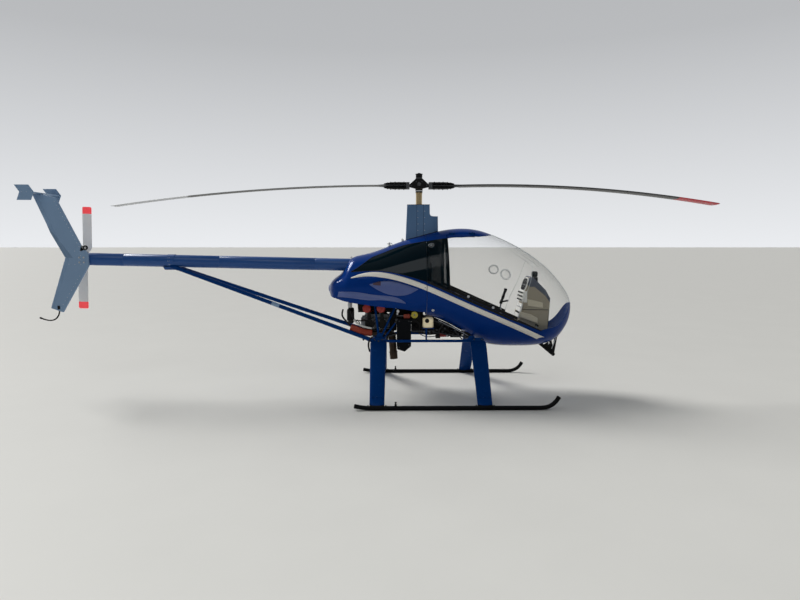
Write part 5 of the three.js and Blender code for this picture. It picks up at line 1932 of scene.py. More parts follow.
    def tail_rotor(self) -> None:
        """Makes the tail rotor: hub, pitch horns, and two pale blades with red tips."""
        x, _, z = self.rotor
        turned = (Matrix.Translation((x, 0, z)) @ Matrix.Rotation(self.lean, 4, "Y")
                  @ Matrix.Translation((-x, 0, -z)))
        hub = Sketch()
        hub.turn((x, 0.1115, z), (0, 1, 0), ((0.017, 0.0), (0.017, 0.118), (0.012, 0.1195), (0.0, 0.12)), 28)
        hub.block((x - 0.026, 0.178, z - 0.068), (x + 0.026, 0.222, z + 0.068))
        hub.bolt((x, 0.222, z), (0, 1, 0), (0.02, 0.004), (0.013, 0.0098), mark=1, ease=0.001, crown=0.0001)
        hub.turn((x, 0.128, z), (0, 1, 0), ((0.03, 0.0), (0.032, 0.003), (0.032, 0.011), (0.026, 0.015)), 28,
                 1)
        for sign in (-1, 1):
            hub.sweep([(x + sign * 0.03, 0.134, z + sign * 0.004), (x + sign * 0.05, 0.19, z + sign * 0.05)],
                      0.0035, 10, 1)
            for dz in (0.03, 0.054):
                hub.stud((x - 0.029, 0.2, z + sign * dz), (1, 0, 0), 0.006, 0.058, mark=1, crown=0.0005)
        hub.piece("tail_rotor_head", [CAST_ALLOY, ZINC], Body.TAIL_ROTOR, slot="cast_alloy",
                  replaces=["tail_rotor_hub"], bevel=0.0015, turned=turned)
        pitch = math.radians(4)
        for name, sense in (("upper", 1), ("lower", -1)):
            blade, rings = Sketch(), []
            stations = ((0.0685, 0.072, 0.02), (0.084, 0.082, 0.019), (0.112, 0.1, 0.014),
                        (0.467, 0.1, 0.012), (0.4672, 0.1, 0.012), (0.525, 0.1, 0.012), (0.537, 0.092, 0.008),
                        (0.54, 0.07, 0.003))
            for radius, chord, thick in stations:
                rings.append([(x - sense * ahead, 0.2 + above, z + sense * radius)
                              for ahead, above in aerofoil(chord, thick, pitch)])
            blade.loft(np.array(rings[:5]), 0)
            blade.loft(np.array(rings[4:]), 1)
            blade.piece(f"tail_blade_{name}_skin", [TAIL_WHITE, TAIL_RED], Body.TAIL_ROTOR,
                        slot="blade_white", replaces=[f"tail_blade_{name}"], turned=turned, sharp=30)


def aerofoil(chord: float, thick: float, pitch: float) -> list[tuple[float, float]]:
    """Draws a closed blade section round its pitch axis, a quarter of the chord behind the nose.

    Args:
        chord: The section's length.
        thick: Its greatest thickness.
        pitch: The angle that its nose is turned up by.

    Returns:
        The points: how far ahead of the axis, and how far above it.
    """
    half = ((0.0, 0.0), (0.008, 0.13), (0.04, 0.26), (0.14, 0.43), (0.33, 0.5), (0.6, 0.36), (0.85, 0.15),
            (1.0, 0.03))
    upper = [((0.25 - s) * chord, h * thick) for s, h in half]
    lower = [((0.25 - s) * chord, -h * thick) for s, h in half[:0:-1]]
    c, s = math.cos(pitch), math.sin(pitch)
    return [(ahead * c - above * s, ahead * s + above * c) for ahead, above in upper + lower]


@dataclass
class RotorHead(Assembly):
    """The mast, hub, grips and blades of the main rotor."""

    level: float = 2.12
    parked: float = math.radians(0.3)
    blades: tuple = (("front", 1, (0.088, 0.27), 0.425), ("rear", -1, (-0.008, 0.2), 0.77))

    def build(self) -> None:
        """Makes the turning parts of the main rotor."""
        self.turned = Matrix.Rotation(self.parked, 4, "Z")
        self.mast()
        self.hub()
        for name, sense, droop, painted in self.blades:
            self.grip(name, sense)
            self.blade(name, sense, droop, painted)

    def mast(self) -> None:
        """Makes the gold mast and its dark collar with one white band."""
        mast = Sketch()
        mast.turn((0, 0, 1.4775), (0, 0, 1), ((0.032, 0.0), (0.032, 0.56), (0.034, 0.5602), (0.034, 0.5722),
                                              (0.032, 0.5724), (0.032, 0.6135)), 36)
        mast.piece("mast_tube", GOLD_STEEL, Body.MAIN_ROTOR, slot="mast_bronze", replaces=["rotor_mast"],
                   turned=self.turned)
        collar = Sketch()
        collar.turn((0, 0, 2.05), (0, 0, 1), ((0.0322, 0.0), (0.036, 0.001), (0.036, 0.012), (0.0322, 0.013)),
                    36)
        collar.turn((0, 0, 2.0633), (0, 0, 1),
                    ((0.0322, 0.0), (0.0367, 0.0005), (0.0367, 0.009), (0.0322, 0.0095)), 36, 1)
        collar.turn((0, 0, 2.0731), (0, 0, 1),
                    ((0.0322, 0.0), (0.0375, 0.001), (0.0375, 0.0165), (0.0322, 0.0175)), 36)
        collar.piece("mast_collar", [SATIN_BLACK, BLADE_WHITE], Body.MAIN_ROTOR, bevel=0.0005,
                     turned=self.turned)

    def hub(self) -> None:
        """Makes the teetering hub: two diamond cheeks, the cross bolt, the castle nut and its pin."""
        cheek = ((-0.098, 2.108), (-0.034, 2.0925), (0.034, 2.0925), (0.098, 2.108), (0.098, 2.132),
                 (0.034, 2.19), (-0.034, 2.19), (-0.098, 2.132))
        hub = Sketch()
        for low in (-0.036, 0.024):
            hub.slab(cheek, low, low + 0.012)
        hub.block((-0.096, -0.0245, 2.1085), (0.096, 0.0245, 2.1315))
        hub.slab([(-0.032, 2.0935), (0.032, 2.0935), (0.032, 2.189), (-0.032, 2.189)], -0.0245, 0.0245)
        for sign in (-1, 1):
            for x, z, size in ((-0.03, 2.16, 0.009), (0.03, 2.16, 0.009), (-0.078, 2.12, 0.01),
                               (0.078, 2.12, 0.01)):
                hub.bolt((x, sign * 0.036, z), (0, sign, 0), (size, 0.002), (size * 0.75, 0.009), mark=1)
            hub.turn((0, sign * 0.036, 2.135), (0, sign, 0),
                     ((0.02, 0.0), (0.02, 0.003), (0.013, 0.004), (0.013, 0.014), (0.009, 0.016),
                      (0.0, 0.0165)), 24, 2)
        hub.turn((0, 0, 2.19), (0, 0, 1), ((0.037, 0.0), (0.037, 0.005), (0.032, 0.007), (0.03, 0.014)), 36,
                 2)
        hub.turn((0, 0, 2.203), (0, 0, 1), ((0.038, 0.0), (0.038, 0.026), (0.036, 0.028), (0.022, 0.028)), 6,
                 0)
        for turn in around(6):
            where = (0.0275 * math.cos(turn), 0.0275 * math.sin(turn))
            hub.block((where[0] - 0.006, where[1] - 0.006, 2.23), (where[0] + 0.006, where[1] + 0.006, 2.243))
        hub.turn((0, 0, 2.23), (0, 0, 1), ((0.0145, 0.0), (0.0145, 0.016), (0.011, 0.0195), (0.0, 0.02)), 20,
                 1)
        hub.sweep([(-0.041, 0, 2.237), (0.041, 0, 2.237)], 0.0022, 8, 1)
        hub.piece("rotor_head", [SATIN_BLACK, DARK_STEEL, GREY_ABS], Body.MAIN_ROTOR, slot="black_paint",
                  replaces=["rotor_hub"], bevel=0.0012, turned=self.turned)

    def grip(self, name: str, sense: int) -> None:
        """Makes one blade grip: two long straps bolted over the blade's root.

        Args:
            name: front or rear.
            sense: 1 forward, -1 rearward.
        """
        grip = Sketch()
        grip.block((min(sense * 0.0985, sense * 0.1345), -0.042, self.level - 0.0338),
                   (max(sense * 0.0985, sense * 0.1345), 0.042, self.level + 0.0338), 1)
        for side in (-1, 1):
            rings = []
            for r, half, thick in ((0.135, 0.042, 0.0164), (0.2, 0.042, 0.0164), (0.27, 0.041, 0.016),
                                   (0.325, 0.037, 0.011), (0.35, 0.03, 0.006), (0.3617, 0.018, 0.003)):
                inner = 0.0175
                low, high = sorted((side * inner, side * (inner + thick)))
                rings.append([(sense * r, y, self.level + z)
                              for y, z in ((-half, low), (half, low), (half, high), (-half, high))])
            grip.loft(np.array(rings), 0)
            for r, y in ((0.155, -0.026), (0.155, 0.026), (0.205, 0.0), (0.245, -0.022), (0.245, 0.022),
                         (0.29, 0.0), (0.325, 0.0)):
                base = (sense * r, y, self.level + side * (0.0175 + (0.0155 if r < 0.3 else 0.0095)))
                size = 0.0068 if y else 0.0078
                grip.bolt(base, (0, 0, side), (size, 0.0018), (size * 0.72, 0.007), mark=2, ease=0.0006,
                          crown=0.0004)
        grip.block((min(sense * 0.0985, sense * 0.15), 0.0425, self.level - 0.006),
                   (max(sense * 0.0985, sense * 0.15), 0.066, self.level + 0.006), 0)
        grip.stud((sense * 0.124, 0.058, self.level - 0.02), (0, 0, 1), 0.006, 0.04, mark=2, sides=12,
                  crown=0.0002)
        grip.piece(f"blade_straps_{name}", [SATIN_BLACK, GREY_ABS, DARK_STEEL], Body.MAIN_ROTOR,
                   slot="black_paint", replaces=[f"blade_grip_{name}"], bevel=0.001, turned=self.turned)

    def blade(self, name: str, sense: int, droop: tuple[float, float], painted: float) -> None:
        """Makes one drooping blade with its coloured tip.

        Args:
            name: front or rear.
            sense: 1 forward, -1 rearward.
            droop: How far its root's line rises by the tip, and how far the tip falls below that line.
            painted: The length of its coloured part.
        """
        tip = 3.0995 - painted
        radii = [0.1352, 0.25, 0.35, 0.4, *np.linspace(0.43, tip, 30), tip + 0.0002,
                 *np.linspace(tip + 0.05, 3.085, 5), 3.096, 3.0995]
        rings = []
        for r in radii:
            grow = min(max((r - 0.35) / 0.08, 0.0), 1.0)
            grow = grow * grow * (3 - 2 * grow)
            chord = 0.096 + (0.11 - 0.096) * min(max((r - 0.1352) / 0.215, 0), 1) + 0.07 * grow
            thick = 0.034 + (0.021 - 0.034) * grow
            end = max(r - 3.085, 0.0) / 0.0145
            chord, thick = chord * (1 - 0.12 * end), thick * (1 - 0.75 * end**2)
            pitch = math.radians(3.0) * grow
            share = max(r - 0.35, 0.0) / 2.75
            height = self.level + droop[0] * share - droop[1] * share**2
            rings.append([(sense * r, -sense * ahead, height + above)
                          for ahead, above in aerofoil(chord, thick, pitch)])
        blade, split = Sketch(), 34
        blade.loft(np.array(rings[: split + 1]), 0)
        blade.loft(np.array(rings[split:]), 1)
        colour = TIP_RED if sense > 0 else BLADE_WHITE
        blade.piece(f"main_blade_{name}_skin", [BLADE_GREY, colour], Body.MAIN_ROTOR, slot="blade_grey",
                    replaces=[f"main_blade_{name}"], turned=self.turned, sharp=30)


@dataclass
class MastFairing(Assembly):
    """The tall fairing in front of and round the mast."""

    middle: float = 0.03
    half_length: float = 0.17
    half_width: float = 0.046
    seams: tuple = (-0.024, 0.045)

    def shape(self, z: float) -> tuple[float, float]:
        """Gives the edges of the side view at a height.

        Args:
            z: The height.

        Returns:
            The rear and the front edge.
        """
        rear = -0.14 + (z - 1.5) / 0.427 * 0.019
        notch = np.interp(z, (1.809, 1.8095, 1.812, 1.82, 1.835, 1.927),
                          (0.194, 0.15, 0.128, 0.116, 0.11, 0.108))
        front = 0.2 - (z - 1.5) / 0.309 * 0.006 if z <= 1.809 else float(notch)
        return rear, front

    def build(self) -> None:
        """Makes the fairing's skin, seams and screws."""
        turns = around(72)
        x = self.middle + self.half_length * np.cos(turns)
        y = self.half_width * bulged(np.sin(turns), 0.8)
        rings = []
        for z in (1.5, 1.56, 1.62, 1.68, 1.74, 1.79, 1.809, 1.8095, 1.812, 1.82, 1.835, 1.88, 1.927):
            rear, front = self.shape(z)
            rings.append(np.stack([np.clip(x, rear, front), y, np.full(72, z)], 1))
        skin = Sketch()
        skin.loft(np.array(rings), caps=False)
        skin.piece("mast_fairing_skin", FAIRING_PAINT, slot="blue_paint", replaces=["mast_fairing"],
                   wall=0.003, bevel=0.0008)
        seams, runs, ways = [], [], []
        for sign in (-1, 1):
            for at in self.seams:
                turn = math.acos((at - self.middle) / self.half_length)
                y_at = sign * self.half_width * math.sin(turn) ** 0.8
                line = np.array([(at, y_at, z) for z in np.linspace(1.6, 1.9265, 40)])
                seams.append(line)
                runs.append(line + (0.012, 0, 0))
                ways.append(np.tile((0.0, float(sign), 0.0), (40, 1)))
        self.shop.tubes.grow("fairing_seams", seams, RUBBER, radius=0.0012, sides=6)
        self.shop.heads.grow("fairing_screws", runs, ZINC, normals=ways, spacing=0.058, length=0.007,
                             width=0.007, height=0.003)
        rim = self.shape(1.927)
        edge = np.stack([np.clip(x, *rim), y, np.full(72, 1.927)], 1)
        self.shop.tubes.grow("fairing_rim", [np.concatenate([edge, edge[:1]])], RUBBER, radius=0.002, sides=8)
        base = []
        for sign in (-1, 1):
            reach = np.linspace(-0.134, 0.19, 40)
            depth = [self.half_width * math.sin(math.acos(min(max((v - self.middle) / self.half_length, -1),
                                                              1))) ** 0.8 for v in reach]
            top = self.hull.roof(np.stack([reach, depth], 1))
            points, _ = self.hull.run(top, sign, 0.001)
            base.append(points)
        self.shop.tubes.grow("fairing_foot_seal", base, RUBBER, radius=0.004, sides=8)


@dataclass
class EngineBay(Assembly):
    """The welded frame and everything that hangs in it."""

    half: float = 0.27
    low: float = 0.556
    tube: float = 0.014

    def build(self) -> None:
        """Makes the frame and the machinery."""
        self.frame_tubes()
        self.gussets()
        self.engine()
        self.intake()
        self.cooling()
        self.exhaust()
        self.tanks()
        self.drive()
        self.controls()
        self.boxes()
        self.hoses()
        self.wires()
        self.baffles()

    def frame_tubes(self) -> None:
        """Makes the welded tubes."""
        h, z, b = self.half, self.low, boom_height(-0.5)
        runs, slanted = [], []
        for sign in (-1, 1):
            side = sign * h
            runs += [((-0.462, side, z), (0.61, side, z)),
                     ((-0.5, sign * 0.118, b - 0.01), (0.04, sign * 0.118, 1.326))]
            slanted += [((-0.405, side, z), (-0.5, sign * 0.118, b - 0.01)),
                        ((-0.405, side, z), (-0.04, sign * 0.118, 1.326))]
        for x, half, height in ((-0.412, h, z), (0.528, h, z), (-0.49, 0.118, b - 0.09),
                                (0.036, 0.118, 1.326)):
            runs.append(((x, -half, height), (x, half, height)))
        self.shop.tubes.grow("frame_tubes", runs, BLUE_PAINT, slot="blue_paint", replaces=["frame"],
                             radius=self.tube, sides=20)
        self.shop.tubes.grow("frame_diagonals", slanted, BLUE_PAINT, radius=self.tube * 0.8, sides=20)

    def gussets(self) -> None:
        """Makes the plates, trays, clevises and small struts of the frame."""
        plates = Sketch()
        plates.slab([(-0.118, 1.23), (0.118, 1.23), (0.118, 1.395), (-0.118, 1.395)], -0.45, -0.438, "yz")
        plates.slab([(-0.11, -0.126), (0.058, -0.126), (0.058, 0.126), (-0.11, 0.126)], 1.3375, 1.3455, "xy")
        plates.slab([(0.027, -0.261), (0.147, -0.261), (0.147, -0.135), (0.027, -0.135)], 0.6785, 0.6855,
                    "xy")
        for sign in (-1, 1):
            y = sign * self.half
            plates.slab([(-0.45, 0.556), (-0.352, 0.556), (-0.384, 0.64), (-0.424, 0.64)],
                        *sorted((y - 0.003, y + 0.003)))
            plates.slab([(0.47, 0.556), (0.58, 0.556), (0.545, 0.608), (0.5, 0.608)],
                        *sorted((y - 0.003, y + 0.003)))
        plates.piece("frame_plates", BLUE_PAINT, bevel=0.001)
        struts = []
        for sign in (-1, 1):
            y = sign * 0.262
            struts += [np.array(((-0.372, y - sign * 0.012, 0.566), (-0.236, sign * 0.236, 0.742))),
                       np.array(((0.067, y, 0.556), (0.067, sign * 0.25, 0.68)))]
        self.shop.tubes.grow("bay_struts", struts, BLUE_PAINT, radius=0.009, sides=16)
        forks = Sketch()
        for sign in (-1, 1):
            for mark, (x, y, z, way) in enumerate(((-0.218, 0.229, 0.836, (0.52, -0.05, 0.85)),
                                                   (-0.232, 0.24, 0.748, (0.6, 0, 0.8)))):
                here = np.array((x, sign * y, z))
                forks.turn(here - np.array(way) * 0.02, way,
                           ((0.013, 0.0), (0.013, 0.018), (0.008, 0.022), (0.008, 0.04)), 12, mark)
                forks.turn(here + (0, -0.02, 0.018), (0, 1, 0),
                           ((0.0145, 0.0), (0.0145, 0.012), (0.009, 0.013), (0.009, 0.027), (0.0145, 0.028),
                            (0.0145, 0.04)), 20, mark)
            forks.turn((-0.412, sign * 0.3, 0.556), (0, sign, 0),
                       ((0.012, -0.016), (0.012, 0.0), (0.008, 0.001), (0.008, 0.008), (0.0, 0.009)), 6, 1)
        forks.piece("strut_forks", [ZINC, DARK_STEEL], bevel=0.0008)

    def engine(self) -> None:
        """Makes the flat four-cylinder engine."""
        case = Sketch()
        case.slab([(-0.575, 0.66), (-0.545, 0.632), (-0.33, 0.632), (-0.3, 0.66), (-0.3, 0.775),
                   (-0.335, 0.808), (-0.54, 0.808), (-0.575, 0.775)], -0.085, 0.085)
        case.turn((-0.3, 0, 0.715), (1, 0, 0), ((0.078, 0.0), (0.078, 0.014), (0.062, 0.018), (0.062, 0.03),
                                                (0.03, 0.034), (0.0, 0.035)), 40)
        case.turn((-0.575, 0, 0.715), (-1, 0, 0),
                  ((0.07, 0.0), (0.07, 0.012), (0.05, 0.018), (0.05, 0.026), (0.0, 0.027)), 40)
        for sign in (-1, 1):
            for x in (-0.505, -0.372):
                case.turn((x, sign * 0.084, 0.715), (0, sign, 0), ((0.04, 0.0), (0.04, 0.06)), 28)
                case.slab([(x - 0.052, 0.664), (x + 0.052, 0.664), (x + 0.052, 0.768), (x - 0.052, 0.768)],
                          *sorted((sign * 0.142, sign * 0.166)))
        case.piece("engine_case", CAST_ALLOY, slot="cast_alloy", replaces=["engine_block"], bevel=0.004,
                   segments=3)
        fins = [np.array(((x, sign * 0.088, 0.715), (x, sign * 0.14, 0.715))) for sign in (-1, 1)
                for x in (-0.505, -0.372)]
        self.shop.plates.grow("cylinder_fins", fins, CAST_ALLOY, spacing=0.0075, length=0.1, width=0.1,
                              height=0.0025)
        covers = Sketch()
        for sign in (-1, 1):
            for x in (-0.505, -0.372):
                rim = [(x - 0.046, 0.672), (x + 0.046, 0.672), (x + 0.046, 0.76), (x - 0.046, 0.76)]
                covers.slab(rim, *sorted((sign * 0.1665, sign * 0.1865)))
                if sign < 0:
                    covers.block((x - 0.022, -0.18, 0.758), (x + 0.01, -0.136, 0.8355))
                for dx, z in ((-0.036, 0.682), (0.036, 0.682), (-0.036, 0.75), (0.036, 0.75)):
                    covers.stud((x + dx, sign * 0.1865, z), (0, sign, 0), 0.005, 0.004, mark=1, crown=0.0005)
                covers.turn((x, sign * 0.15, 0.766), (0, sign * 0.5, 1),
                            ((0.008, 0.0), (0.008, 0.02), (0.006, 0.026), (0.006, 0.044)), 14)
        covers.piece("valve_covers", [SATIN_BLACK, ZINC], bevel=0.004, segments=3)
        mounts = Sketch()
        for sign in (-1, 1):
            for x in (-0.56, -0.32):
                mounts.sweep([(x, sign * 0.085, 0.65), (x - 0.004, sign * 0.18, 0.6),
                              (x - 0.006, sign * 0.258, 0.566)], 0.009, 12)
                mounts.stud((x, sign * 0.095, 0.628), (0, 0, 1), 0.02, 0.026, mark=1, sides=20)
        mounts.piece("engine_mounts", [SATIN_BLACK, RUBBER], bevel=0.001)
        sump = Sketch()
        sump.slab([(-0.6, 0.606), (-0.585, 0.588), (-0.3, 0.584), (-0.272, 0.6), (-0.27, 0.63),
                   (-0.598, 0.63)], -0.1, 0.1)
        for x in np.linspace(-0.57, -0.31, 8):
            sump.block((x - 0.003, -0.106, 0.592), (x + 0.003, 0.106, 0.626))
        sump.stud((-0.52, -0.06, 0.59), (0, 0, -1), 0.011, 0.008)
        sump.piece("engine_sump", SATIN_BLACK, bevel=0.0015)

    def intake(self) -> None:
        """Makes the carburettors and the two red filters, with their pleats and clips."""
        carbs = Sketch()
        for x in (-0.533, -0.39):
            carbs.turn((x, -0.128, 0.878), (0, 1, 0), ((0.03, 0.0), (0.03, 0.02), (0.022, 0.024),
                                                       (0.022, 0.07), (0.028, 0.074), (0.028, 0.09)), 28)
            carbs.turn((x, -0.075, 0.816), (0, 0, 1), ((0.024, 0.0), (0.024, 0.05), (0.017, 0.06),
                                                       (0.017, 0.074), (0.01, 0.078), (0.0, 0.079)), 24)
            carbs.block((x - 0.02, -0.092, 0.806), (x + 0.02, -0.058, 0.866))
            carbs.sweep(spline(((x, -0.04, 0.878), (x, 0.0, 0.862), (x, 0.02, 0.81), (x, 0.02, 0.79)), 14),
                        0.018, 16)
        carbs.piece("carburettors", CAST_ALLOY, bevel=0.001)
        for name, x in (("rear", -0.533), ("front", -0.39)):
            pleat, rings = Sketch(), []
            turns = around(96)
            for y, r, deep in ((-0.131, 0.041, 0.0), (-0.141, 0.0415, 0.0), (-0.143, 0.0395, 0.0012),
                               (-0.222, 0.0385, 0.0012), (-0.224, 0.041, 0.0), (-0.233, 0.04, 0.0),
                               (-0.2355, 0.034, 0.0), (-0.236, 0.0001, 0.0)):
                radius = r - deep + deep * np.cos(turns * 24)
                rings.append(np.stack([x + radius * np.cos(turns), np.full(96, y),
                                       0.8783 + radius * np.sin(turns)], 1))
            pleat.loft(np.array(rings[:3]), 1)
            pleat.loft(np.array(rings[2:5]), 0)
            pleat.loft(np.array(rings[4:]), 1)
            pleat.piece(f"air_filter_{name}_pleats", [FILTER_GAUZE, RED_RUBBER], slot="filter_red",
                        replaces=[f"air_filter_{name}"], sharp=50)
        clips = [np.array([(x + 0.0325 * math.cos(a), -0.118, 0.878 + 0.0325 * math.sin(a))
                           for a in np.linspace(0, math.tau, 30)]) for x in (-0.533, -0.39)]
        self.shop.tubes.grow("filter_clips", clips, ZINC, radius=0.003, sides=8)

    def cooling(self) -> None:
        """Makes the radiator with its fins, side tanks and bolts."""
        core = Sketch()
        outline = ((-0.227, 0.775), (-0.086, 0.775), (-0.086, 0.5), (-0.15, 0.446), (-0.227, 0.47))
        for low, high in ((-0.262, -0.236), (0.236, 0.262)):
            core.slab(outline, low, high)
        core.slab([(-0.215, 0.762), (-0.098, 0.762), (-0.098, 0.51), (-0.15, 0.462), (-0.215, 0.484)],
                  -0.2365, 0.2365)
        core.slab([(-0.24, 0.752), (-0.073, 0.752), (-0.073, 0.776), (-0.24, 0.776)], -0.255, 0.255)
        core.piece("radiator_core", RADIATOR_BLACK, slot="radiator_black", replaces=["radiator"], bevel=0.003)
        runs = [np.array(((-0.2165, -0.232, 0.495 + 0.03 * k), (-0.2165, 0.232, 0.495 + 0.03 * k)))
                for k in range(9)] + [np.array(((-0.0965, -0.232, 0.52 + 0.03 * k),
                                                (-0.0965, 0.232, 0.52 + 0.03 * k))) for k in range(8)]
        self.shop.plates.grow("radiator_fins", runs, RADIATOR_BLACK, spacing=0.009, length=0.026, width=0.006,
                              height=0.0012)
        bosses = Sketch()
        for x, z in ((-0.205, 0.755), (-0.108, 0.755), (-0.205, 0.49), (-0.108, 0.515)):
            bosses.bolt((x, -0.262, z), (0, -1, 0), (0.007, 0.002), (0.0045, 0.006))
        bosses.piece("radiator_bolts", DARK_STEEL)

    def exhaust(self) -> None:
        """Makes the tail pipe and the two pipes that feed it."""
        pipe = Sketch()
        pipe.turn((-0.281, -0.15, 0.6215), (0.0845, 0, -1),
                  ((0.034, 0.0), (0.04, 0.012), (0.04, 0.07), (0.037, 0.074), (0.037, 0.19), (0.04, 0.196),
                   (0.04, 0.267), (0.0365, 0.2675), (0.0365, 0.16), (0.0, 0.159)), 40)
        pipe.piece("exhaust_pipe", HOT_STEEL, slot="exhaust_steel", replaces=["exhaust"], sharp=35)
        runs = [spline(((x, -0.15, 0.664), (x, -0.158, 0.636), (x + (x + 0.281) * -0.5, -0.156, 0.622),
                        (-0.281, -0.15, 0.612)), 24) for x in (-0.505, -0.372)]
        self.shop.tubes.grow("exhaust_headers", runs, HOT_STEEL, radius=0.017, sides=18)
        clamp = [np.array([(-0.281 + (0.6215 - h) * 0.0845, -0.15, h) for h in (z, z - 0.012)])
                 for z in (0.548, 0.43)]
        self.shop.tubes.grow("exhaust_clamps", clamp, HOT_STEEL, radius=0.0425, sides=32)

    def tanks(self) -> None:
        """Makes the cream oil tank with its cap and a black boss on its side."""
        tank, rings = Sketch(), []
        turns = around(48)
        middle_x, middle_y, half_x, half_y = 0.087, -0.195, 0.0545, 0.0565
        for z, fit in ((0.6866, 0.9), (0.69, 0.97), (0.696, 1.0), (0.734, 1.0), (0.737, 0.975),
                       (0.743, 0.975), (0.746, 1.0), (0.764, 1.0), (0.778, 0.95), (0.786, 0.82),
                       (0.789, 0.55), (0.7895, 0.28)):
            x = middle_x + half_x * fit * bulged(np.cos(turns), 0.6)
            y = middle_y + half_y * fit * bulged(np.sin(turns), 0.6)
            rings.append(np.stack([x, y, np.full(48, z)], 1))
        tank.loft(np.array(rings))
        tank.turn((middle_x - 0.036, middle_y - 0.014, 0.78), (0, 0, 1),
                  ((0.016, 0.0), (0.016, 0.01), (0.013, 0.011), (0.013, 0.0238), (0.0, 0.024)), 28, 1)
        tank.turn((middle_x - 0.012, middle_y - 0.049, 0.757), (0, -1, 0),
                  ((0.022, 0.0), (0.022, 0.0078), (0.018, 0.0082), (0.0, 0.0083)), 28, 1)
        # The tank's cream finish glows: painted light that brightens it.
        tank.piece("oil_tank_shell", [CREAM_TANK, SATIN_BLACK], slot="cream_plastic", replaces=["oil_tank"],
                   sharp=50)

    def drive(self) -> None:
        """Makes the main gearbox, the pulleys and the belt."""
        box = Sketch()
        turns = around(40)
        rings = []
        for z, fit in ((1.3465, 0.88), (1.352, 0.96), (1.362, 1.0), (1.404, 1.0), (1.407, 1.03),
                       (1.415, 1.03), (1.418, 0.98), (1.432, 0.8), (1.44, 0.62)):
            rings.append(np.stack([-0.02 + 0.07 * fit * bulged(np.cos(turns), 0.7),
                                   0.088 * fit * bulged(np.sin(turns), 0.7), np.full(40, z)], 1))
        box.loft(np.array(rings))
        box.turn((0, 0, 1.438), (0, 0, 1),
                 ((0.044, 0.0), (0.044, 0.006), (0.039, 0.01), (0.036, 0.034), (0.034, 0.0373)), 36)
        box.piece("main_gearbox_case", CAST_ALLOY, slot="cast_alloy", replaces=["main_gearbox"], bevel=0.001)
        wheels = Sketch()
        wheels.turn((-0.05, -0.215, 0.812), (0, 1, 0),
                    ((0.01, 0.0), (0.034, 0.001), (0.034, 0.004), (0.028, 0.006), (0.028, 0.022),
                     (0.034, 0.024), (0.034, 0.027), (0.01, 0.028)), 36)
        wheels.turn((-0.05, -0.222, 0.812), (0, 1, 0), ((0.008, 0.0), (0.008, 0.06)), 12, 1)
        wheels.turn((-0.268, 0, 0.715), (1, 0, 0),
                    ((0.02, 0.0), (0.07, 0.002), (0.07, 0.008), (0.062, 0.01), (0.062, 0.03), (0.07, 0.032),
                     (0.07, 0.036), (0.02, 0.038)), 40, 1)
        wheels.sweep([(-0.23, 0, 0.715), (-0.06, 0, 0.8), (-0.02, 0, 1.348)], 0.016, 18, 1)
        wheels.piece("drive_wheels", [YELLOW_METAL, CAST_ALLOY], bevel=0.0008)
        belt = [np.array([(-0.05 + dx, -0.201 + dy, z)
                          for dx, dy, z in ((0.028, 0, 0.812), (0.02, 0, 0.832), (0.0, 0, 0.841),
                                            (-0.02, 0, 0.833), (-0.11, 0, 0.79), (-0.135, 0, 0.77),
                                            (-0.125, 0, 0.75), (-0.1, 0, 0.752), (0.012, 0, 0.789),
                                            (0.026, 0, 0.8), (0.028, 0, 0.812))])]
        self.shop.tubes.grow("drive_belt", belt, RUBBER, radius=0.005, sides=8)

    def controls(self) -> None:
        """Makes the control rods and bell cranks under the cabin."""
        rods = [((0.15, -0.205, 0.752), (0.23, -0.205, 0.722), (0.312, -0.205, 0.69)),
                ((0.357, -0.215, 0.65), (0.39, -0.225, 0.612), (0.43, -0.232, 0.567)),
                ((-0.345, -0.225, 0.59), (-0.12, -0.232, 0.648), (0.14, -0.236, 0.655)),
                ((0.14, -0.236, 0.64), (0.33, -0.22, 0.61), (0.52, -0.2, 0.585)),
                ((0.08, -0.12, 0.6), (0.33, -0.12, 0.612), (0.56, -0.12, 0.56)),
                ((0.08, 0.12, 0.6), (0.33, 0.12, 0.612), (0.56, 0.12, 0.56)),
                ((0.16, -0.2, 0.59), (0.23, -0.2, 0.7), (0.25, -0.2, 0.73)),
                ((0.3, -0.15, 0.585), (0.3, -0.06, 0.64), (0.3, 0.06, 0.64))]
        self.shop.tubes.grow("control_rods", [resample(np.array(r), 16) for r in rods], DARK_STEEL,
                             radius=0.0055, sides=12)
        link = np.array(((0.19, -0.21, 0.756), (0.345, -0.215, 0.68), (0.495, -0.21, 0.6)))
        self.shop.tubes.grow("pitch_link", [resample(link, 20)], TURNED_ALLOY, radius=0.004, sides=12)
        cranks = Sketch()
        for x, y, z, lean in ((0.14, -0.225, 0.646, 0.4), (0.305, -0.205, 0.606, -0.3),
                              (0.235, -0.195, 0.64, 0.9), (0.36, -0.14, 0.6, 0.2),
                              (0.43, -0.17, 0.592, -0.6)):
            arm = [(x - 0.04 * math.cos(lean), z - 0.04 * math.sin(lean)), (x + 0.008, z - 0.012),
                   (x + 0.04 * math.cos(lean), z + 0.04 * math.sin(lean)), (x - 0.006, z + 0.016)]
            cranks.slab(arm, y - 0.003, y + 0.003)
            for px, pz in (arm[0], arm[2], (x, z)):
                cranks.turn((px, y - 0.01, pz), (0, 1, 0), ((0.009, 0.0), (0.009, 0.02)), 12, 1)
        cranks.block((0.165, -0.214, 0.574), (0.212, -0.178, 0.612), 2)
        cranks.block((0.206, -0.216, 0.59), (0.268, -0.186, 0.622), 3)
        cranks.block((0.27, -0.205, 0.592), (0.292, -0.188, 0.618), 4)
        cranks.block((-0.16, -0.236, 0.782), (-0.098, -0.19, 0.822), 5)
        cranks.piece("bell_cranks", [SATIN_BLACK, DARK_STEEL, SATIN_BLACK, FILTER_GAUZE, BLADE_WHITE,
                                     ORANGE_HOSE], bevel=0.0015)

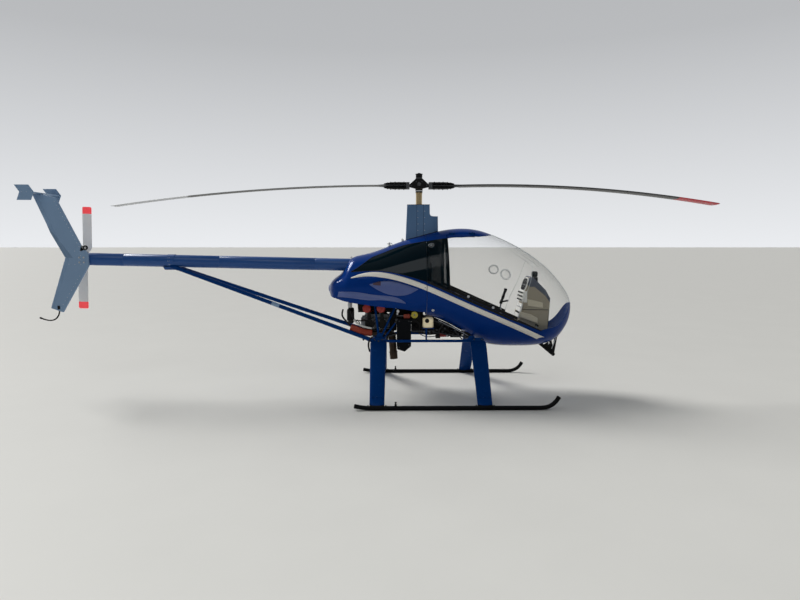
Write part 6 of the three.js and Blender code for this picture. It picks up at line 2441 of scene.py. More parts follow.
    def boxes(self) -> None:
        """Makes the black air box behind the carburettors, which stands in the bay as painted shade, the belt
        guard, and the boxes under the cabin.
        """
        box = Sketch()
        # A black box that fills the upper bay behind the carburettors: painted shade where the bay is dark.
        box.slab([(-0.628, 0.826), (-0.3, 0.826), (-0.286, 0.85), (-0.296, 0.93), (-0.6, 0.945),
                  (-0.64, 0.905)], 0.034, 0.14)
        for x in np.linspace(-0.605, -0.315, 8):
            box.block((x, 0.029, 0.838), (x + 0.01, 0.036, 0.92))
        for x in (-0.533, -0.39):
            box.turn((x, 0.036, 0.878), (0, -1, 0),
                     ((0.029, 0.0), (0.029, 0.01), (0.022, 0.012), (0.022, 0.03)), 24)
        box.piece("air_box_painted_shade", SATIN_BLACK, bevel=0.004, segments=3)
        guard = Sketch()
        guard.slab([(-0.08, 0.63), (0.018, 0.612), (0.026, 0.76), (-0.002, 0.872), (-0.066, 0.872),
                    (-0.08, 0.78)], -0.128, -0.112)
        guard.slab([(-0.3, 0.64), (-0.232, 0.64), (-0.232, 0.86), (-0.262, 0.88), (-0.3, 0.84)], -0.12,
                   -0.108)
        guard.turn((-0.03, -0.128, 0.69), (0, -1, 0),
                   ((0.03, 0.0), (0.03, 0.01), (0.018, 0.014), (0.0, 0.0145)), 32)
        guard.piece("belt_guard", SATIN_BLACK, bevel=0.0015)
        under = Sketch()
        under.block((0.028, -0.205, 0.618), (0.132, -0.12, 0.674))
        under.block((0.206, -0.17, 0.582), (0.302, -0.04, 0.672))
        under.block((0.318, -0.165, 0.576), (0.424, -0.05, 0.64))
        for x in np.linspace(0.214, 0.288, 5):
            under.block((x, -0.174, 0.59), (x + 0.006, -0.169, 0.664))
        for x, y, z in ((0.05, -0.205, 0.646), (0.1, -0.205, 0.646), (0.345, -0.165, 0.61),
                        (0.395, -0.165, 0.61)):
            under.turn((x, y, z), (0, -1, 0),
                       ((0.012, 0.0), (0.012, 0.008), (0.007, 0.01), (0.007, 0.02), (0.0, 0.021)), 16, 1)
        under.piece("fuel_pump_boxes", [SATIN_BLACK, CAST_ALLOY], bevel=0.003, segments=3)

    def baffles(self) -> None:
        """Makes the black sheets that paint in the shade of the bay, where it is dark in shadow, and the duct
        behind the engine.
        """
        keel = Sketch()
        # A black sheet down the middle of the bay and under the cabin: painted shade where the bay is dark in
        # shadow.
        outline = [(-0.236, 0.782), (-0.068, 0.782), (-0.068, 0.602), (0.1, 0.588), (0.46, 0.574),
                   (0.5, 0.578), (0.462, 0.606), (0.312, 0.696), (0.15, 0.765), (0.05, 0.788), (0.05, 0.862),
                   (-0.236, 0.892)]
        keel.slab(outline, 0.024, 0.03)
        for x, low, high in ((-0.19, 0.788, 0.88), (-0.13, 0.788, 0.876), (-0.03, 0.606, 0.866),
                             (0.02, 0.6, 0.862), (0.09, 0.594, 0.775), (0.16, 0.588, 0.752),
                             (0.23, 0.584, 0.722), (0.3, 0.582, 0.692), (0.37, 0.58, 0.652),
                             (0.44, 0.578, 0.612)):
            keel.block((x - 0.003, 0.01, low), (x + 0.003, 0.024, high))
        keel.piece("keel_painted_shade", SATIN_BLACK, bevel=0.001)
        duct = Sketch()
        turns = around(40)
        duct.loft(np.array([np.stack([np.full(40, x), 0.08 + half * bulged(np.cos(turns), 0.6),
                                      z + tall * bulged(np.sin(turns), 0.6)], 1)
                            for x, z, half, tall in ((-0.745, 0.775, 0.03, 0.06),
                                                     (-0.742, 0.775, 0.04, 0.075),
                                                     (-0.73, 0.775, 0.048, 0.084),
                                                     (-0.695, 0.775, 0.048, 0.084),
                                                     (-0.683, 0.775, 0.04, 0.075),
                                                     (-0.68, 0.775, 0.03, 0.06))]))
        duct.piece("rear_duct", RUBBER, sharp=60)
        wall = Sketch()
        # A black sheet on the far side of the upper bay: painted shade where the bay is dark.
        wall.slab([(-0.64, 0.8), (-0.244, 0.8), (-0.244, 0.9), (-0.3, 0.955), (-0.6, 0.96), (-0.65, 0.93)],
                  0.146, 0.15)
        for x in np.linspace(-0.62, -0.27, 8):
            wall.block((x - 0.003, 0.15, 0.806), (x + 0.003, 0.158, 0.898))
        wall.piece("far_bay_painted_shade", SATIN_BLACK, bevel=0.001)

    def wires(self) -> None:
        """Makes the thin looms that cross the bay, each sagging between two clips."""
        dice, looms = np.random.default_rng(11), []
        for k in range(26):
            side = -1 if k % 3 else 1
            start = np.array((dice.uniform(-0.66, -0.12), side * dice.uniform(0.1, 0.215),
                              dice.uniform(0.63, 0.84)))
            reach = np.array((dice.uniform(0.06, 0.22), side * dice.uniform(-0.05, 0.03),
                              dice.uniform(-0.12, 0.1)))
            middle = start + reach * 0.5 - (0, 0, dice.uniform(0.01, 0.05))
            looms.append(spline((start, start + reach * 0.25 - (0, 0, 0.012), middle, start + reach), 24))
        for z, y in ((0.64, -0.215), (0.66, -0.195), (0.625, 0.205)):
            looms.append(spline(((-0.08, y, z + 0.05), (0.06, y * 1.02, z - 0.045), (0.24, y, z - 0.03),
                                 (0.43, y * 0.9, z - 0.04)), 40))
        self.shop.tubes.grow("wiring_looms", looms, RUBBER, radius=0.0042, sides=8)

    def hoses(self) -> None:
        """Makes the hoses and leads that are clipped in the bay."""
        black = [
            ((-0.785, -0.055, 0.85), (-0.79, -0.105, 0.8), (-0.74, -0.165, 0.74), (-0.7, -0.19, 0.7)),
            ((-0.7, -0.19, 0.7), (-0.66, -0.2, 0.66), (-0.61, -0.19, 0.64), (-0.56, -0.17, 0.64)),
            ((-0.25, -0.2, 0.7), (-0.27, -0.215, 0.64), (-0.33, -0.215, 0.6), (-0.41, -0.2, 0.6)),
            ((-0.1, -0.2, 0.78), (-0.04, -0.215, 0.76), (0.0, -0.2, 0.7), (-0.02, -0.19, 0.64)),
            ((-0.47, -0.262, 0.6), (-0.505, -0.285, 0.56), (-0.512, -0.29, 0.5), (-0.5, -0.286, 0.452)),
            ((0.12, -0.16, 0.78), (0.19, -0.17, 0.74), (0.26, -0.18, 0.67), (0.33, -0.19, 0.62)),
            ((0.14, -0.12, 0.74), (0.22, -0.13, 0.69), (0.3, -0.15, 0.64), (0.4, -0.18, 0.6)),
            ((-0.7, -0.15, 0.85), (-0.69, -0.185, 0.83), (-0.674, -0.205, 0.795), (-0.662, -0.21, 0.768)),
        ]
        leads = [spline(((x, sign * 0.172, 0.806), (x + 0.012, sign * 0.15, 0.84),
                         (x + 0.03, sign * 0.08, 0.842), (-0.44, sign * 0.04, 0.822)), 30) for sign in (-1, 1)
                 for x in (-0.505, -0.372)]
        self.shop.tubes.grow("bay_hoses", [spline(run, 40) for run in black], RUBBER, radius=0.009, sides=14)
        self.shop.tubes.grow("plug_leads", leads, RED_RUBBER, radius=0.0042, sides=10)
        pale = [((-0.662, -0.21, 0.765), (-0.625, -0.222, 0.727), (-0.578, -0.236, 0.704),
                 (-0.484, -0.225, 0.678))]
        self.shop.tubes.grow("coolant_hoses", [spline(run, 36) for run in pale], WHITE_HOSE, radius=0.01,
                             sides=16)
        warm = [((-0.688, -0.205, 0.682), (-0.63, -0.22, 0.662), (-0.56, -0.225, 0.64),
                 (-0.486, -0.215, 0.63))]
        self.shop.tubes.grow("orange_duct", [spline(run, 36) for run in warm], ORANGE_HOSE, radius=0.033,
                             sides=22)
        ribs, line = [], spline(warm[0], 19)
        for place, way in zip(line, np.gradient(line, axis=0)):
            way /= np.linalg.norm(way)
            up = np.cross(way, (0, 1, 0)) / np.linalg.norm(np.cross(way, (0, 1, 0)))
            ribs.append(np.array([place + 0.0335 * (up * math.cos(a) + np.cross(way, up) * math.sin(a))
                                  for a in np.linspace(0, math.tau, 33)]))
        self.shop.tubes.grow("duct_ribs", ribs, ORANGE_HOSE, radius=0.0028, sides=8)
        bottle = Sketch()
        bottle.turn((-0.707, -0.13, 0.745), (0, 0, 1),
                    ((0.026, 0.0), (0.032, 0.004), (0.032, 0.104), (0.026, 0.118), (0.016, 0.124),
                     (0.016, 0.138), (0.0, 0.139)), 32)
        bottle.turn((-0.707, -0.13, 0.88), (0, 0, 1),
                    ((0.0215, 0.0), (0.0215, 0.046), (0.018, 0.05), (0.0, 0.051)), 28, 1)
        bottle.sweep([(-0.707, -0.13, 0.76), (-0.64, -0.12, 0.745), (-0.575, -0.08, 0.735)], 0.006, 10, 0)
        bottle.piece("overflow_bottle", [SATIN_BLACK, BLADE_WHITE], bevel=0.001)


@dataclass
class Cabin(Assembly):
    """Everything inside the bubble."""

    cushions: tuple = (
        ("front_seat_cushion", ((0.452, 0.565), (0.8, 0.565), (0.8, 0.715), (0.452, 0.735)), 0.185, "z", 3),
        ("front_seat_back", ((0.3853, 0.64), (0.451, 0.64), (0.44, 1.03), (0.3853, 1.034)), 0.18, "x", 4),
        ("rear_seat_cushion", ((0.15, 0.8803), (0.384, 0.8803), (0.384, 0.958), (0.15, 0.968)),
         0.205, "z", 3),
        ("rear_seat_back", ((0.1003, 0.8803), (0.148, 0.8803), (0.14, 1.366), (0.1003, 1.366)),
         0.195, "x", 4),
        ("headrest", ((0.1003, 1.384), (0.238, 1.384), (0.238, 1.566), (0.1003, 1.566)), 0.165, "x", 2),
    )

    shrink: float = 0.01  # how much smaller a pad starts than its place
    voxel: float = 0.008
    swell: float = 0.012  # the furthest that the pressure moves a point
    swell_frames: int = 20
    seam_deep: float = 0.012
    seam_wide: float = 0.009
    margin: float = 0.0003  # what a pad keeps free at the edge of its place

    def build(self) -> None:
        """Makes the inside of the cabin."""
        self.shells()
        for name, outline, half, faces, channels in self.cushions:
            self.cushion(name, outline, half, faces, channels)
        self.pod()
        self.stick()
        self.pedals()
        self.nose_bracket()

    def inside(self, x: float, z: float, clear: float) -> float:
        """Gives the half width of the hull's inner side at a place.

        Args:
            x: The place along the cabin.
            z: The height.
            clear: The distance kept from the outer skin.

        Returns:
            The half width.
        """
        t = self.hull.along(np.array([x]))
        angle = self.hull.angle_at_height(t, np.array([z]))
        return float(self.hull.points(t, angle)[0, 1]) - clear

    def shells(self) -> None:
        """Makes the floor, the seat box, the bulkhead and the arch behind the doors."""
        floor = Sketch()
        line = [(x, self.inside(x, 0.56, 0.012)) for x in np.linspace(0.6, 1.395, 22)]
        floor.slab([*line, *((x, -y) for x, y in line[::-1])], 0.5565, 0.5635, "xy")
        floor.piece("floor_panel", FLOOR_CARPET, slot="grey_floor", replaces=["cabin_floor"], bevel=0.001)
        box, rings = Sketch(), []
        for x in np.linspace(0.1008, 0.3847, 10):
            low = max(0.7 - (x - 0.1) * 0.55,
                      float(self.hull.columns(self.hull.along(np.array([x])))[2][0]) + 0.012)
            ring = []
            for z in np.linspace(low, 0.8797, 9):
                ring.append((x, min(self.inside(x, z, 0.012), 0.36), z))
            rings.append(ring + [(x, -y, z) for x, y, z in ring[::-1]])
        box.loft(np.array(rings))
        box.piece("seat_box_shell", GREY_ABS, slot="beige_moulding", replaces=["seat_box"], bevel=0.002)
        wall, rim = Sketch(), []
        for z in np.linspace(0.79, 1.63, 40):
            rim.append((self.inside(0.094, z, 0.014), z))
        wall.slab([*rim, *((-y, z) for y, z in rim[::-1])], 0.0882, 0.0998, "yz")
        wall.piece("bulkhead_panel", GREY_ABS, slot="beige_moulding", replaces=["bulkhead"], bevel=0.001)
        arch, section = Sketch(), []
        near, lean, foot, deep, clear = 0.262, (0.276 - 0.296) / 0.7, 1.05, 0.024, 0.009
        for share in np.linspace(0, 1, 61):
            turn = math.pi * share
            ring = []
            for dx, dr in ((0.0, 0.0), (0.034, 0.0), (0.034, -deep), (0.0, -deep)):
                x0 = near
                for _ in range(3):
                    t = self.hull.along(np.array([x0]))
                    first = float(self.hull.angle_at_height(t, np.array([foot]))[0])
                    angle = first + (math.pi - 2 * first) * turn / math.pi
                    point = self.hull.points(t, np.array([angle]))[0]
                    x0 = near + dx + lean * (point[2] - foot)
                way = self.hull.normals(t, np.array([angle]))[0]
                ring.append(point + way * (dr - clear))
            section.append(ring)
        arch.loft(np.array(section))
        arch.piece("door_arch_moulding", SATIN_BLACK, slot="black_paint", replaces=["door_arch"], bevel=0.003)

    def cushion(self, name: str, outline: Sequence[tuple[float, float]], half: float, faces: str,
                channels: int) -> None:
        """Makes one padded cushion with sewn channels and piping.

        Args:
            name: The CAD node that it stands for.
            outline: Its side view.
            half: Its half width.
            faces: The axis that its padded face looks along: x forward or z up.
            channels: How many padded strips it is sewn into.
        """
        shrink = self.shrink
        line = np.array(outline)
        middle = line.mean(0)
        size = line.max(0) - line.min(0)
        line = middle + (line - middle) * (1 - 2 * shrink / size)
        line = line + np.array((0.0, -shrink + 0.001) if faces == "z" else (-shrink + 0.001, 0.0))
        block = Sketch()
        block.slab([tuple(p) for p in line], -half + shrink, half - shrink)
        pad = bpy.data.objects.new(f"{name}_pad", block.mesh(name))
        bpy.context.scene.collection.objects.link(pad)
        rounded = pad.modifiers.new("round", "BEVEL")
        rounded.width, rounded.segments = min(0.018, size.min() * 0.3), 3
        even = pad.modifiers.new("even", "REMESH")
        even.mode, even.voxel_size, even.use_smooth_shade = "VOXEL", self.voxel, True
        self.bake(pad)
        start = np.array([v.co for v in pad.data.vertices])
        self.inflate(pad, start)
        self.settle(pad, start, np.array(outline), half, faces, channels)
        smooth = pad.modifiers.new("smooth", "SUBSURF")
        smooth.levels = smooth.render_levels = 1
        self.bake(pad)
        mesh = pad.data
        bpy.data.objects.remove(pad)
        mesh.materials.clear()
        piece = finish_piece(mesh, f"{name}_padding", SEAT_VINYL, replaces=[name],
                             sharp=180)
        self.piping(name, mesh, half, faces)

    def bake(self, item: bpy.types.Object) -> None:
        """Applies the modifiers of an object to its mesh.

        Args:
            item: The object.
        """
        ready = item.evaluated_get(bpy.context.evaluated_depsgraph_get())
        result = bpy.data.meshes.new_from_object(ready)
        item.modifiers.clear()
        item.data = result

    def inflate(self, pad: bpy.types.Object, start: np.ndarray) -> None:
        """Swells a pad by cloth pressure, and limits how far each point moves.

        Args:
            pad: The pad.
            start: Its points before.
        """
        cloth = pad.modifiers.new("cloth", "CLOTH")
        cloth.settings.quality = 4
        cloth.settings.use_pressure = True
        cloth.settings.uniform_pressure_force = 4.0
        cloth.settings.tension_stiffness = cloth.settings.compression_stiffness = 20.0
        cloth.settings.effector_weights.gravity = 0.0
        cloth.point_cache.frame_start, cloth.point_cache.frame_end = 1, self.swell_frames
        scene = bpy.context.scene
        for frame in range(1, self.swell_frames + 1):
            scene.frame_set(frame)
        self.bake(pad)
        scene.frame_set(1)
        points = np.array([v.co for v in pad.data.vertices])
        moved = points - start
        far = np.linalg.norm(moved, axis=1, keepdims=True)
        points = start + moved * np.minimum(1.0, self.swell / np.maximum(far, 1e-9))
        pad.data.vertices.foreach_set("co", points.astype(np.float32).ravel())

    def settle(self, pad: bpy.types.Object, start: np.ndarray, outline: np.ndarray, half: float, faces: str,
               channels: int) -> None:
        """Presses the sewn channels in, and keeps the pad inside its place.

        Args:
            pad: The pad.
            start: Its points before it was swollen; not used.
            outline: The side view of its place.
            half: The half width of its place.
            faces: The axis that its padded face looks along.
            channels: How many strips it is sewn into.
        """
        points = np.array([v.co for v in pad.data.vertices]) - (MAST_X, 0, 0)
        axis = 2 if faces == "z" else 0
        low, high = outline.min(0), outline.max(0)
        rest = (low[1] if faces == "z" else low[0]) + 0.0004
        across = points[:, axis]
        rise = np.clip((across - rest) / ((high[1] if faces == "z" else high[0]) - rest), 0, 1)
        lines = np.linspace(-half, half, channels + 1)[1:-1] if channels > 1 else ()
        for at in lines:
            groove = np.exp(-(((points[:, 1] - at) / self.seam_wide) ** 2))
            points[:, axis] -= self.seam_deep * groove * (rise > 0.5)
        points[:, axis] = np.maximum(points[:, axis], rest)
        points[:, 1] = np.clip(points[:, 1], -half + 0.0005, half - 0.0005)
        points[:, 0] = np.clip(points[:, 0], low[0] + self.margin, high[0] - self.margin)
        points[:, 2] = np.clip(points[:, 2], low[1] + self.margin, high[1] + 0.004)
        pad.data.vertices.foreach_set("co", (points + (MAST_X, 0, 0)).astype(np.float32).ravel())
        pad.data.update()

    def piping(self, name: str, mesh: bpy.types.Mesh, half: float, faces: str) -> None:
        """Runs a welt round the padded face of a cushion.

        Args:
            name: The cushion's name.
            mesh: Its mesh.
            half: Its half width; not used.
            faces: The axis that its padded face looks along.
        """
        tree = BVHTree.FromPolygons([v.co for v in mesh.vertices], [tuple(p.vertices) for p in mesh.polygons])
        points = np.array([v.co for v in mesh.vertices])
        low, high = points.min(0), points.max(0)
        middle = (low + high) / 2
        run = []
        for turn in np.linspace(0, math.tau, 121):
            c, s = math.cos(turn), math.sin(turn)
            scale = (abs(c) ** 6 + abs(s) ** 6) ** (-1 / 6)
            if faces == "z":
                guess = (middle[0] + c * scale * (high[0] - low[0]) / 2, s * scale * (high[1] - low[1]) / 2,
                         high[2] - 0.016)
            else:
                guess = (high[0] - 0.012, c * scale * (high[1] - low[1]) / 2,
                         middle[2] + s * scale * (high[2] - low[2]) / 2)
            spot = tree.find_nearest(Vector(guess))[0]
            run.append(tuple(spot))
        line = np.array(run) - (MAST_X, 0, 0)
        self.shop.tubes.grow(f"{name}_piping", [line], THREAD, radius=0.0032, sides=8)

    def pod(self) -> None:
        """Makes the instrument pod: hood, dark panel with dials, lower box and compass."""
        outline = spline(((1.02, 0.5646), (1.026, 0.74), (1.056, 0.846), (1.071, 0.93), (1.086, 1.04),
                          (1.106, 1.111), (1.129, 1.17), (1.152, 1.19), (1.184, 1.164), (1.294, 1.053),
                          (1.34, 0.972), (1.342, 0.862), (1.332, 0.714), (1.319, 0.5646)), 80)
        middle = np.array((1.19, 0.82))
        pod, rings = Sketch(), []
        for y, fit in ((-0.1245, 0.9), (-0.1225, 0.945), (-0.117, 0.975), (-0.105, 0.993), (-0.085, 1.0),
                       (0.085, 1.0), (0.105, 0.993), (0.117, 0.975), (0.1225, 0.945), (0.1245, 0.9)):
            line = middle + (outline - middle) * fit
            line[:, 1] = np.maximum(line[:, 1], 0.5646)
            rings.append(np.stack([line[:, 0], np.full(80, y), line[:, 1]], 1))
        pod.loft(np.array(rings))
        pod.piece("instrument_pod_hood", BEIGE_ABS, slot="beige_moulding", replaces=["instrument_pod"],
                  sharp=60)
        tilt = math.atan2(1.129 - 1.086, 1.17 - 1.04)
        back = np.array((-math.cos(tilt), 0, math.sin(tilt)))
        up = np.array((math.sin(tilt), 0, math.cos(tilt)))
        place = np.array((1.1075, 0.0, 1.108))
        turns = around(48)
        panel_ring = [place + up * (0.066 * bulged(np.sin(a), 0.7))
                      + np.array((0, 0.108 * bulged(np.cos(a), 0.7), 0)) for a in turns]
        face = Sketch()
        face.loft(np.array([[p + back * (-0.006) for p in panel_ring],
                            [p + back * 0.0035 for p in panel_ring],
                            [place + (p - place) * 0.97 + back * 0.005 for p in panel_ring]]))
        for y, z, radius in ((-0.062, 0.03, 0.028), (0.0, 0.034, 0.03), (0.062, 0.03, 0.028),
                             (-0.062, -0.034, 0.024), (0.0, -0.034, 0.026), (0.062, -0.034, 0.024)):
            spot = place + (0, y, 0) + up * z
            face.turn(spot + back * 0.004, back, ((radius, 0.0), (radius, 0.006), (radius - 0.003, 0.007),
                                                  (radius - 0.0035, 0.004), (0.0, 0.004)), 28, 1)
            face.stud(spot + back * 0.0082, back, 0.003, 0.001, mark=2, sides=12, crown=0.0002)
            needle = up * (radius - 0.008) * 0.7 + np.array((0, (radius - 0.008) * 0.7 * np.sign(y + 0.01),
                                                             0))
            face.sweep([spot + back * 0.0086, spot + back * 0.0086 + needle], 0.0009, 6, 2)
        face.piece("instrument_panel", [DIAL_FACE, SATIN_BLACK, BLADE_WHITE], bevel=0.0005)
        rim = np.array([p + back * 0.004 for p in panel_ring + panel_ring[:1]])
        rim = place + (rim - place) * 1.05
        self.shop.tubes.grow("pod_rim", [rim], WHITE_ABS, radius=0.0062, sides=12)
        ticks, ways = [], []
        for y, z, radius in ((-0.062, 0.03, 0.028), (0.0, 0.034, 0.03), (0.062, 0.03, 0.028)):
            spot = place + (0, y, 0) + up * z + back * 0.0085
            ring = [spot + (radius - 0.006) * (up * math.sin(a) + np.array((0, math.cos(a), 0)))
                    for a in np.linspace(0.3, math.tau - 0.3, 24)]
            ticks.append(np.array(ring))
            ways.append(np.tile(back, (24, 1)))
        self.shop.heads.grow("dial_ticks", ticks, BLADE_WHITE, normals=ways, spacing=0.013, length=0.0012,
                             width=0.003, height=0.0008)
        self.radio()
        hood = Sketch()
        shade = ((1.106, 1.113), (1.128, 1.172), (1.152, 1.1925), (1.187, 1.166), (1.296, 1.056),
                 (1.343, 0.973), (1.342, 0.93), (1.29, 1.0), (1.18, 1.09), (1.13, 1.09))
        hood.slab(shade, -0.1262, 0.1262)
        hood.piece("glare_hood", GLARE_GREY, bevel=0.002, segments=3)
        compass = Sketch()
        compass.block((1.178, -0.028, 1.11), (1.234, 0.028, 1.182))
        compass.turn((1.178, 0, 1.214), (1, 0, 0),
                     ((0.024, 0.0), (0.03, 0.004), (0.03, 0.05), (0.024, 0.056)), 32)
        compass.stud((1.1775, 0, 1.214), (-1, 0, 0), 0.022, 0.001, mark=1, sides=28, crown=0.0005)
        compass.block((1.2, -0.008, 1.18), (1.214, 0.008, 1.19))
        compass.piece("compass", [SATIN_BLACK, DIAL_FACE], bevel=0.002)

    def radio(self) -> None:
        """Makes the white radio and switch plate under the dials, and the pod's side pockets and joint."""
        radio = Sketch()
        radio.block((1.075, -0.128, 0.93), (1.105, 0.128, 1.046), 1)
        for x, low in ((1.057, 0.936), (1.062, 0.973), (1.068, 1.01)):
            for y in (-0.076, 0.0, 0.076):
                radio.block((x, y - 0.035, low), (1.085, y + 0.035, low + 0.031), 1)
                radio.stud((x, y + 0.02, low + 0.016), (-1, 0, 0.1), 0.008, 0.01, mark=2, sides=18)
                radio.block((x - 0.001, y - 0.026, low + 0.008), (x + 0.002, y + 0.002, low + 0.024), 2)
        plate = [(1.019, 0.772), (1.047, 0.846), (1.061, 0.912), (1.069, 0.91), (1.055, 0.844),
                 (1.029, 0.768)]
        radio.slab(plate, -0.108, 0.108, mark=1)
        for y in (-0.08, -0.048, -0.016, 0.016, 0.048, 0.08):
            radio.turn((1.053, y, 0.88), (-1, 0, 0.25),
                       ((0.007, 0.0), (0.007, 0.003), (0.003, 0.004), (0.0035, 0.016), (0.0, 0.017)), 14, 3)
            radio.block((1.031, y - 0.01, 0.812), (1.039, y + 0.01, 0.83), 2)
        radio.piece("radio_and_switches", [GREY_ABS, WHITE_ABS, SATIN_BLACK, ZINC], bevel=0.0015)
        for side, sign in SIDES:
            pocket = Sketch()
            pocket.slab([(1.112, 0.895), (1.106, 0.964), (1.18, 0.95), (1.266, 0.926), (1.268, 0.874)],
                        *sorted((sign * 0.121, sign * 0.136)))
            pocket.slab([(1.032, 0.78), (1.038, 0.835), (1.152, 0.806), (1.212, 0.77), (1.214, 0.718)],
                        *sorted((sign * 0.121, sign * 0.148)))
            pocket.piece(f"pod_pockets_{side}", CREAM_ABS, bevel=0.004, segments=3)
        seams = [np.array(run) for y in (-0.124, 0.124)
                 for run in (((1.06, y, 0.857), (1.332, y, 0.853)),
                             ((1.318, y * 0.97, 0.64), (1.326, y * 0.97, 0.72), (1.334, y * 0.97, 0.85)))]
        self.shop.tubes.grow("pod_joint", seams, RUBBER, radius=0.0035, sides=10)

    def stick(self) -> None:
        """Makes the pilot's stick: rod, boot, grip and side arm."""
        stick = Sketch()
        stick.turn((0.85, 0, 0.5645), (0, 0, 1),
                   ((0.042, 0.0), (0.042, 0.004), (0.03, 0.01), (0.033, 0.016), (0.022, 0.022),
                    (0.025, 0.028), (0.012, 0.036), (0.01, 0.04)), 28, 1)
        path = spline(((0.85, 0, 0.58), (0.852, 0, 0.7), (0.856, 0, 0.82), (0.858, 0, 0.912)), 20)
        stick.sweep(path, 0.009, 16, 0)
        grip = spline(((0.857, 0, 0.905), (0.866, 0, 0.935), (0.882, 0, 0.975), (0.892, 0, 1.01),
                       (0.909, 0, 1.054)), 22)
        radii = 0.0145 + 0.0022 * np.sin(np.linspace(0, 5 * math.pi, 22)) * np.linspace(1, 0.2, 22)
        stick.sweep(grip, radii, 20, 1)
        stick.turn(grip[-1] - (0.004, 0, 0.006), (0.3, 0, 1),
                   ((0.016, 0.0), (0.018, 0.004), (0.018, 0.012), (0.012, 0.017), (0.0, 0.018)), 20, 1)
        stick.sweep([(0.86, 0, 0.924), (0.9, 0, 0.932), (0.932, 0, 0.938)], 0.0088, 14, 1)
        stick.stud((0.93, 0, 0.9375), (1, 0, 0.18), 0.01, 0.008, mark=2, sides=14)
        stick.piece("pilot_stick", [TURNED_ALLOY, SATIN_BLACK, ZINC], slot="black_paint",
                    replaces=["cyclic_stick"], bevel=0.0006)

    def pedals(self) -> None:
        """Makes the two foot pedals on their bar, and the collective lever beside the seat."""
        pedals = Sketch()
        for sign in (-1, 1):
            y = sign * 0.172
            pedals.sweep([(1.18, y, 0.564), (1.192, y, 0.64), (1.2, y, 0.7)], 0.007, 12)
            pedals.sweep([(1.2, y - 0.035, 0.7), (1.2, y + 0.035, 0.7)], 0.011, 16, 1)
        pedals.piece("foot_pedals", [TURNED_ALLOY, RUBBER], bevel=0.0006)
        lever = Sketch()
        path = spline(((0.47, 0.235, 0.6), (0.56, 0.24, 0.64), (0.66, 0.24, 0.7), (0.72, 0.238, 0.735)), 20)
        lever.sweep(path, 0.008, 12)
        way = path[-1] - path[-2]
        lever.turn(path[-1], way,
                   ((0.013, 0.0), (0.015, 0.006), (0.015, 0.105), (0.011, 0.112), (0.0, 0.113)), 20, 1)
        lever.piece("collective_lever", [TURNED_ALLOY, SATIN_BLACK], bevel=0.0006)

    def nose_bracket(self) -> None:
        """Makes the black bracket under the nose."""
        tip = (1.415, 0.0, 0.372)
        runs = [np.array((start, tip)) for start in ((1.262, 0, 0.5), (1.378, 0, 0.56), (1.45, 0, 0.59))]
        rods = [np.array(((1.438, -0.02, 0.545), (1.396, -0.02, 0.432))),
                np.array(((1.364, -0.02, 0.515), (1.364, -0.02, 0.478)))]
        self.shop.tubes.grow("nose_bracket_links", rods, TURNED_ALLOY, radius=0.0045, sides=12)
        self.shop.tubes.grow("nose_bracket_rods", runs, SATIN_BLACK, slot="black_paint",
                             replaces=["nose_bracket"], radius=0.014, sides=18)
        ends = Sketch()
        ends.turn((1.415, -0.019, 0.374), (0, 1, 0), ((0.019, 0.0), (0.019, 0.038)), 24)
        ends.sweep([(1.27, 0, 0.493), (1.404, 0, 0.381)], 0.018, 20)
        ends.slab([(1.3, 0.465), (1.36, 0.5), (1.42, 0.44), (1.43, 0.38), (1.405, 0.368)], -0.006, 0.006)
        for x, z in ((1.262, 0.492), (1.378, 0.515), (1.45, 0.56)):
            ends.stud((x, 0, z), (-0.2, 0, 1), 0.021, 0.006, sides=20)
        ends.piece("nose_bracket_ends", SATIN_BLACK, bevel=0.001)


ASSEMBLIES = (LandingGear, Tail, RotorHead, MastFairing, EngineBay, Cabin)


# The camera, the light and the floor


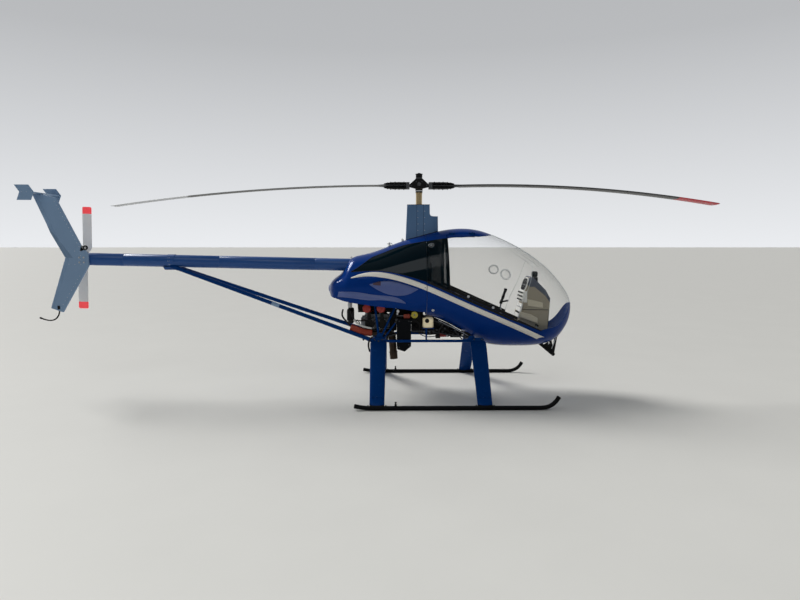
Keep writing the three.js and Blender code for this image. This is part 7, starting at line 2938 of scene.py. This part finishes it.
@dataclass
class Studio:
    """A plain pale floor, soft light and the camera."""

    eye: Point = (0.1899, -6.242, 1.5226)
    pitch: float = math.radians(5.29)
    yaw: float = 0.0089
    wide: float = math.radians(67.3)
    floor_half: float = 300.0
    sky: tuple = ((0.0, 0.84), (0.3, 0.5), (1.0, 0.3))
    behind_camera: float = 0.22

    def camera(self) -> None:
        """Makes the camera at the photograph's angle."""
        data = bpy.data.cameras.new("camera")
        data.sensor_width = 36.0
        data.lens = data.sensor_width / 2 / math.tan(self.wide / 2)
        camera = bpy.data.objects.new("camera", data)
        camera.location = self.eye
        camera.rotation_euler = (math.pi / 2 - self.pitch, 0.0, -self.yaw)
        bpy.context.scene.collection.objects.link(camera)
        bpy.context.scene.camera = camera

    def floor(self) -> None:
        """Makes the floor."""
        half, plan = self.floor_half, Sketch()
        plan.add(np.array(((-half, -half, 0), (half, -half, 0), (half, half, 0), (-half, half, 0))),
                 [(0, 1, 2, 3)])
        mesh = bpy.data.meshes.new("studio_floor")
        mesh.from_pydata(plan.points[0].tolist(), [], plan.faces)
        mesh.materials.append(STUDIO_FLOOR.material())
        ground = bpy.data.objects.new("studio_floor", mesh)
        bpy.context.scene.collection.objects.link(ground)

    def softbox(self, name: str, place: Point, target: Point, width: float, height: float, power: float,
                tint: tuple[float, float, float]) -> None:
        """Makes one large soft light.

        Args:
            name: Its name.
            place: Where it stands.
            target: The point that it faces.
            width: Its width.
            height: Its height.
            power: Its power in watts.
            tint: Its colour.
        """
        data = bpy.data.lights.new(name, "AREA")
        data.shape, data.size, data.size_y, data.energy, data.color = "RECTANGLE", width, height, power, tint
        lamp = bpy.data.objects.new(name, data)
        lamp.location = place
        lamp.rotation_euler = (Vector(target) - Vector(place)).to_track_quat("-Z", "Y").to_euler()
        bpy.context.scene.collection.objects.link(lamp)

    def sun(self, source: Point, strength: float, spread: float, tint: tuple[float, float, float]) -> None:
        """Makes the main light, wide enough for soft shadows.

        Args:
            source: The direction that it comes from.
            strength: Its strength in watts per square metre.
            spread: The angle that it fills.
            tint: Its colour.
        """
        data = bpy.data.lights.new("key", "SUN")
        data.energy, data.angle, data.color = strength, spread, tint
        lamp = bpy.data.objects.new("key", data)
        lamp.rotation_euler = Vector(source).to_track_quat("Z", "Y").to_euler()
        bpy.context.scene.collection.objects.link(lamp)

    def light(self) -> None:
        """Makes the pale surroundings and the soft lights."""
        world = bpy.data.worlds.new("pale_room")
        world.use_nodes = True
        tree = world.node_tree
        tree.nodes.clear()
        place = add_node(tree, "ShaderNodeTexCoord")
        parts = add_node(tree, "ShaderNodeSeparateXYZ", None, {0: place.outputs["Generated"]})
        ramp = add_node(tree, "ShaderNodeValToRGB", None, {0: parts.outputs["Z"]})
        bands = ramp.color_ramp.elements
        bands.new(0.35)
        for band_at, (position, grey) in zip(bands, self.sky):
            band_at.position, band_at.color = position, (grey * 0.98, grey, grey * 1.03, 1.0)
        dim = add_node(tree, "ShaderNodeMapRange",
                       {"From Min": -0.5, "From Max": 0.2, "To Min": self.behind_camera, "To Max": 1.0},
                       {"Value": parts.outputs["Y"]})
        glow = add_node(tree, "ShaderNodeBackground", None,
                        {"Color": ramp.outputs[0], "Strength": dim.outputs[0]})
        add_node(tree, "ShaderNodeOutputWorld", None, {0: glow.outputs[0]})
        bpy.context.scene.world = world
        middle = (0.3, 0.0, 1.0)
        self.sun((-0.62, 0.42, 0.66), 2.6, math.radians(24), (1.0, 0.98, 0.95))
        self.softbox("fill", (-2.0, -6.5, 8.0), middle, 7.0, 3.5, 150, (0.95, 0.98, 1.0))
        bpy.context.scene.view_settings.view_transform = "Standard"


def main() -> None:
    """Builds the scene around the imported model."""
    logging.basicConfig(level=logging.INFO, format="%(message)s")
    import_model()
    studio = Studio()
    studio.camera()
    studio.floor()
    studio.light()
    shop, hull = Workshop(), Hull()
    CabinShell(hull, shop).build()
    for part in ASSEMBLIES:
        part(hull, shop).build()


if __name__ == "__main__":
    main()
